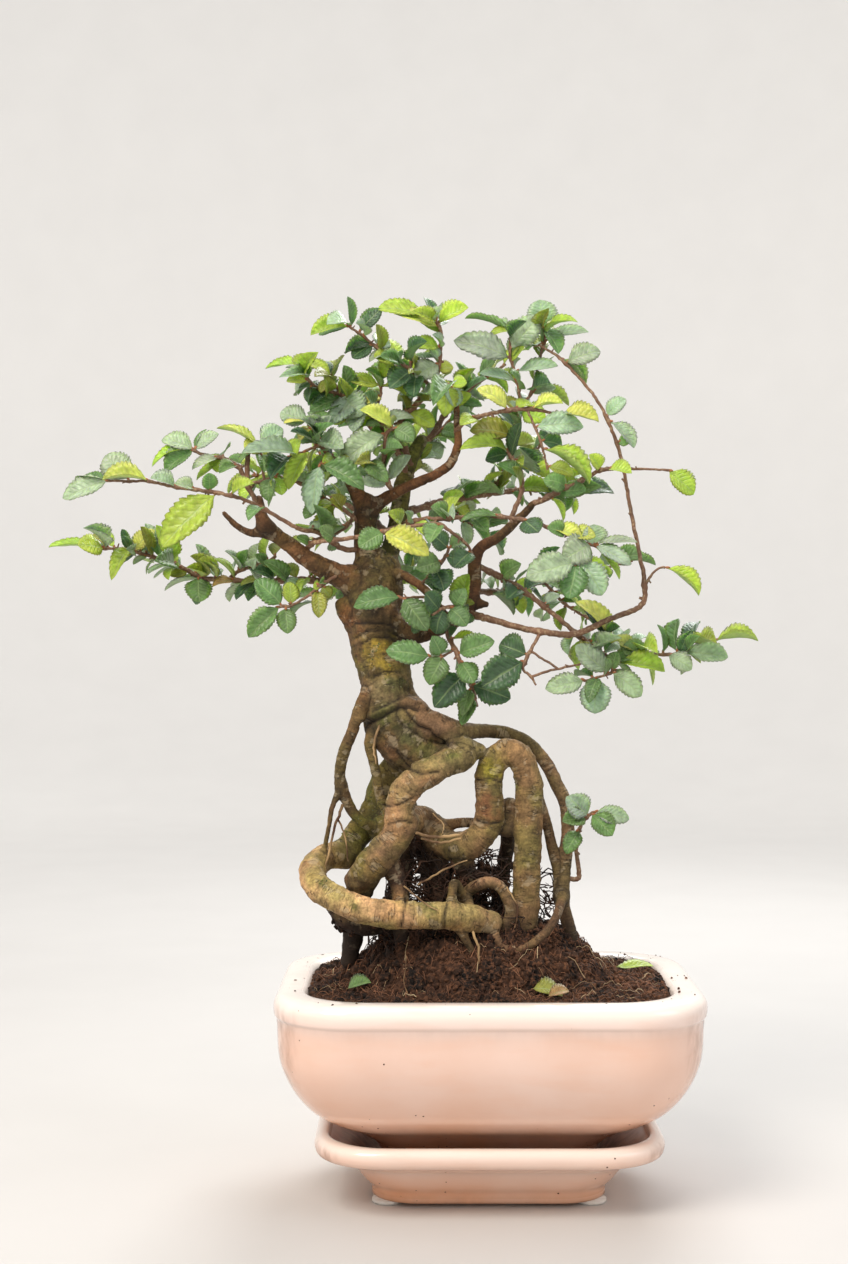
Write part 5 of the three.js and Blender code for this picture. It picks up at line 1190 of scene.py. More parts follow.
        Twig([[-19.5, -5.5, 213.5, 0.9], [-26, -11, 213.5, 0.65], [-31.5, -13.5, 213, 0.5]],
             [[2, -17, -2, -2, 8, 20, LEAF], [1.9, 9, -4, -11, 9.5, 10, LEAF]]),
    ],
    "crossing_branch": [
        Twig([[-65, -4, 231.5, 1.5], [-61, -13, 233, 1.2], [-50, -18, 234, 1.1], [-39, -21, 236, 1],
              [-28, -22, 238, 0.95], [-18.5, -22, 239, 0.9], [-14, -21, 236.5, 0.85],
              [-8.5, -18, 232.5, 0.8], [-6, -14, 229, 0.6]],
             [[3.2, -9, -3, -5.5, 8.5, 12, LEAF], [3.1, 16.5, -4, -8.5, 9, 12, GOLD],
              [1.6, -5, -6, 4, 6.5, 30, LEAF], [7.9, -6, -6, -6, 8, 20, DARK],
              [5.2, -4, -6, -7, 7, 25, LEAF]]),
    ],
    "inner_right_twigs": [
        Twig([[-24, -4.5, 218, 1.1], [-20, -9, 222, 0.85], [-16, -12, 227, 0.7], [-14, -13, 231, 0.5]],
             [[3, -6, -3, 5, 8, 20, DARK], [2.2, 8, -4, -2, 8.5, 15, DARK],
              [1.8, -9, -4, -3, 8.5, 15, LEAF], [1.3, 3, -5, -8, 9, 12, DARK], [3, 6, -3, 3, 7, 25, LEAF]]),
    ],
    "inner_low_twigs": [
        Twig([[-8, -2, 209.5, 1.2], [-11, -9, 210, 0.85], [-16, -13, 209.5, 0.7], [-20, -15, 207, 0.5]],
             [[3, -8, -2, -4, 9, 15, DARK], [2, -3, -4, -9, 9, 12, DARK], [1.6, 6, -4, -6, 8.5, 15, LEAF],
              [1.2, 3, -5, 6, 6.5, 20, LEAF], [2.4, -5, -5, 6, 8, 18, DARK]]),
    ],
    "root_shoot": [
        Twig([[33, -1, 112, 1.3], [32, -3, 122, 1], [33, -5, 130, 0.8], [36, -7, 135, 0.6],
              [38, -8, 136.5, 0.5]],
             [[3, -8, -2, 7, 9, 12, GREY], [4, 12.5, -2, -2, 7, 15, GREY],
              [3.4, 7.5, -4, -7.5, 8.5, 12, LEAF], [2, -5, -4, -8, 6.5, 15, LEAF],
              [2.8, -9, -4, -1, 7, 25, LEAF]]),
    ],
    "back_left_branch": [
        Twig([[-37, 11, 238, 2], [-48, 26, 247, 1.6], [-62, 38, 255, 1.3], [-76, 46, 260, 1],
              [-90, 50, 262, 0.6]],
             rank=Rank(1.2, 4, 7, 15, 11)),
        Twig([[-48, 26, 247, 1], [-54, 34, 240, 0.8], [-66, 42, 236, 0.6]],
             rank=Rank(0.8, 2, 4, 14, 12)),
        Twig([[-62, 38, 255, 1], [-62, 47, 266, 0.8], [-66, 54, 276, 0.5]],
             rank=Rank(0.8, 2, 5, 15, 13)),
    ],
    "back_centre_branch": [
        Twig([[-30, 16, 256, 2], [-26, 32, 266, 1.6], [-26, 48, 274, 1.2], [-28, 62, 278, 0.7]],
             rank=Rank(1, 3, 6, 15, 21)),
        Twig([[-26, 32, 266, 1.1], [-40, 42, 276, 0.8], [-50, 48, 288, 0.5]],
             rank=Rank(0.7, 2, 5, 15, 22)),
        Twig([[-26, 40, 270, 1.1], [-14, 48, 282, 0.8], [-4, 52, 292, 0.5]],
             rank=Rank(0.7, 2, 5, 15, 23)),
    ],
    "back_right_branch": [
        Twig([[-34, 13, 244, 2.1], [-16, 28, 250, 1.7], [2, 38, 254, 1.4], [20, 46, 256, 1.1],
              [38, 50, 254, 0.6]],
             rank=Rank(1.2, 4, 7, 15, 31)),
        Twig([[2, 38, 254, 1], [10, 34, 264, 0.8], [22, 34, 272, 0.5]],
             rank=Rank(0.9, 2, 4, 14, 32)),
        Twig([[-16, 28, 250, 1.1], [-8, 44, 244, 0.9], [2, 56, 240, 0.5]],
             rank=Rank(0.8, 2, 5, 14, 33)),
    ],
    "crown_back_branch": [
        Twig([[-20, 17, 274, 1.6], [-14, 22, 284, 1.2], [-4, 26, 294, 0.9], [8, 28, 302, 0.5]],
             rank=Rank(0.9, 3, 6, 15, 41)),
        Twig([[-14, 22, 284, 0.9], [-24, 28, 294, 0.7], [-34, 32, 302, 0.5]],
             rank=Rank(0.8, 2, 5, 15, 42)),
    ],
    "low_back_branch": [
        Twig([[-42, 7, 214, 2], [-42, 24, 216, 1.5], [-36, 40, 222, 1.1], [-26, 52, 226, 0.6]],
             rank=Rank(1.1, 3, 6, 15, 51)),
        Twig([[-42, 24, 216, 1], [-54, 34, 216, 0.8], [-66, 40, 212, 0.5]],
             rank=Rank(0.8, 2, 4, 14, 52)),
    ],
    "low_right_back_branch": [
        Twig([[-5, 0, 216, 1.7], [6, 14, 216, 1.3], [22, 24, 220, 1.1], [40, 30, 224, 0.8],
              [56, 30, 228, 0.5]],
             rank=Rank(1.3, 4, 7, 14, 61)),
        Twig([[22, 24, 220, 0.8], [30, 32, 212, 0.65], [40, 38, 206, 0.45]],
             rank=Rank(0.9, 2, 4, 14, 62)),
    ],
}


# Pot, tray and soil


def rounded_ring(
    half_width: float, half_depth: float, corner: float, z: float, steps: int = 12
) -> np.ndarray:
    """A level rounded rectangle.

    Args:
        half_width: from the middle to the side, along x.
        half_depth: from the middle to the front, along y.
        corner: radius of its corners.
        z: its height.
        steps: segments of each corner and of each straight side.

    Returns:
        Its points, anticlockwise from above, equally many on any ring.
    """
    points = []
    for quarter, (sign_x, sign_y) in enumerate(((1, 1), (-1, 1), (-1, -1), (1, -1))):
        middle = np.array([sign_x * (half_width - corner), sign_y * (half_depth - corner)])
        for i in range(steps + 1):
            angle = (quarter + i / steps) * math.pi / 2
            points.append(middle + corner * np.array([math.cos(angle), math.sin(angle)]))
    rounded = np.array(points)
    filled = []
    for i in range(len(rounded)):
        filled.append(rounded[i])
        if i % (steps + 1) == steps:
            after = rounded[(i + 1) % len(rounded)]
            filled.extend(rounded[i] + (after - rounded[i]) * part / steps for part in range(1, steps))
    return np.column_stack([np.array(filled), np.full(len(filled), z)])


def eased(rows: Sequence[Row], parts: int) -> np.ndarray:
    """Rows with more rows between them on a curve that keeps close to their corners.

    Args:
        rows: the rows it goes through.
        parts: pieces that each span is cut into.

    Returns:
        The finer rows.
    """
    points = np.array(rows, float)
    padded = np.vstack([2 * points[0] - points[1], points, 2 * points[-1] - points[-2]])
    finer = []
    for before, start, end, after in zip(padded, padded[1:], padded[2:], padded[3:]):
        span = np.linalg.norm(end - start)
        slope_in = (end - before) * span / (span + np.linalg.norm(start - before))
        slope_out = (after - start) * span / (span + np.linalg.norm(after - end))
        for t in np.arange(parts) / parts:
            bend = t * (2 * start - 2 * end + slope_in + slope_out)
            rest = -3 * start + 3 * end - 2 * slope_in - slope_out
            finer.append(start + t * (slope_in + t * (rest + bend)))
    finer.append(points[-1])
    return np.array(finer)


@dataclass
class Vessel:
    """A rounded rectangular bowl with one wall profile all round."""

    name: str
    width: float
    depth: float
    corner: float
    outside: Sequence[Row]
    inside: Sequence[Row]
    grime: Sequence[Row] = ()
    corner_closing: float = 0.4
    parts: int = 4

    def ring(self, half_width: float, z: float) -> np.ndarray:
        """One level ring of the wall, as far in from the rim's edge at the sides as at the front.

        Args:
            half_width: from the middle to the wall, along x.
            z: its height.

        Returns:
            The ring's points.
        """
        inset = self.width / 2 - half_width
        corner = self.corner - self.corner_closing * inset
        return rounded_ring(half_width, self.depth / 2 - inset, corner, z)

    def skin(self) -> tuple[np.ndarray, list[tuple[int, ...]]]:
        """Points and faces of the closed bowl, from its underside up, over the rim and down to its floor.

        Returns:
            Points and faces.
        """
        rows = eased([*self.outside, *self.inside], self.parts)
        rings = [self.ring(half_width, z) for half_width, z in rows]
        for_under, for_floor = rings[0], rings[-1]
        under = [for_under * (share, share, 1) for share in (0.3, 0.7)]
        floor = [for_floor * (share, share, 1) for share in (0.7, 0.3)]
        rings = [*under, *rings, *floor]
        return np.vstack(rings), lattice(len(rings), len(rings[0]))

    def soil_marks(self, made: bpy.types.Object) -> None:
        """Stores how dark each ring is marked, by dirt and by painted shade, from rows of place along the
        profile and share.

        Args:
            made: the bowl.
        """
        points = made.data.vertices
        places, shares = zip(*self.grime)
        rings = (len(self.outside) + len(self.inside) - 1) * self.parts + 1
        along = np.concatenate([[0, 0], np.arange(rings) / self.parts, [rings, rings]])
        grime = np.interp(along, places, shares)
        store(made.data, "grime", "FLOAT", np.repeat(grime, len(points) // len(along)))

    def build(self, glaze: bpy.types.Material) -> bpy.types.Object:
        """Makes the bowl for the CAD node of its name.

        Args:
            glaze: its material.

        Returns:
            The finished bowl.
        """
        made = new_object(self.name, *self.skin())
        self.soil_marks(made)
        return finished(made, glaze, [self.name])


@dataclass
class Pot(Vessel):
    """The pot, which adds four low feet and two drain holes."""

    foot: Sequence[float] = (25, 9, 15, 9)
    foot_span: Sequence[float] = (7, 13.5)
    hole_x: float = 15
    hole_radius: float = 5
    hole_sides: int = 32
    hole_span: Sequence[float] = (8, 24)

    def build(self, glaze: bpy.types.Material) -> bpy.types.Object:
        """Makes the pot with its feet joined on and its holes cut.

        Args:
            glaze: its material.

        Returns:
            The finished pot.
        """
        pot = new_object(self.name, *self.skin())
        self.soil_marks(pot)
        x, y, width, depth = self.foot
        tools = []
        for sign_x in (-1, 1):
            for sign_y in (-1, 1):
                low, high = self.foot_span
                middle = (sign_x * x, sign_y * y, 0)
                rings = [
                    rounded_ring(width / 2 - inset, depth / 2 - inset, 3 - inset, z, 4) + middle
                    for inset, z in ((0.8, low), (0, low + 0.8), (0, high))
                ]
                tools.append(("UNION", np.vstack(rings), lattice(3, len(rings[0]))))
            angles = np.linspace(0, math.tau, self.hole_sides, endpoint=False)
            circle = np.column_stack([np.cos(angles), np.sin(angles)]) * self.hole_radius
            middle = (sign_x * self.hole_x, 0, 0)
            ends = [np.insert(circle, 2, z, axis=1) + middle for z in self.hole_span]
            tools.append(("DIFFERENCE", np.vstack(ends), lattice(2, self.hole_sides)))
        made = [new_object("tool", points, faces) for _, points, faces in tools]
        for tool, (operation, _, _) in zip(made, tools):
            cut = pot.modifiers.new(operation, "BOOLEAN")
            cut.operation, cut.object, cut.solver = operation, tool, "EXACT"
        baked(pot)
        for tool in made:
            bpy.data.objects.remove(tool)
        return finished(pot, glaze, [self.name])


@dataclass
class Pads:
    """The four soft pads under the tray, their edges rounded."""

    radius: float = 5.3
    height: float = 1.5
    x: float = 36
    y: float = 18
    edge: float = 0.45
    sides: int = 40

    def build(self, rubber: bpy.types.Material) -> None:
        """Makes each pad for its CAD node.

        Args:
            rubber: their material.
        """
        angles = np.linspace(0, math.tau, self.sides, endpoint=False)
        circle = np.column_stack([np.cos(angles), np.sin(angles), np.zeros(self.sides)])
        rows = [(self.radius - self.edge, 0), (self.radius, self.edge), (self.radius, self.height)]
        number = 0
        for sign_x in (-1, 1):
            for sign_y in (-1, 1):
                number += 1
                middle = (sign_x * self.x, sign_y * self.y, 0)
                rings = [circle * radius + middle + (0, 0, z) for radius, z in rows]
                name = f"pad_{number}"
                made = new_object(name, np.vstack(rings), lattice(len(rings), self.sides))
                finished(made, rubber, [name])


@dataclass
class DrainMesh:
    """A square of plastic netting over a drain hole: two layers of threads welded where they cross."""

    side: float = 18
    z: float = 19.45
    thread: float = 0.42
    pitch: float = 1.8
    weave: float = 0.12
    flatness: float = 0.7
    sides: int = 8
    x: float = 15

    def build(self, plastic: bpy.types.Material) -> None:
        """Makes both squares for their CAD nodes.

        Args:
            plastic: their material.
        """
        count = int(self.side / self.pitch)
        offsets = (np.arange(count + 1) - count / 2) * self.pitch
        half = self.side / 2
        for number, centre in enumerate((-self.x, self.x), 1):
            points, faces = [], []
            for offset in offsets:
                for turned in (False, True):
                    lift = self.z + (self.weave if turned else -self.weave)
                    for end in (-half, half):
                        for i in range(self.sides):
                            angle = i * math.tau / self.sides * (-1 if turned else 1)
                            a, b = math.cos(angle) * self.thread, math.sin(angle) * self.thread
                            along, aside = (offset + a, end) if turned else (end, offset + a)
                            points.append((centre + along, aside, lift + b * self.flatness))
                    start = len(points) - 2 * self.sides
                    faces.extend(tuple(start + i for i in face) for face in lattice(2, self.sides))
            name = f"drain_mesh_{number}"
            finished(new_object(name, points, faces), plastic, [name])


@dataclass
class Soil:
    """Peat that fills the pot and rises to a mound under the roots, with crumbs and fibres over it."""

    edge_z: float = 74.5
    rise: float = 20
    mound: Sequence[float] = (-3, 2, 46, 31)
    half_width: float = 63
    half_depth: float = 45
    corner: float = 23.2
    rings: int = 78
    pot_wall: Sequence[float] = (75, 57, 28, 0.4)
    ring_steps: int = 16
    base: Sequence[Row] = (
        (31, 21), (39.5, 28.4), (49.5, 34.4), (59.5, 41.8), (65, 51.6), (65.8, 61), (63, 68),
    )

    def height(self, x: float, y: float) -> float:
        """Height of the soil without its crumbs: level at the lip, a flat-topped mound, lumps all over.

        Args:
            x: place along the pot.
            y: place across it.

        Returns:
            The height.
        """
        middle_x, middle_y, width, depth = self.mound
        away = math.hypot((x - middle_x) / width, (y - middle_y) / depth)
        rise = float(smoothstep(1.25 - away, 0, 0.75))
        lump = math.sin(x * 0.41 + y * 0.23) + math.sin(y * 0.47 - x * 0.19 + 2)
        return self.edge_z + self.rise * rise + 0.7 * lump * min(1, rise * 4 + 0.3)

    def rough(self, x: float, y: float, share: float) -> float:
        """Extra height of clods and crumbs, none at the lip.

        Args:
            x: place along the pot.
            y: place across it.
            share: how near to the lip, up to 1.

        Returns:
            The extra height.
        """
        clods = noise.fractal(Vector((x, y, 3)) / 6, 0.7, 2.1, 4)
        crumbs = noise.fractal(Vector((x, y, 9)) / 1.9, 0.8, 2.0, 3)
        return float((1 - smoothstep(share, 0.93, 1.0)) * (1.7 * clods + 1.0 * crumbs))

    def body(self) -> bpy.types.Object:
        """Makes the solid of the peat, its top fine enough for its crumbs.

        Returns:
            The solid, not yet dressed.
        """
        rings = []
        pot_half_width, pot_half_depth, pot_corner, closing = self.pot_wall
        for half_width, z in self.base:
            inset = pot_half_width - half_width
            corner = pot_corner - closing * inset
            rings.append(rounded_ring(half_width, pot_half_depth - inset, corner, z, self.ring_steps))
        middle_x, middle_y = self.mound[:2]
        for share in np.linspace(1, 0.012, self.rings):
            sizes = (self.half_width * share, self.half_depth * share, self.corner * share)
            ring = rounded_ring(*sizes, 0, self.ring_steps)
            ring += ((1 - share) * middle_x, (1 - share) * middle_y, 0)
            for point in ring:
                x, y = point[:2]
                point[2] = self.height(x, y) + self.rough(x, y, share)
            rings.append(ring)
        return new_object("soil", np.vstack(rings), lattice(len(rings), len(rings[0])))


def new_tree(name: str, sizes: dict[str, tuple[str, Any]]) -> tuple[Adder, Any]:
    """Starts a geometry node tree.

    Args:
        name: its name.
        sizes: for each named input, its socket type (Float or Int) and default.

    Returns:
        What adds a node to the tree, and the outputs of its Group Input node.
    """
    tree = bpy.data.node_groups.new(name, "GeometryNodeTree")
    tree.interface.new_socket("Geometry", in_out="INPUT", socket_type="NodeSocketGeometry")
    for label, (kind, default) in sizes.items():
        socket = tree.interface.new_socket(label, in_out="INPUT", socket_type=f"NodeSocket{kind}")
        socket.default_value = default
    tree.interface.new_socket("Geometry", in_out="OUTPUT", socket_type="NodeSocketGeometry")
    add = partial(add_node, tree)
    return add, add("NodeGroupInput").node.outputs


def close_tree(add: Adder, *dressed: tuple[bpy.types.NodeSocket, bpy.types.Material]) -> bpy.types.NodeTree:
    """Ends a geometry node tree: each geometry gets its material, and all go out together.

    Args:
        add: adds a node to the tree.
        *dressed: each geometry with its material.

    Returns:
        The tree.
    """
    tree = dressed[0][0].id_data
    whole = tree.nodes.new("GeometryNodeJoinGeometry")
    for geometry, material in dressed:
        feed(whole, [add(Kind.DRESS, {"Geometry": geometry, "Material": material})])
    feed(tree.nodes.new("NodeGroupOutput"), [whole.outputs[0]])
    return tree


def crumb_tree(name: str, material: bpy.types.Material, on_surface: bool = True) -> bpy.types.NodeTree:
    """A tree of rough grains: over a surface where its attribute "bare" is high, or one on each vertex.

    Args:
        name: the tree's name.
        material: the grains' material.
        on_surface: whether they are scattered over faces.

    Returns:
        The tree, with inputs for density, least and greatest radius, flatness and seed.
    """
    sizes = {
        "Density": ("Float", 300000.0),
        "Least radius": ("Float", 0.4 * MM),
        "Greatest radius": ("Float", 1.2 * MM),
        "Flatness": ("Float", 0.7),
        "Seed": ("Int", 1),
    }
    add, given = new_tree(name, sizes)
    if on_surface:
        bare = add(Kind.NAMED, {"Name": "bare"}, data_type="FLOAT")
        amount = add(Kind.MATH, (bare, given["Density"]), operation="MULTIPLY")
        chosen = {"Mesh": given["Geometry"], "Density": amount, "Seed": given["Seed"]}
        points = add("GeometryNodeDistributePointsOnFaces", chosen)
    else:
        points = add("GeometryNodeMeshToPoints", {"Mesh": given["Geometry"]})
    grain = add("GeometryNodeMeshIcoSphere", {"Radius": 1.0, "Subdivisions": 1})
    drawn = add(Kind.RANDOM, {2: 0.0, 3: 1.0, 8: 5}, 1, data_type="FLOAT")
    skewed = add(Kind.MATH, (drawn, 3.0), operation="POWER")
    radius = add(Kind.RANGE, (skewed, 0.0, 1.0, given["Least radius"], given["Greatest radius"]))
    flat = add(Kind.RANDOM, {2: given["Flatness"], 3: 1.0, 8: 6}, 1, data_type="FLOAT")
    thickness = add(Kind.MATH, (radius, flat), operation="MULTIPLY")
    size = add("ShaderNodeCombineXYZ", (radius, thickness, thickness))
    turn = add(Kind.RANDOM, {0: (0.0,) * 3, 1: (math.tau,) * 3, 8: 7}, data_type="FLOAT_VECTOR")
    placed = add(Kind.INSTANCES, {"Points": points, "Instance": grain, "Rotation": turn, "Scale": size})
    place = add(Kind.POSITION)
    swirl = add(Kind.NOISE, {"Vector": place, "Scale": per_mm(0.9), "Detail": 0.0}, "Color")
    push = add(Kind.VECTOR, (swirl, (0.5, 0.5, 0.5)), operation="SUBTRACT")
    push = add(Kind.VECTOR, {0: push, "Scale": 0.9 * MM}, operation="SCALE")
    rough = add(Kind.MOVE, {"Geometry": add(Kind.REALIZE, [placed]), "Offset": push})
    return close_tree(add, (rough, material))


def thread_tree(name: str, material: bpy.types.Material) -> bpy.types.NodeTree:
    """A tree that gives body to lines of edges, by their attribute "radius".

    Args:
        name: the tree's name.
        material: the threads' material.

    Returns:
        The tree, with an input for the number of sides.
    """
    add, given = new_tree(name, {"Sides": ("Int", 5)})
    profile = add("GeometryNodeCurvePrimitiveCircle", {"Resolution": given["Sides"], "Radius": 1.0})
    parts = {
        "Curve": add("GeometryNodeMeshToCurve", [given["Geometry"]]),
        "Profile Curve": profile,
        "Scale": add(Kind.NAMED, {"Name": "radius"}, data_type="FLOAT"),
        "Fill Caps": True,
    }
    tube = add("GeometryNodeCurveToMesh", parts)
    return close_tree(add, (add("GeometryNodeSetShadeSmooth", [tube]), material))


@dataclass
class Threads:
    """Lines of points with a thickness, gathered for one object."""

    name: str

    def __post_init__(self) -> None:
        """Starts with no line."""
        self.points: list[np.ndarray] = []
        self.edges: list[tuple[int, int]] = []
        self.radii: list[float] = []

    def add(self, line: np.ndarray, radii: Any) -> None:
        """Adds a line of points with a radius at each.

        Args:
            line: its points.
            radii: one radius, or one for each point.
        """
        first = sum(len(points) for points in self.points)
        self.points.append(line)
        self.edges.extend((first + i, first + i + 1) for i in range(len(line) - 1))
        self.radii.extend(np.broadcast_to(radii, len(line)).tolist())

    def build(self, tree: bpy.types.NodeTree, sides: int, slot: str) -> bpy.types.Object:
        """Gives the lines their bodies and finishes the piece.

        Args:
            tree: the tree that gives them a body.
            sides: how many sides a thread has.
            slot: not used.

        Returns:
            The finished threads.
        """
        made = new_object(self.name, np.vstack(self.points), edges=self.edges)
        store(made.data, "radius", "FLOAT", np.array(self.radii) * MM)
        return finished(grown(made, tree, {"Sides": sides}))


# Stems and leaves


class Stem:
    """A stem of wood along a smooth curve through its rows, grown out of a parent where there is one."""

    def __init__(self, rows: Sequence[Row], parent: "Stem | None" = None) -> None:
        """Keeps the rows, with one more at the start on the parent's middle line.

        Args:
            rows: its rows.
            parent: the stem that it grows from.
        """
        self.rows = np.array(rows, float)
        self.shift = 0 if parent is None else 1
        if parent is not None:
            start = [*parent.nearest(self.rows[0, :3]), self.rows[0, 3]]
            self.rows = np.vstack([start, self.rows])
        self.span = len(self.rows) - 1 - self.shift

    def at(self, places: Any) -> np.ndarray:
        """Points and radii at places along the stem.

        Args:
            places: counted in its own rows.

        Returns:
            A row of x, y, z and radius for each place.
        """
        last = len(self.rows) - 1
        u = np.clip(np.atleast_1d(places) + self.shift, 0, last)
        row = np.minimum(u.astype(int), last - 1)
        t = (u - row)[:, None]
        points = self.rows[:, :3]
        padded = np.vstack([2 * points[0] - points[1], points, 2 * points[-1] - points[-2]])
        before, start, end, after = (padded[row + i] for i in range(4))
        slope_in, slope_out = (end - before) / 2, (after - start) / 2
        bend = t * (2 * start - 2 * end + slope_in + slope_out)
        curve = start + t * (slope_in + t * (3 * end - 3 * start - 2 * slope_in - slope_out + bend))
        radii = self.rows[row, 3] + t[:, 0] * (self.rows[row + 1, 3] - self.rows[row, 3])
        return np.column_stack([curve, radii])

    def along(self, step: float) -> np.ndarray:
        """Points and radii along the stem, no further apart than step.

        Args:
            step: the greatest distance between two points.

        Returns:
            A row of x, y, z and radius for each.
        """
        lengths = np.linalg.norm(np.diff(self.rows[:, :3], axis=0), axis=1)
        places = []
        for row, length in enumerate(lengths):
            parts = math.ceil(length / step - 0.001)
            places.extend(row - self.shift + part / parts for part in range(parts))
        return self.at([*places, self.span])

    def nearest(self, place: np.ndarray) -> np.ndarray:
        """The point of its middle line that is nearest to a place."""
        points = self.along(1.5)[:, :3]
        return points[np.argmin(np.linalg.norm(points - place, axis=1))]

    def leaf_root(self, place: float) -> np.ndarray:
        """Where a leaf at a place on the stem starts."""
        return self.at(min(place, self.span - 0.12))[0, :3]


def grow(row_lists: Sequence[Sequence[Row]], parents: Sequence[Stem]) -> list[Stem]:
    """Grows stems, the first from the parents given, the others from those grown before them here.

    Args:
        row_lists: the rows of each stem.
        parents: the stems that the first may grow from.

    Returns:
        The new stems.
    """
    stems: list[Stem] = []
    for rows in row_lists:
        start = np.array(rows[0][:3], float)
        near = min(stems or parents, key=lambda stem: np.linalg.norm(stem.nearest(start) - start))
        stems.append(Stem(rows, near))
    return stems


def carried_frames(points: np.ndarray) -> tuple[np.ndarray, np.ndarray, np.ndarray]:
    """Directions along a line and two across it that don't twist.

    Args:
        points: the line's points.

    Returns:
        For each point the tangent and the two directions across it.
    """
    tangents = np.gradient(points, axis=0)
    tangents /= np.linalg.norm(tangents, axis=1)[:, None]
    across = np.empty_like(tangents)
    carried = np.array([0.3, 0.5, 0.8])
    for i, tangent in enumerate(tangents):
        carried = carried - tangent * (carried @ tangent)
        carried = carried / np.linalg.norm(carried)
        across[i] = carried
    return tangents, across, np.cross(tangents, across)


@dataclass
class Blade:
    """One leaf's place: where it starts, the reach to its tip, its width and its roll in degrees."""

    base: np.ndarray
    reach: np.ndarray
    width: float
    roll: float

    EDGE = ((0, 0.1), (0.2, 0.7), (0.4, 1), (0.47, 0.82), (0.72, 0.72), (1, 0))

    def __post_init__(self) -> None:
        """Finds its directions. Roll 0 faces the front, 90 the sky."""
        self.length = float(np.linalg.norm(self.reach))
        self.axis = self.reach / self.length
        front = np.array([0, -1, 0]) + self.axis * self.axis[1]
        if front @ front < 1e-3:
            front = np.array([0.0, 0.0, 1.0])
        front = front / np.linalg.norm(front)
        side = np.cross(self.axis, front)
        if side[2] < 0:
            side = -side
        angle = math.radians(self.roll)
        self.normal = front * math.cos(angle) + side * math.sin(angle)
        self.across = np.cross(self.normal, self.axis)

    def point(self, place: float, offset: float) -> np.ndarray:
        """A point of its sheet, a share of the length along it and offset to one side."""
        lift = 0.24 * self.length * place * (1 - place) + 0.2 * abs(offset)
        return self.base + self.axis * self.length * place + self.across * offset + self.normal * lift

    def spread(self) -> np.ndarray:
        """Points spread over it, for the test of what it touches.

        Returns:
            The points.
        """
        places, shares = zip(*self.EDGE)
        points = []
        for place in (0.25, 0.4, 0.55, 0.7, 0.85, 1):
            half = self.width / 2 * float(np.interp(place, places, shares))
            points.extend(self.point(place, share * half) for share in (-0.9, -0.45, 0, 0.45, 0.9))
        return np.array(points)

    def turn(self) -> tuple[float, float, float]:
        """Its rotation as Euler angles, x along it and z off its upper side."""
        columns = Matrix(np.column_stack([self.axis, self.across, self.normal]).tolist())
        return tuple(columns.to_euler("XYZ"))


class Seeded:
    """Random numbers between 0 and 1, the same on every run."""

    def __init__(self, seed: int) -> None:
        """Starts from a seed."""
        self.state = seed

    def __call__(self) -> float:
        """Gives the next number.

        Returns:
            The number.
        """
        whole = 0xFFFFFFFF
        self.state = (self.state + 0x6D2B79F5) & whole
        mixed = ((self.state ^ (self.state >> 15)) * (self.state | 1)) & whole
        mixed ^= (mixed + (((mixed ^ (mixed >> 7)) * (mixed | 61)) & whole)) & whole
        return ((mixed ^ (mixed >> 14)) & whole) / 4294967296


class Surroundings:
    """What a new leaf keeps clear of: the stems and leaves of the other pieces."""

    LEANS = (0, -2, 2, -4, 4, -6, 6, -9, 9, -12, 12, -15)
    LEAF_GAP = 2.3
    STEM_GAP = 1.5
    LEAF_REACH = 5.3
    STEM_REACH = 12

    def __init__(self) -> None:
        """Starts empty."""
        self.stations: list[tuple[str, np.ndarray]] = []
        self.blades: list[tuple[str, Blade, np.ndarray, np.ndarray]] = []

    def add_stems(self, owner: str, stems: Sequence[Stem]) -> None:
        """Adds a piece's stems."""
        self.stations.extend((owner, stem.along(2)) for stem in stems)

    def is_clear(
        self, owner: str, blade: Blade, points: np.ndarray, middle: np.ndarray, own_gap: float
    ) -> bool:
        """Tells whether a blade keeps its distance from the other pieces, and own_gap from its own.

        Args:
            owner: the piece that the blade belongs to.
            blade: the blade.
            points: points spread over it.
            middle: its middle.
            own_gap: least distance to blades of its own piece.

        Returns:
            Whether it is clear.
        """
        for holder, other, other_points, other_middle in self.blades:
            least = own_gap if holder == owner else self.LEAF_GAP
            reach = (other.length + blade.length) / 2 + self.LEAF_REACH
            if not least or np.linalg.norm(middle - other_middle) > reach:
                continue
            gaps = np.linalg.norm(points[:, None] - other_points[None], axis=2)
            if gaps.min() < least:
                return False
        for holder, stations in self.stations:
            if holder == owner:
                continue
            reach = blade.length + self.STEM_REACH
            near = stations[np.linalg.norm(stations[:, :3] - middle, axis=1) <= reach]
            if len(near):
                gaps = np.linalg.norm(points[:, None] - near[None, :, :3], axis=2) - near[None, :, 3]
                if gaps.min() < self.STEM_GAP:
                    return False
        return True

    def place(
        self, owner: str, base: np.ndarray, reach: np.ndarray, width: float, roll: float, own_gap: float = 0
    ) -> Blade | None:
        """Leans a blade to the front or back until it is clear, its outline from the front kept.

        Args:
            owner: the piece that it belongs to.
            base: where it starts.
            reach: from there to its tip.
            width: its width.
            roll: its roll.
            own_gap: least distance to the leaves of its own piece.

        Returns:
            The blade, or None where every lean touches something.
        """
        for lean in self.LEANS:
            blade = Blade(base, reach + (0, lean, 0), width, roll)
            points, middle = blade.spread(), blade.point(0.5, 0)
            if self.is_clear(owner, blade, points, middle, own_gap):
                self.blades.append((owner, blade, points, middle))
                return blade
        return None


# The woody body


@dataclass(frozen=True)
class BarkPatch:
    """A patch of another colour on the bark, mostly stains, two of them painted shade: where its middle is,
    how far it reaches, how much it covers.
    """

    colour: str
    x: float
    y: float
    z: float
    reach: float
    strength: float = 0.8
    mossy: float = 0.0


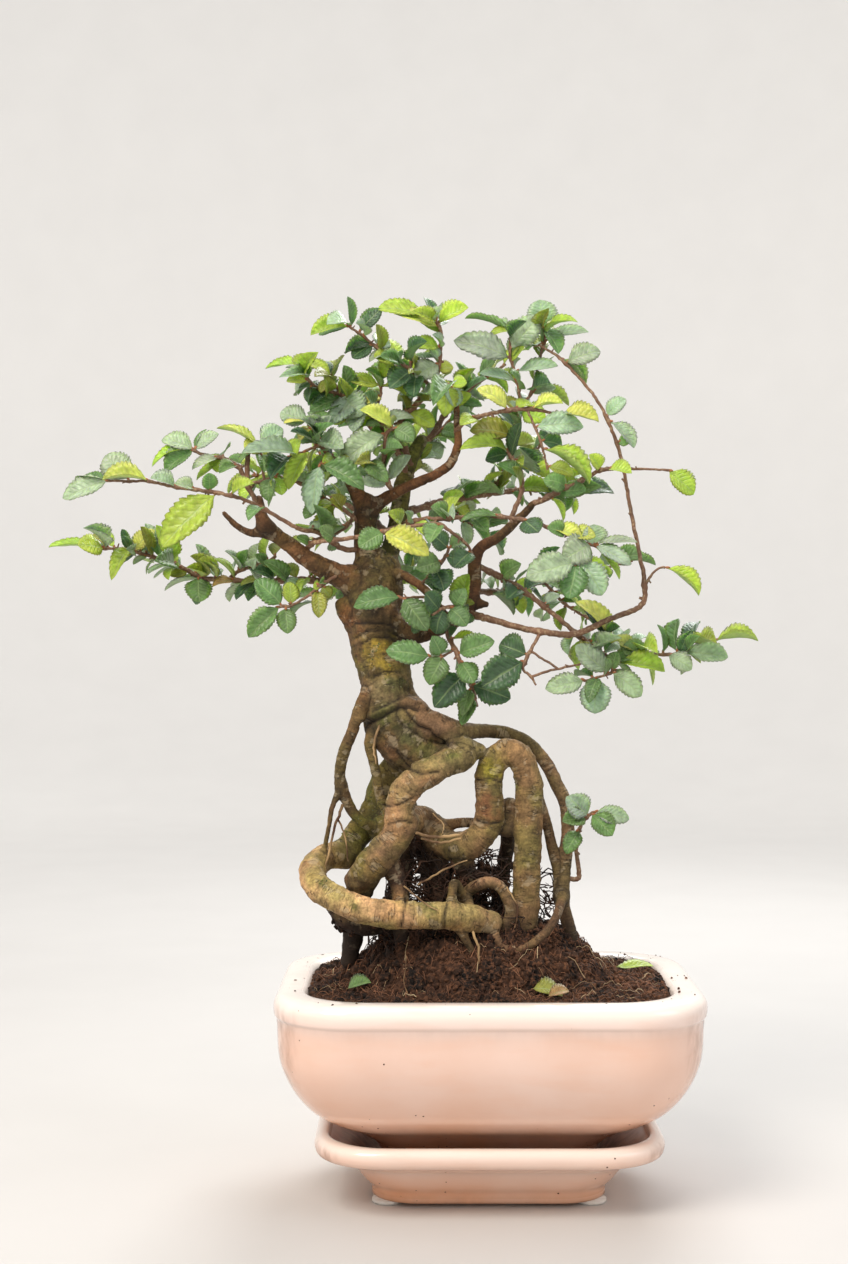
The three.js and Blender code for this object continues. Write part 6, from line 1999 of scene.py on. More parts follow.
STAINS_AND_SHADE = (
    # the trunk: red-brown left side, painted shade under the shoulder, olive and grey-green below
    BarkPatch("7A5234", -52, -3, 205, 7),
    BarkPatch("77543A", -50, -4, 194, 6),
    BarkPatch("6B5033", -46, -6, 180, 6),
    # painted shade under the shoulder: this patch and the next
    BarkPatch("241D12", -42, -8, 208, 6, 0.85),
    BarkPatch("2E2A18", -35, -8, 200, 4.5, 0.85),
    BarkPatch("94892F", -40, -8, 194, 7.5, 0.9, 0.6),
    BarkPatch("8B8434", -37, -8, 188, 5.5, 0.8, 0.5),
    BarkPatch("7B7A5A", -37, -8, 180, 8, 0.7),
    BarkPatch("46532A", -32, -8, 181, 5, 0.8, 0.5),
    BarkPatch("55622F", -38, -8, 171, 4, 0.6, 0.3),
    BarkPatch("8A6848", -35, -8, 160, 7, 0.7),
    BarkPatch("6A7050", -29, -8, 165, 5, 0.7),
    BarkPatch("566030", -22, -8, 158, 6, 0.8, 0.5),
    BarkPatch("4C4A2C", -14, -6, 161, 6, 0.6, 0.4),
    # the front root, pale where it bends
    BarkPatch("6B6E3C", -13, -13, 156, 4.5, 0.8, 0.3),
    BarkPatch("98795A", -24, -17, 151, 5, 0.7),
    BarkPatch("A58A66", -31, -18, 144, 7, 0.8),
    BarkPatch("AC9168", -32, -17, 131, 8, 0.8),
    BarkPatch("93784F", -42, -15, 119, 6, 0.7),
    BarkPatch("6B4A30", -46, -12, 113, 5),
    BarkPatch("6A4A32", -63, -6, 118, 6, 0.8),
    BarkPatch("4A3222", -50, -14, 112, 4, 0.7),
    BarkPatch("77713A", -50, 2, 126, 12, 0.9, 0.5),
    BarkPatch("6A6A34", -42, 2, 138, 8, 0.8, 0.6),
    # the loop round the front
    BarkPatch("A58E60", -60, -12, 116, 8, 0.6),
    BarkPatch("B8A678", -50, -24, 107, 8, 0.75),
    BarkPatch("A58C60", -32, -27, 103, 9, 0.7),
    BarkPatch("94784F", -14, -26, 103, 8, 0.7),
    BarkPatch("6A543A", -3, -22, 100, 6, 0.7),
    BarkPatch("56642A", -58.5, -21, 112.6, 2.4, 0.95, 0.8),
    BarkPatch("4C5024", -47, -26, 105, 2.2, 0.9, 0.5),
    BarkPatch("5E6638", -22, -26, 105, 3.8, 0.85, 0.5),
    BarkPatch("58602E", -39, -26, 106, 2.6, 0.8, 0.5),
    # the arches
    BarkPatch("A79C35", 0.5, -9, 152, 5, 0.95, 0.3),
    BarkPatch("A5925E", 4, -8, 159, 4.5, 0.8),
    BarkPatch("784734", 0.5, -10, 138, 5.5, 0.75),
    BarkPatch("57602C", 9, -5, 146, 3.5, 0.8, 0.6),
    BarkPatch("7B7546", 15, -9, 141, 6, 0.6, 0.2),
    BarkPatch("7F7448", 14, -10, 119, 9, 0.6, 0.2),
    BarkPatch("4E4E2A", 3, -9, 145, 3, 0.6, 0.4),
    # the limbs
    BarkPatch("3C4226", -40, 12, 236, 12, 0.7, 0.8),
    BarkPatch("8C6A48", -66, -8, 229, 9, 0.7),
    BarkPatch("5A5A30", -44, -3, 226, 6, 0.6, 0.4),
)

# Folds in the bark of the front: how deep, how wide, then x and z along them.
CREASES = (
    (1.5, 0.9, ((-45, 167.5), (-38, 170.5), (-32, 174), (-28.5, 174.3), (-25, 173.2))),
    (1.2, 0.8, ((-30, 173.5), (-27.5, 170), (-25, 167), (-21, 165.5), (-18, 162.3), (-14.5, 160.8))),
    (0.5, 0.6, ((-41, 172.5), (-35, 175.5), (-31, 177.5))),
    (0.6, 0.7, ((-48, 199), (-43, 201.5), (-36, 201.7), (-31.5, 199), (-27, 197))),
    (0.6, 0.6, ((-46, 196.5), (-41, 199.2), (-36, 199.2), (-31, 197), (-27, 194.6))),
    (0.5, 0.6, ((-48, 204), (-42, 204.4), (-37, 204), (-32, 202))),
    (0.5, 0.6, ((-41, 185), (-37, 187), (-32, 186.5))),
    (0.6, 0.7, ((-33, 158), (-29, 153), (-24, 151), (-18, 151.5))),
    (0.5, 0.6, ((-36, 133), (-31, 134.5), (-27, 133.5))),
    (0.5, 0.6, ((-38, 139), (-32, 140), (-27, 142.5))),
    (0.4, 0.6, ((-4, 148), (1, 148.5), (5, 147))),
    (0.4, 0.6, ((-4, 133.5), (0, 132.5), (4, 133))),
    (0.4, 0.6, ((-31, 98), (-30, 103), (-29.5, 106.5))),
    (0.4, 0.6, ((-16, 97), (-16, 102), (-15, 105.5))),
)

# Colours of the bark, stem by stem: trunk, limbs, roots.
WOOD_COLOURS = (
    "6E6342 6A5F40 66502F "
    "73583A 5E4630 5E4832 6A482F 6E5036 7C5238 62642F 62462F 705439 5A4430 "
    "9E8868 706448 75703E C8AE84 8C7854 7E6A50 77624A 6C5840 7F6A50 988360 "
    "6A583A 5E4E36 71613C 4A3A28 463626 44352A 42342A 44352A 3E3026 44352A 5A4A34 3E2B1F"
).split()


@dataclass
class Skin:
    """What the body's skin is at each of its points."""

    blended: np.ndarray
    hollow: np.ndarray
    stem: np.ndarray
    run: np.ndarray
    side: np.ndarray
    radius: np.ndarray
    colour: np.ndarray


@dataclass
class Wood:
    """Trunk, thick limbs and bared roots: one smooth-jointed body under wrinkled and folded bark."""

    voxel: float = 0.72
    blend: float = 1.0
    station: float = 1.2
    sides: int = 20
    dome: float = 0.72
    wrinkle: float = 0.32
    lump: float = 0.6
    fissure: float = 0.35
    # Painted light and shade: how much lighter the tops and how much darker the undersides are made.
    painted_top_light: float = 0.56
    shade: float = 0.28

    def __post_init__(self) -> None:
        """Grows the stems."""
        trunk = [Stem(rows) for rows in TRUNK]
        self.stems = [*trunk, *grow(LIMBS, trunk), *grow(ROOTS, trunk)]
        self.first_root = len(TRUNK) + len(LIMBS)
        self.lines = [stem.along(self.station) for stem in self.stems]
        self.colours = np.array([linear(code)[:3] for code in WOOD_COLOURS])

    def tubes(self) -> bpy.types.Object:
        """Makes a closed tube for each stem, its ends domed.

        Returns:
            All the tubes as one object.
        """
        points: list[np.ndarray] = []
        faces: list[tuple[int, ...]] = []
        angles = np.linspace(0, math.tau, self.sides, endpoint=False)
        for line in self.lines:
            middle, radii = line[:, :3], line[:, 3:]
            tangents, across, up = carried_frames(middle)
            head = middle[0] - tangents[0] * radii[0] / 2
            foot = middle[-1] + tangents[-1] * radii[-1] / 2
            middle = np.vstack([head, middle, foot])
            radii = np.vstack([radii[0] * self.dome, radii, radii[-1] * self.dome])
            across, up = (np.vstack([side[0], side, side[-1]]) for side in (across, up))
            circle = across[:, None] * np.cos(angles)[:, None] + up[:, None] * np.sin(angles)[:, None]
            rings = middle[:, None] + circle * radii[:, None]
            start = sum(len(part) for part in points)
            points.append(rings.reshape(-1, 3))
            faces.extend(tuple(start + i for i in face) for face in lattice(len(rings), len(angles)))
        return new_object("trunk_and_roots", np.vstack(points), faces)

    def survey(self, points: np.ndarray) -> Skin:
        """Finds for each point of the drawing its place on the stems.

        Args:
            points: points on or near the skin.

        Returns:
            Distance to the blended body, depth in a joint, nearest stem with the place along it, the
            direction out of it and its radius, and the bark's colour.
        """
        count = len(points)
        total, weight = np.zeros(count), np.full(count, 1e-12)
        widths = (0, 0, 0, 0, 2, 0, 3)
        skin = Skin(*(np.zeros((count, width) if width else count) for width in widths))
        nearest = np.full(count, np.inf)
        for number, line in enumerate(self.lines):
            middle, radii = line[:, :3], line[:, 3]
            margin = radii.max() + 5
            inside = (points > middle.min(0) - margin) & (points < middle.max(0) + margin)
            near = np.flatnonzero(inside.all(axis=1))
            if not len(near):
                continue
            starts, spans = middle[:-1], np.diff(middle, axis=0)
            lengths = np.maximum(np.linalg.norm(spans, axis=1), 1e-6)
            _, across, up = carried_frames(middle)
            run = np.concatenate([[0], np.cumsum(lengths)])
            for chunk in np.array_split(near, max(1, len(near) * len(starts) // 2_000_000)):
                offset = points[chunk][:, None] - starts[None]
                share = np.clip((offset * spans).sum(2) / lengths**2, 0, 1)
                radius = radii[:-1] + share * np.diff(radii)
                away = offset - share[:, :, None] * spans
                gap = np.linalg.norm(away, axis=2) - radius
                best = np.argmin(gap, axis=1)
                picked = np.arange(len(chunk)), best
                distance = gap[picked]
                total[chunk] += np.exp(-np.clip(distance / self.blend, -30, 30))
                share_of_colour = np.exp(-np.clip(distance / 1.5, -20, 20))
                weight[chunk] += share_of_colour
                skin.colour[chunk] += share_of_colour[:, None] * self.colours[number]
                closer = distance < nearest[chunk]
                held, best, out = chunk[closer], best[closer], away[picked][closer]
                nearest[held] = distance[closer]
                size = np.linalg.norm(out, axis=1) + 1e-9
                skin.stem[held] = number
                skin.run[held] = run[best] + share[picked][closer] * lengths[best]
                skin.side[held, 0] = (out * across[best]).sum(1) / size
                skin.side[held, 1] = (out * up[best]).sum(1) / size
                skin.radius[held] = radius[picked][closer]
        skin.blended = -self.blend * np.log(np.maximum(total, 1e-12))
        skin.hollow = smoothstep(nearest - skin.blended, 0.25 * self.blend, 0.9 * self.blend)
        skin.colour /= weight[:, None]
        return skin

    def relief(self, points: np.ndarray, skin: Skin) -> tuple[np.ndarray, np.ndarray]:
        """Height of the bark's relief and how deep in a fold each point lies.

        Args:
            points: points of the drawing.
            skin: what is known of each.

        Returns:
            Heights in millimetres, and shares from 0 to 1.
        """
        heights, folds = np.zeros(len(points)), np.zeros(len(points))
        turned = skin.side * skin.radius[:, None]
        for i, point in enumerate(points):
            number, run, radius = skin.stem[i], skin.run[i], skin.radius[i]
            root = number >= self.first_root
            place = Vector(point)
            offset = number * 17.3
            bend = noise.noise(place / 4) * 1.6
            ringed = Vector(((run + bend) * 0.42 + offset, turned[i, 0] * 0.2, turned[i, 1] * 0.2))
            fold = 1 - min(1, abs(noise.noise(ringed)) * 2 / 0.16)
            patchy = smoothstep(noise.noise(place / 6 + Vector((40, 0, offset))), -0.1, 0.35)
            grooved = Vector((run * 0.07 + offset, turned[i, 0] * 0.32, turned[i, 1] * 0.32))
            groove = 1 - min(1, abs(noise.noise(grooved)) * 2 / 0.13)
            flake = smoothstep(noise.noise(place / 2.6 + Vector((0, 70, offset))), 0.12, 0.24)
            lump = noise.fractal(place / 7, 0.9, 2.0, 3)
            size = min(1, radius / 4.5)
            wrinkles = (self.wrinkle if root else 0.2) * fold * patchy
            fissures = (0.12 if root else self.fissure) * groove
            heights[i] = size * (self.lump * lump * min(1.3, radius / 5) - wrinkles - fissures + 0.16 * flake)
            heights[i] += 0.13 * noise.noise(place / 1.5) + 0.07 * noise.noise(place / 0.8)
            folds[i] = max(fold * patchy * (0.45 if root else 0.3), groove * (0.15 if root else 0.5))
        for depth, width, path in CREASES:
            gap, above = self.flat_gap(points, path)
            near = (points[:, 1] < 0) * (gap < 12)
            share = np.exp(-((gap / width) ** 2)) * near
            lip = np.exp(-(((gap - 2.2 * width) / (1.8 * width)) ** 2)) * near * above
            heights += 0.55 * depth * lip - depth * share
            folds = np.maximum(folds, 0.95 * np.exp(-((gap / (width * 0.7)) ** 2)) * near)
        # Joints between stems count as folds, so they are painted dark there: painted shade.
        return heights, np.maximum(folds, 0.55 * skin.hollow)

    @staticmethod
    def flat_gap(points: np.ndarray, path: Sequence[Row]) -> tuple[np.ndarray, np.ndarray]:
        """Distance, seen from the front, from points to a path of x and z, and whether they lie above it.

        Args:
            points: points of the drawing.
            path: x and z along the path.

        Returns:
            The distances, and where the points lie above.
        """
        flat, corners = points[:, (0, 2)], np.array(path, float)
        gap, above = np.full(len(points), np.inf), np.zeros(len(points))
        for start, end in zip(corners, corners[1:]):
            span = end - start
            share = np.clip((flat - start) @ span / (span @ span), 0, 1)
            offset = flat - start - share[:, None] * span
            distance = np.linalg.norm(offset, axis=1)
            above = np.where(distance < gap, offset[:, 1] > 0, above)
            gap = np.minimum(gap, distance)
        return gap, above

    def build(self, bark: bpy.types.Material) -> bpy.types.Object:
        """Makes the body with its relief and stains.

        Args:
            bark: its material.

        Returns:
            The finished body.
        """
        made = self.tubes()
        remesh = made.modifiers.new("skin", "REMESH")
        remesh.mode, remesh.voxel_size = "VOXEL", self.voxel * MM
        baked(made)
        mesh = made.data
        for _ in range(3):
            points, normals = self.state(mesh)
            step = np.clip(self.survey(points).blended, -0.8, 0.8)
            mesh.vertices.foreach_set("co", drawing.place(points - normals * step[:, None]).ravel())
            mesh.update()
        points, normals = self.state(mesh)
        skin = self.survey(points)
        heights, folds = self.relief(points, skin)
        mesh.vertices.foreach_set("co", drawing.place(points + normals * heights[:, None]).ravel())
        mesh.update()
        mesh.shade_smooth()
        self.mark(mesh, points, skin, folds)
        return finished(made, bark, ["trunk_and_roots"])

    @staticmethod
    def state(mesh: bpy.types.Mesh) -> tuple[np.ndarray, np.ndarray]:
        """Vertices of a mesh in the drawing's millimetres, and their normals.

        Args:
            mesh: the mesh.

        Returns:
            The vertices and the normals.
        """
        count = len(mesh.vertices)
        points = read_back(mesh.vertices, "co", count, 3).astype(float)
        return drawing.measure(points), read_back(mesh.vertex_normals, "vector", count, 3).astype(float)

    def mark(self, mesh: bpy.types.Mesh, points: np.ndarray, skin: Skin, folds: np.ndarray) -> None:
        """Stores at each vertex the bark's colour, stains, folds and grain; the first three hold painted
        light and shade.

        Args:
            mesh: the body's mesh.
            points: its vertices.
            skin: what is known of each.
            folds: how deep in a fold each lies.
        """
        cover, moss = np.zeros(len(points)), np.zeros(len(points))
        stained = np.zeros((len(points), 3))
        # Stains, and the painted shade under the trunk's shoulder, laid over each other.
        for stain in STAINS_AND_SHADE:
            away = np.linalg.norm((points - (stain.x, stain.y, stain.z)) * (1, 0.35, 1), axis=1) / stain.reach
            held = np.flatnonzero(away < 1.7)
            wander = np.array([noise.noise(Vector(points[i]) / (stain.reach * 0.4)) for i in held])
            share = stain.strength * (1 - smoothstep(away[held] + 0.6 * wander, 0.35, 1.2))
            kept = cover[held] * (1 - share)
            tint = np.array(linear(stain.colour)[:3])
            stained[held] = kept[:, None] * stained[held] + share[:, None] * tint
            cover[held] = kept + share
            stained[held] /= np.maximum(cover[held], 1e-6)[:, None]
            moss[held] = np.maximum(moss[held], share * stain.mossy)
        # Darker below 90 to 108 mm high and towards the back, behind the front roots.
        damp = (1 - smoothstep(points[:, 2], 90, 108)) * 0.8 * smoothstep(points[:, 1], -21, -12)
        turned = skin.side * skin.radius[:, None] * 0.13
        grain = np.column_stack([skin.run * 0.9 + skin.stem * 40, turned])
        # Painted light and shade: the bark is made lighter where it faces up and darker where it faces down.
        facing = read_back(mesh.vertices, "normal", len(points), 3)
        top_light_and_under_shade = 1 + self.painted_top_light * smoothstep(facing[:, 2], -0.7, 0.9) - self.shade
        colour = np.column_stack([skin.colour * top_light_and_under_shade[:, None], np.ones(len(points))])
        store(mesh, "bark_colour", "FLOAT_COLOR", colour)
        store(mesh, "stain", "FLOAT_COLOR", np.column_stack([stained, cover]))
        store(mesh, "grain", "FLOAT_VECTOR", grain)
        for name, share in (("crack", folds), ("damp", damp), ("moss", moss)):
            store(mesh, name, "FLOAT", np.clip(share, 0, 1))


# Leafy pieces


@dataclass
class BladeShape:
    """A unit elm leaf: x from stalk to tip, y across, its outline toothed, its section a thin lens."""

    name: str
    arch: float = 0.2
    fold: float = 0.12
    droop: float = 0.0
    twist: float = 0.0
    thickness: float = 0.02
    stalk: float = 0.075
    teeth: int = 9

    OUTLINE = (
        (0, 0.03), (0.07, 0.035), (0.1, 0.14), (0.18, 0.44), (0.3, 0.8), (0.42, 0.97), (0.53, 1),
        (0.66, 0.95), (0.78, 0.83), (0.88, 0.62), (0.95, 0.38), (1, 0.05),
    )

    def half_width(self, place: float) -> float:
        """Half the width at a place, as a share of the greatest."""
        places, shares = zip(*self.OUTLINE)
        return float(np.interp(place, places, shares))

    def rows(self) -> list[tuple[float, float]]:
        """Places along the blade with the half width at each, three for every rounded tooth.

        Returns:
            Place and half width of each row.
        """
        rows = [(0, 0.035), (self.stalk * 0.6, 0.03), (self.stalk, 0.05)]
        edges = 0.12 + 0.87 * np.linspace(0, 1, self.teeth + 1) ** 0.93
        for start, end in zip(edges, edges[1:]):
            for share, tooth in ((0, 0.93), (0.4, 1.01), (0.8, 1.05)):
                place = start + (end - start) * share
                rows.append((place, self.half_width(place) * tooth))
        rows.append((1, 0.04))
        return rows

    def build(self) -> bpy.types.Object:
        """Makes the blade as a unit mesh, whose attribute "blade" tells materials where they are.

        Returns:
            The blade.
        """
        points, places = [], []
        for place, half in self.rows():
            for across in (1, 0.5, 0, -0.5, -1, -0.5, 0, 0.5):
                under = len(points) % 8 > 4
                y = across * half / 2
                sheet = self.arch * 4 * place * (1 - place) * 0.3 + self.fold * abs(y) * 2
                sheet -= self.droop * place**3
                body = self.thickness * (1 - abs(across) ** 2) * (1.3 if place < self.stalk + 0.01 else 1)
                lift = sheet + body * (-0.5 if under else 0.5) + self.twist * y * place
                points.append((place, y, lift))
                places.append((place, across, float(under)))
        mesh = bpy.data.meshes.new(self.name)
        mesh.from_pydata(points, [], lattice(len(points) // 8, 8))
        mesh.shade_smooth()
        store(mesh, "blade", "FLOAT_VECTOR", places)
        made = bpy.data.objects.new(self.name, mesh)
        bpy.context.scene.collection.objects.link(made)
        return made


SHAPES = (
    BladeShape("blade_flat", arch=0.18, fold=0.1),
    BladeShape("blade_folded", arch=0.3, fold=0.28),
    BladeShape("blade_drooping", arch=0.34, fold=0.14, droop=0.16),
    BladeShape("blade_twisted", arch=0.2, fold=0.16, droop=0.06, twist=0.3),
)


def spray_tree(
    twig: bpy.types.Material, leaf: bpy.types.Material, bud: bpy.types.Material, shapes: bpy.types.Collection
) -> bpy.types.NodeTree:
    """The tree that grows a leafy piece from its lines and points.

    It works by the attribute "part": 0 for the lines of the twigs, 1 for leaves, 2 for buds.

    Args:
        twig: material of the twigs.
        leaf: material of the leaves.
        bud: material of the buds.
        shapes: the blades to pick from.

    Returns:
        The tree, with inputs for the twigs' sides, their knobbliness and the leaves' waviness.
    """
    sizes = {
        "Twig sides": ("Int", 9),
        "Knobbliness": ("Float", 0.3 * MM),
        "Waviness": ("Float", 1.1 * MM),
    }
    add, given = new_tree("leafy_stem", sizes)
    kept = {
        name: add(Kind.NAMED, {"Name": name}, data_type=kind)
        for name, kind in (
            ("part", "INT"),
            ("variant", "INT"),
            ("radius", "FLOAT"),
            ("turn", "FLOAT_VECTOR"),
            ("size", "FLOAT_VECTOR"),
        )
    }
    turn = add("FunctionNodeEulerToRotation", [kept["turn"]])

    def only(number: int) -> bpy.types.NodeSocket:
        """Gives the geometry of one part."""
        chosen = add("FunctionNodeCompare", {2: kept["part"], 3: number}, data_type="INT", operation="EQUAL")
        return add("GeometryNodeSeparateGeometry", {0: given["Geometry"], "Selection": chosen})

    def shaken(geometry: Any, size: float, reach: Any) -> bpy.types.NodeSocket:
        """Pushes geometry about smoothly, with features of a size, as far as reach.

        Args:
            geometry: what is pushed.
            size: width of the features in millimetres.
            reach: the greatest push.

        Returns:
            The pushed geometry.
        """
        swirl = add(Kind.NOISE, {"Vector": add(Kind.POSITION), "Scale": per_mm(size), "Detail": 1.0}, "Color")
        push = add(Kind.VECTOR, (swirl, (0.5, 0.5, 0.5)), operation="SUBTRACT")
        push = add(Kind.VECTOR, {0: push, "Scale": reach}, operation="SCALE")
        return add(Kind.MOVE, {"Geometry": geometry, "Offset": push})

    profile = add("GeometryNodeCurvePrimitiveCircle", {"Resolution": given["Twig sides"], "Radius": 1.0})
    tube = {
        "Curve": add("GeometryNodeMeshToCurve", [only(0)]),
        "Profile Curve": profile,
        "Scale": kept["radius"],
        "Fill Caps": True,
    }
    knobbly = shaken(add("GeometryNodeCurveToMesh", tube), 1.6, given["Knobbliness"])
    twigs = add("GeometryNodeSetShadeSmooth", [knobbly])
    picked = {"Collection": shapes, "Separate Children": True, "Reset Children": True}
    blades = add("GeometryNodeCollectionInfo", picked)
    scale = add("GeometryNodeMeshIcoSphere", {"Radius": 1.0, "Subdivisions": 2})
    leaves, buds = (
        add(
            Kind.REALIZE,
            [add(Kind.INSTANCES, {"Points": only(part), "Rotation": turn, "Scale": kept["size"], **chosen})],
        )
        for part, chosen in (
            (1, {"Instance": blades, "Pick Instance": True, "Instance Index": kept["variant"]}),
            (2, {"Instance": scale}),
        )
    )
    leaves = shaken(leaves, 6.0, given["Waviness"])
    return close_tree(add, (buds, bud), (leaves, leaf), (twigs, twig))


@dataclass
class Crown:
    """The leafy pieces: every twig is grown first, so that each leaf keeps clear of them all."""

    wood: Wood
    step: float = 1.2
    swelling: float = 0.45
    slimness: float = 0.72
    small_spacing: float = 2.8
    small_lengths: Sequence[float] = (6.5, 13.0)
    front: float = -9.0
    thick_side: float = -52.0
    sparse: Sequence[str] = (
        "arching_branch", "hooked_branch", "long_right_branch", "root_shoot", "trunk_front_twig",
    )

    def __post_init__(self) -> None:
        """Grows the twigs and notes them, with the wood's stems, as what the leaves keep clear of."""
        self.around = Surroundings()
        self.around.add_stems("trunk_and_roots", self.wood.stems)
        self.grown = {
            name: grow([twig.run for twig in twigs], self.wood.stems) for name, twigs in SPRAYS.items()
        }
        for name, stems in self.grown.items():
            self.around.add_stems(name, stems)

    def hand_set(self, name: str, stem: Stem, twig: Twig) -> list[tuple[Blade, Tone]]:
        """Sets the leaves that are given one by one.

        Args:
            name: the piece.
            stem: the twig's stem.
            twig: its measures.

        Returns:
            Each leaf with its tone.
        """
        placed = []
        for place, x, y, z, width, roll, tone in twig.leaves:
            blade = self.around.place(name, stem.leaf_root(place), np.array([x, y, z], float), width, roll)
            if blade is not None:
                placed.append((blade, tone))
        return placed

    def ranked(self, name: str, stem: Stem, rank: Rank) -> list[tuple[Blade, Tone]]:
        """Sets leaves alternately to both sides of a twig, the last one at its end.

        Args:
            name: the piece.
            stem: the twig's stem.
            rank: the rule.

        Returns:
            Each leaf with its tone.
        """
        draw = Seeded(rank.seed)
        shades = (LEAF, DARK, LEAF, OLIVE, LIME, DARK)
        placed = []
        for i in range(rank.count):
            place = rank.first + (rank.last - rank.first) * i / (rank.count - 1)
            before, after = stem.at([place - 0.05, place + 0.05])[:, :3]
            tangent = (after - before) / np.linalg.norm(after - before)
            across = np.cross(tangent, (0, 0, 1))
            across /= np.linalg.norm(across)
            side = 0 if i == rank.count - 1 else (1 if i % 2 else -1)
            for _ in range(4):
                size, rise, swing, turn = draw(), draw(), draw(), draw()
                reach = tangent * (0.4 + 0.4 * swing) + across * 0.85 * side + (0, 0, 0.9 * rise - 0.4)
                reach *= rank.length * (0.75 + 0.35 * size) / np.linalg.norm(reach)
                width = 0.6 * float(np.linalg.norm(reach))
                blade = self.around.place(name, stem.leaf_root(place), reach, width, 40 + 70 * turn)
                if blade is not None:
                    placed.append((blade, shades[(i + rank.seed) % len(shades)]))
                    break
        return placed

    def small_ones(self, name: str, stem: Stem, drawn: np.random.Generator) -> list[tuple[Blade, Tone]]:
        """Sets small leaves where a twig has room for them.

        Args:
            name: the piece.
            stem: the twig's stem.
            drawn: where the random numbers come from.

        Returns:
            Each leaf with its tone.
        """
        length = float(np.linalg.norm(np.diff(stem.along(2)[:, :3], axis=0), axis=1).sum())
        tones = (LEAF, DARK, GREY, LIME, OLIVE, LEAF, GREY, LIME)
        placed = []
        spacing = self.small_spacing * (0.6 if stem.at(stem.span)[0][0] < self.thick_side else 1)
        for _ in range(int(length / spacing)):
            place = drawn.uniform(0.35, max(0.4, stem.span - 0.1))
            if stem.at(place)[0][1] < self.front:
                continue
            before, after = stem.at([place - 0.05, place + 0.05])[:, :3]
            tangent = (after - before) / np.linalg.norm(after - before)
            outward = np.cross(tangent, drawn.normal(size=3))
            reach = tangent * drawn.uniform(0.2, 0.8) + outward / np.linalg.norm(outward) * 0.9 + (0, 0, 0.15)
            reach *= drawn.uniform(*self.small_lengths) / np.linalg.norm(reach)
            width = float(np.linalg.norm(reach)) * drawn.uniform(0.48, 0.64)
            roll, tone = drawn.uniform(15, 88), tones[int(drawn.integers(len(tones)))]
            blade = self.around.place(name, stem.leaf_root(place), reach, width, roll, 1.0)
            if blade is not None:
                placed.append((blade, tone))
        return placed

    def build(self, tree: bpy.types.NodeTree) -> None:
        """Makes each leafy piece for its CAD node.

        Args:
            tree: the tree that grows them.
        """
        set_leaves = {
            name: [
                self.ranked(name, stem, twig.rank) if twig.rank else self.hand_set(name, stem, twig)
                for stem, twig in zip(self.grown[name], twigs)
            ]
            for name, twigs in SPRAYS.items()
        }
        drawn = np.random.default_rng(41)
        for name, stems in self.grown.items():
            for stem, found in zip(stems, set_leaves[name]):
                if name not in self.sparse:
                    found.extend(self.small_ones(name, stem, drawn))
        for number, (name, leaves) in enumerate(set_leaves.items()):
            self.spray(name, self.grown[name], leaves, tree, number)
        total = sum(len(found) for leaves in set_leaves.values() for found in leaves)
        log.info("%d leaves in the crown", total)

    def spray(
        self,
        name: str,
        stems: list[Stem],
        leaves: list[list[tuple[Blade, Tone]]],
        tree: bpy.types.NodeTree,
        seed: int,
    ) -> bpy.types.Object:
        """Makes one leafy piece.

        Args:
            name: its name and its CAD node's.
            stems: its twigs.
            leaves: for each twig its leaves and their tones.
            tree: the tree that grows it.
            seed: seed of its small differences.

        Returns:
            The finished piece.
        """
        drawn = np.random.default_rng(seed + 100)
        points, edges = [], []
        blank = {
            "part": 0,
            "radius": 0.0,
            "turn": (0, 0, 0),
            "size": np.zeros(3),
            "variant": 0,
            "leaf_colour": (0, 0, 0, 1),
        }
        values: dict[str, list[Any]] = {key: [] for key in blank}

        def add(place: Any, **own: Any) -> None:
            """Adds a point with its values.

            Args:
                place: where it is.
                **own: values that differ from the blank ones.
            """
            points.append(place)
            for key, value in (blank | own).items():
                values[key].append(value)

        bases = [blade.base for found in leaves for blade, _ in found]
        knots = np.array([stem.rows[0, :3] for stem in stems] + bases)
        for stem, found in zip(stems, leaves):
            line = stem.along(self.step)
            line[1:, :3] += drawn.normal(0, 0.09, (len(line) - 1, 3))
            for i, (x, y, z, radius) in enumerate(line):
                place = np.array([x, y, z])
                gap = float(np.linalg.norm(knots - place, axis=1).min())
                swell = self.swelling * math.exp(-((gap / 1.1) ** 2)) * smoothstep(i, 0, 4)
                add(place, radius=radius * MM * self.slimness * (1 + swell))
                if i:
                    edges.append((len(points) - 2, len(points) - 1))
            for place in drawn.uniform(0.3, stem.span, max(1, len(line) // 9)):
                x, y, z, radius = stem.at(place)[0]
                spur = drawn.normal(size=3)
                spur *= drawn.uniform(1.2, 2.6) / np.linalg.norm(spur)
                for share in (0, 0.5, 1):
                    thickness = radius * MM * self.slimness * (0.75 - 0.25 * share)
                    add((x, y, z) + spur * share, radius=thickness)
                    if share:
                        edges.append((len(points) - 2, len(points) - 1))
            for blade, tone in found:
                jitter = drawn.uniform(0.86, 1.12) * (1 + drawn.uniform(-0.07, 0.07, 3))
                colour = [*np.clip(np.array(linear(tone.value)[:3]) * jitter, 0, 1), 1]
                size = np.array([blade.length, blade.width * 1.04, blade.length]) * MM
                shape = int(drawn.integers(len(SHAPES)))
                add(blade.base, part=1, turn=blade.turn(), size=size, variant=shape, leaf_colour=colour)
                bud = Blade(blade.base, blade.axis + (0, 0, 0.6), 1, 0)
                add(blade.base + bud.axis, part=2, turn=bud.turn(), size=np.array([1.0, 0.5, 0.5]) * MM)
        made = new_object(name, points, edges=edges)
        kinds = {"part": "INT", "variant": "INT", "radius": "FLOAT", "leaf_colour": "FLOAT_COLOR"}
        for key, entries in values.items():
            store(made.data, key, kinds.get(key, "FLOAT_VECTOR"), entries)
        return finished(grown(made, tree, {}), nodes=[name])


# What lies and grows round the roots


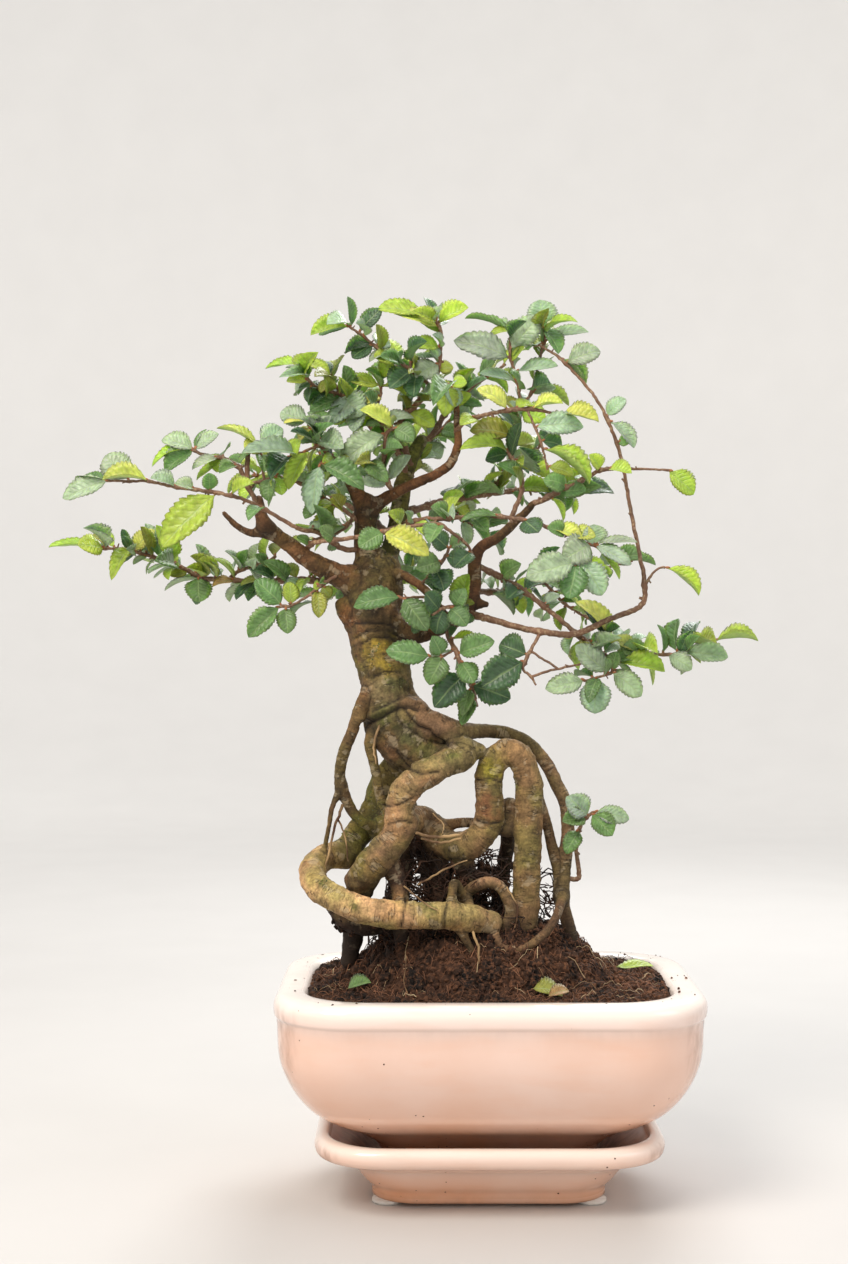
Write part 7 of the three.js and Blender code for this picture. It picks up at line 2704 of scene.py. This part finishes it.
@dataclass
class RootTangle:
    """Fine dry roots between the bared legs, hanging rootlets and the peat that clings to them."""

    bundles: Sequence[Sequence[Any]] = (
        (430, (-36, -11, 90), (8, 13, 118)),
        (80, (4, 0, 90), (25, 12, 116)),
        (130, (-30, -2, 108), (4, 10, 127)),
        (260, (-42, -17, 84), (12, 8, 99)),
    )
    clods: Sequence[Sequence[Any]] = (
        (1500, (-40, -13, 84), (20, 12, 106)),
        (500, (-56, -15, 93), (-36, -5, 102)),
        (300, (-22, -6, 100), (6, 8, 118)),
    )

    def build(self, fibre: bpy.types.NodeTree, dark: bpy.types.NodeTree, crumb: bpy.types.NodeTree) -> None:
        """Makes the rootlets and the clods caught between them.

        Args:
            fibre: the tree of the pale rootlets.
            dark: the tree of the matted ones.
            crumb: the tree of the clods.
        """
        drawn = np.random.default_rng(7)
        tangle = Threads("root_tangle")
        for count, low, high in self.bundles:
            middle = (np.array(low) + high) / 2
            for _ in range(count):
                place = drawn.uniform(low, high)
                reach = drawn.normal(size=3) * (1, 0.7, 0.8)
                line = [place]
                for _ in range(int(drawn.integers(6, 14))):
                    reach = reach / np.linalg.norm(reach) + drawn.normal(size=3) * 0.32
                    reach = reach + (middle - line[-1]) * 0.006
                    line.append(line[-1] + reach / np.linalg.norm(reach) * 1.6)
                points = np.clip(np.array(line), np.array(low) - 1, np.array(high) + 1)
                radius = drawn.uniform(0.14, 0.42)
                tangle.add(points, np.linspace(radius, radius * 0.5, len(points)))
        tangle.build(dark, 4, "bark")
        hanging = Threads("rootlets")
        for rows in HANGING:
            line = Stem(rows).along(1.5)
            hanging.add(line[:, :3] + drawn.normal(size=(len(line), 3)) * 0.12, line[:, 3])
        hanging.build(fibre, 5, "bark")
        grains = [
            drawn.uniform(0, 0.5, (2, count, 3)).sum(axis=0) * (np.array(high) - low) + low
            for count, low, high in self.clods
        ]
        clods = new_object("root_clods", np.vstack(grains))
        grown(clods, crumb, {"Least radius": 0.4 * MM, "Greatest radius": 1.9 * MM})
        finished(clods)


# Rootlets that hang free: forks at the left, a pair under the trunk's foot, pale ones over the soil.
HANGING: list[list[Row]] = [
    [[-52, -6, 139, 0.6], [-55, -8, 131, 0.5], [-57, -9, 122, 0.4], [-60, -10, 112, 0.3]],
    [[-54, -7, 134, 0.4], [-51, -9, 127, 0.3], [-50, -10, 119, 0.2]],
    [[-39, -8, 168, 0.5], [-41, -10, 160, 0.4], [-40, -11, 154, 0.25]],
    [[-26, -18, 130, 0.55], [-20, -17, 128.5, 0.6], [-13, -17, 129, 0.55], [-8, -15, 130, 0.4]],
    [[-24, -17, 128, 0.5], [-17, -17, 126.5, 0.5], [-10, -16, 128, 0.4]],
    [[-20, -18, 137, 0.2], [-16, -19, 133, 0.18], [-17, -19, 129, 0.12]],
    [[-6, -22, 96, 0.5], [-4, -25, 91, 0.45], [-4, -27, 86, 0.35]],
    [[-25, -20, 112, 0.35], [-15, -22, 118, 0.35], [-8, -22, 121, 0.2]],
    [[-30, -24, 112, 0.3], [-22, -26, 106, 0.3], [-18, -27, 104, 0.2]],
    [[-29, -26, 88, 0.16], [-30, -30, 80, 0.16], [-28.5, -33, 76, 0.12]],
    [[6, -18, 111, 0.3], [10, -20, 104, 0.3], [9, -20, 97, 0.2]],
]


@dataclass
class Ground:
    """The soil with its crumbs, fibres and spilt grains."""

    soil: Soil
    fibres: int = 1100
    curl: float = 0.16
    spilt: int = 110
    rim: Sequence[float] = (65.5, 71.5, 18, 24, 76.15)
    bare_z: float = 71
    spread: Sequence[float] = (61, 43)

    def bare_share(self, mesh: bpy.types.Mesh) -> np.ndarray:
        """1 where crumbs may lie: on the upper side, inside the rim."""
        points, normals = Wood.state(mesh)
        return ((points[:, 2] > self.bare_z) & (normals[:, 2] > 0.15)).astype(float)

    def spill(self, drawn: np.random.Generator, grains: bpy.types.NodeTree) -> None:
        """Drops loose grains on the pot's rim.

        Args:
            drawn: where the random numbers come from.
            grains: the tree of the grains.
        """
        points = []
        inner, outer, narrower, corner, z = self.rim
        for _ in range(self.spilt):
            half_width = drawn.uniform(inner, outer)
            ring = rounded_ring(half_width, half_width - narrower, corner, z)
            points.append(ring[int(drawn.integers(len(ring)))])
        made = new_object("spilt_grains", points)
        grown(made, grains, {"Least radius": 0.12 * MM, "Greatest radius": 0.75 * MM})
        finished(made)

    def build(
        self,
        peat: bpy.types.Material,
        crumbs: bpy.types.NodeTree,
        grains: bpy.types.NodeTree,
        coir: bpy.types.NodeTree,
        pale: bpy.types.NodeTree,
    ) -> None:
        """Makes the soil's body, its crumbs, its fibres and the grains spilt on the rim.

        Args:
            peat: the soil's material.
            crumbs: the tree of the crumbs.
            grains: the tree of the spilt grains.
            coir: the tree of the fibres.
            pale: the tree of the pale, sun-whitened rootlets.
        """
        body = self.soil.body()
        store(body.data, "bare", "FLOAT", self.bare_share(body.data))
        loose = twin(body, "soil_crumbs")
        finished(body, peat, ["soil"])
        grown(loose, crumbs, {"Density": 700000.0, "Least radius": 0.3 * MM, "Greatest radius": 2.1 * MM})
        finished(loose)
        drawn = np.random.default_rng(3)
        self.spill(drawn, grains)
        self.scatter("soil_fibres", coir, drawn, self.fibres, (2, 8), (0.07, 0.2), 3)
        self.scatter("soil_rootlets", pale, drawn, 110, (3, 14), (0.08, 0.2), 3)

    def scatter(
        self,
        name: str,
        tree: bpy.types.NodeTree,
        drawn: np.random.Generator,
        count: int,
        lengths: Sequence[float],
        radii: Sequence[float],
        sides: int,
    ) -> None:
        """Lays curled threads over the soil.

        Args:
            name: the object's name.
            tree: the tree that gives the threads their bodies.
            drawn: where the random numbers come from.
            count: how many threads.
            lengths: least and greatest length.
            radii: least and greatest radius.
            sides: how many sides a thread has.
        """
        threads = Threads(name)
        while len(threads.points) < count:
            x, y = (drawn.uniform(-reach, reach) for reach in self.spread)
            if math.hypot(max(0, abs(x) - 40) / 22, max(0, abs(y) - 22) / 22) > 0.95:
                continue
            length, heading = drawn.uniform(*lengths), drawn.uniform(0, math.tau)
            steps = max(4, int(length / 1.1))
            turns = np.cumsum(drawn.normal(0, self.curl, steps)) + heading
            run = np.column_stack([np.cos(turns), np.sin(turns)]) * length / steps
            line = np.vstack([[x, y], np.array([x, y]) + np.cumsum(run, axis=0)])
            inside = (np.abs(line) < np.array(self.spread) + 1).all(axis=1)
            line = line[: len(line) if inside.all() else int(np.argmin(inside))]
            if len(line) < 4:
                continue
            lift = 0.5 + drawn.uniform(0, 2.4) * np.sin(np.linspace(0, math.pi, len(line)))
            heights = [self.soil.height(*place) + self.soil.rough(*place, 0.5) for place in line]
            points = np.column_stack([line, np.array(heights) + lift])
            radius = drawn.uniform(*radii)
            threads.add(points, np.linspace(radius, radius * 0.6, len(points)))
        threads.build(tree, sides, "soil")


@dataclass
class FallenLeaves:
    """The leaves that have dropped on the soil."""

    soil: Soil
    leaf: bpy.types.Material
    rows: Sequence[Sequence[Any]] = (
        (-50, -28, 20, 9, 7, LEAF),
        (14, -32, -10, 11, 7, OLIVE),
        (19, -40, 25, 8.5, 5, DRY),
        (47, 13, 4, 15, 5.5, LIME),
    )
    lift: float = 1.3
    slope: float = 0.4

    def build(self, shapes: Sequence[bpy.types.Object]) -> None:
        """Lays each leaf on the soil for its CAD node.

        Args:
            shapes: the blades to lay.
        """
        for number, (x, y, heading, length, width, tone) in enumerate(self.rows, 1):
            shape = shapes[number % len(shapes)].data
            count = len(shape.vertices)
            points = read_back(shape.vertices, "co", count, 3) * (length, width, length)
            angle = math.radians(heading)
            turned = np.column_stack(
                [
                    x + points[:, 0] * math.cos(angle) - points[:, 1] * math.sin(angle),
                    y + points[:, 0] * math.sin(angle) + points[:, 1] * math.cos(angle),
                    points[:, 2] * 0.6 + self.lift,
                ]
            )
            turned[:, 2] += (turned[:, 1] - y + width / 2) * self.slope
            for point in turned:
                point[2] += self.soil.height(point[0], point[1])
            name = f"fallen_leaf_{number}"
            made = new_object(name, turned, [tuple(face.vertices) for face in shape.polygons])
            places = read_back(shape.attributes["blade"].data, "vector", count, 3)
            store(made.data, "blade", "FLOAT_VECTOR", places)
            store(made.data, "leaf_colour", "FLOAT_COLOR", np.tile(linear(tone.value), (count, 1)))
            finished(made, self.leaf, [name])


# Studio


@dataclass
class Studio:
    """Pale paper swept up all round the tree, soft lights and the camera."""

    camera_place: Sequence[float] = (-23, -680, 201)
    lens: float = 53.4
    floor_reach: float = 1250.0
    sweep: float = 550.0
    wall_height: float = 1700.0
    sides: int = 96
    lamps: Sequence[Sequence[Any]] = (
        ("key", (-420, -560, 860), (-20, 0, 180), 480, 8.8, "FFF6EC"),
        ("fill", (1000, -560, 820), (-20, 0, 180), 700, 2.6, "F4F7FF"),
        ("rim", (180, 620, 760), (-20, 0, 180), 500, 6, "FFFFFF"),
        ("roof", (0, 0, 1650), (0, 0, 0), 1500, 8, "F8FAFF"),
    )

    def paper(self) -> bpy.types.Object:
        """Makes the paper: a round floor that sweeps up into a wall on every side.

        Returns:
            The paper.
        """
        bend = np.linspace(0, math.pi / 2, 20)
        profile = [(self.floor_reach * share, 0.0) for share in (0.1, 0.4, 0.8)]
        profile += [
            (self.floor_reach + self.sweep * math.sin(a), self.sweep - self.sweep * math.cos(a)) for a in bend
        ]
        profile.append((self.floor_reach + self.sweep, self.wall_height))
        turns = np.linspace(0, math.tau, self.sides, endpoint=False)
        points = [(r * math.cos(t), r * math.sin(t), z - 0.05) for r, z in profile for t in turns]
        faces = [tuple(range(self.sides))]
        for row in range(len(profile) - 1):
            for place in range(self.sides):
                after = (place + 1) % self.sides
                low, high = row * self.sides, (row + 1) * self.sides
                faces.append((low + after, low + place, high + place, high + after))
        made = new_object("paper", points, faces)
        made.data.materials.append(StudioPaper("Studio paper", 0.75).material())
        made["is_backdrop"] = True
        return made

    def light(self, name: str, place: Row, aim: Row, size: float, power: float, colour: str) -> None:
        """Adds a soft area light.

        Args:
            name: its name.
            place: where it stands.
            aim: the point it looks at.
            size: side of its square in millimetres.
            power: watts.
            colour: its colour.
        """
        data = bpy.data.lights.new(name, "AREA")
        data.shape, data.size, data.energy = "SQUARE", size * MM, power
        data.color = linear(colour)[:3]
        lamp = bpy.data.objects.new(name, data)
        here, there = (Vector(drawing.place(point)[0]) for point in (place, aim))
        lamp.location = here
        lamp.visible_camera = False
        lamp.rotation_euler = (there - here).to_track_quat("-Z", "Y").to_euler()
        bpy.context.scene.collection.objects.link(lamp)

    def build(self) -> None:
        """Sets the stage."""
        self.paper()
        for lamp in self.lamps:
            self.light(*lamp)
        world = bpy.data.worlds.new("studio")
        world.use_nodes = True
        feed(world.node_tree.nodes["Background"], {"Color": linear("F3F4F6"), "Strength": 0.25})
        bpy.context.scene.world = world
        data = bpy.data.cameras.new("camera")
        data.lens, data.sensor_width = self.lens, 36
        data.clip_start, data.clip_end = 0.01, 20
        camera = bpy.data.objects.new("camera", data)
        camera.location = drawing.place(self.camera_place)[0]
        camera.rotation_euler = Euler((math.pi / 2, 0, 0))
        bpy.context.scene.collection.objects.link(camera)
        bpy.context.scene.camera = camera
        bpy.context.scene.view_settings.view_transform = "Standard"


# Walls of the pot and the tray: rows of half width and height, from the underside over the rim to the floor.
POT_OUTSIDE = (
    (35, 12), (36.8, 14), (40, 19), (44, 22.5), (49.5, 26.2), (56.4, 29.6), (63.3, 34.8), (69.5, 43.4),
    (73.3, 53.7), (74.2, 67.6), (75, 69.2), (75, 73.4), (72.6, 76),
)
POT_INSIDE = (
    (65.8, 76), (63.5, 73.6), (63.5, 68), (66.5, 61), (65.8, 51), (60, 41), (50, 33.5), (40, 27.5), (32, 19),
)
TRAY_INSIDE = ((56.9, 25), (55.9, 23), (52.5, 19.6), (47.5, 16.5), (43, 11.5), (39.5, 7))
TRAY_OUTSIDE = (
    (41.5, 1.5), (42, 4.8), (44.3, 7.5), (49.1, 13.8), (55.5, 17.4), (60.1, 18.6), (61.25, 20.4),
    (61.25, 23.4), (59.5, 25),
)
# How dark the wall is marked: place along its profile, counted in rows, and share. The narrow peak just under
# each rim is painted shade, the inside of the tray partly dirt and partly painted shade, the rest dirt.
POT_GRIME_AND_SHADE = (
    (0, 0.5), (3, 0.12), (6, 0), (8.6, 0), (9.1, 0.16), (9.6, 0), (12, 0), (14, 0.4), (16, 0.9), (22, 0.9),
)
TRAY_GRIME_AND_SHADE = ((0, 0.3), (1, 0), (4.4, 0), (5, 0.12), (6, 0), (9.5, 0), (11, 0.45), (12.5, 0.85), (15, 0.9))


def shape_collection(made: Sequence[bpy.types.Object]) -> bpy.types.Collection:
    """Puts objects in a collection of their own, out of the scene.

    Args:
        made: the objects.

    Returns:
        The collection.
    """
    collection = bpy.data.collections.new("blades")
    for shape in made:
        for holder in list(shape.users_collection):
            holder.objects.unlink(shape)
        collection.objects.link(shape)
    return collection


def moss_object(wood: bpy.types.Object, tree: bpy.types.NodeTree) -> bpy.types.Object:
    """Grows moss where the wood's attribute "moss" is high.

    Args:
        wood: the finished body of the wood.
        tree: the tree that grows the tufts.

    Returns:
        The finished moss.
    """
    tufts = twin(wood, "moss")
    cover = read_back(tufts.data.attributes["moss"].data, "value", len(tufts.data.vertices))
    store(tufts.data, "bare", "FLOAT", smoothstep(cover, 0.3, 0.75))
    grown(tufts, tree, {"Density": 1600000.0, "Least radius": 0.12 * MM, "Greatest radius": 0.42 * MM})
    return finished(tufts)


def main() -> None:
    """Builds everything, dresses it and hands it to the frame."""
    logging.basicConfig(level=logging.INFO, format="%(message)s")
    glaze = GlazedStoneware("Glazed stoneware, cream and pink", 0.16, 1.52).material()
    rubber = CastRubber("Soft white rubber", 0.55).material()
    netting = WovenPolypropylene("Polypropylene netting", 0.42, 1.49).material()
    peat = Peat("Damp peat", 0.92, 1.4).material()
    coir = RootFibre("Coir fibre", 0.8, 1.45, other="94664A", colour="3C2216").material()
    fibre = RootFibre("Dry root fibre", 0.8, 1.45, other="B39468", colour="4C3220").material()
    matted = RootFibre("Matted root fibre", 0.85, 1.45, other="4E3220", colour="1C120C").material()
    pale = RootFibre("Bleached root fibre", 0.75, 1.45, other="D8C29A", colour="8A6A48").material()
    bark = ElmBark("Elm bark", 0.82, 1.45).material()
    twig = TwigBark("Elm twig bark", 0.6, 1.45).material()
    leaf = ElmLeaf("Elm leaf", 0.36, 1.42).material()
    bud = BudScale("Elm bud scale", 0.5, 1.45).material()
    moss = CushionMoss("Cushion moss", 0.9, 1.4).material()

    Pot("pot", 150, 114, 28, POT_OUTSIDE, POT_INSIDE, POT_GRIME_AND_SHADE).build(glaze)
    tray_glaze = GlazedStoneware(
        "Glazed stoneware, pale tray",
        0.2,
        lip="F0D9CC",
        blush="E8C7B6",
        foot_z=2,
        rim_z=25,
        half_width=60,
    ).material()
    Vessel("tray", 122.5, 91, 24, TRAY_OUTSIDE, TRAY_INSIDE, TRAY_GRIME_AND_SHADE).build(tray_glaze)
    Pads().build(rubber)
    DrainMesh().build(netting)

    soil = Soil()
    crumbs = crumb_tree("crumbs", peat)
    grains = crumb_tree("grains", peat, False)
    Ground(soil).build(peat, crumbs, grains, thread_tree("coir", coir), thread_tree("rootlets", pale))

    wood = Wood()
    body = wood.build(bark)
    moss_object(body, crumb_tree("moss", moss))
    RootTangle().build(thread_tree("fibres", fibre), thread_tree("matted", matted), grains)

    shapes = [shape.build() for shape in SHAPES]
    Crown(wood).build(spray_tree(twig, leaf, bud, shape_collection(shapes)))
    FallenLeaves(soil, leaf).build(shapes)
    for shape in shapes:
        bpy.data.objects.remove(shape)

    Studio().build()
    save_sizes()


def save_sizes() -> None:
    """Works out the boxes of the CAD and of what is shown, but keeps them nowhere."""
    boxes = {"cad": cad_box, "visual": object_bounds()}
    {name: [list(corner) for corner in box] for name, box in boxes.items()}


if __name__ == "__main__":
    main()
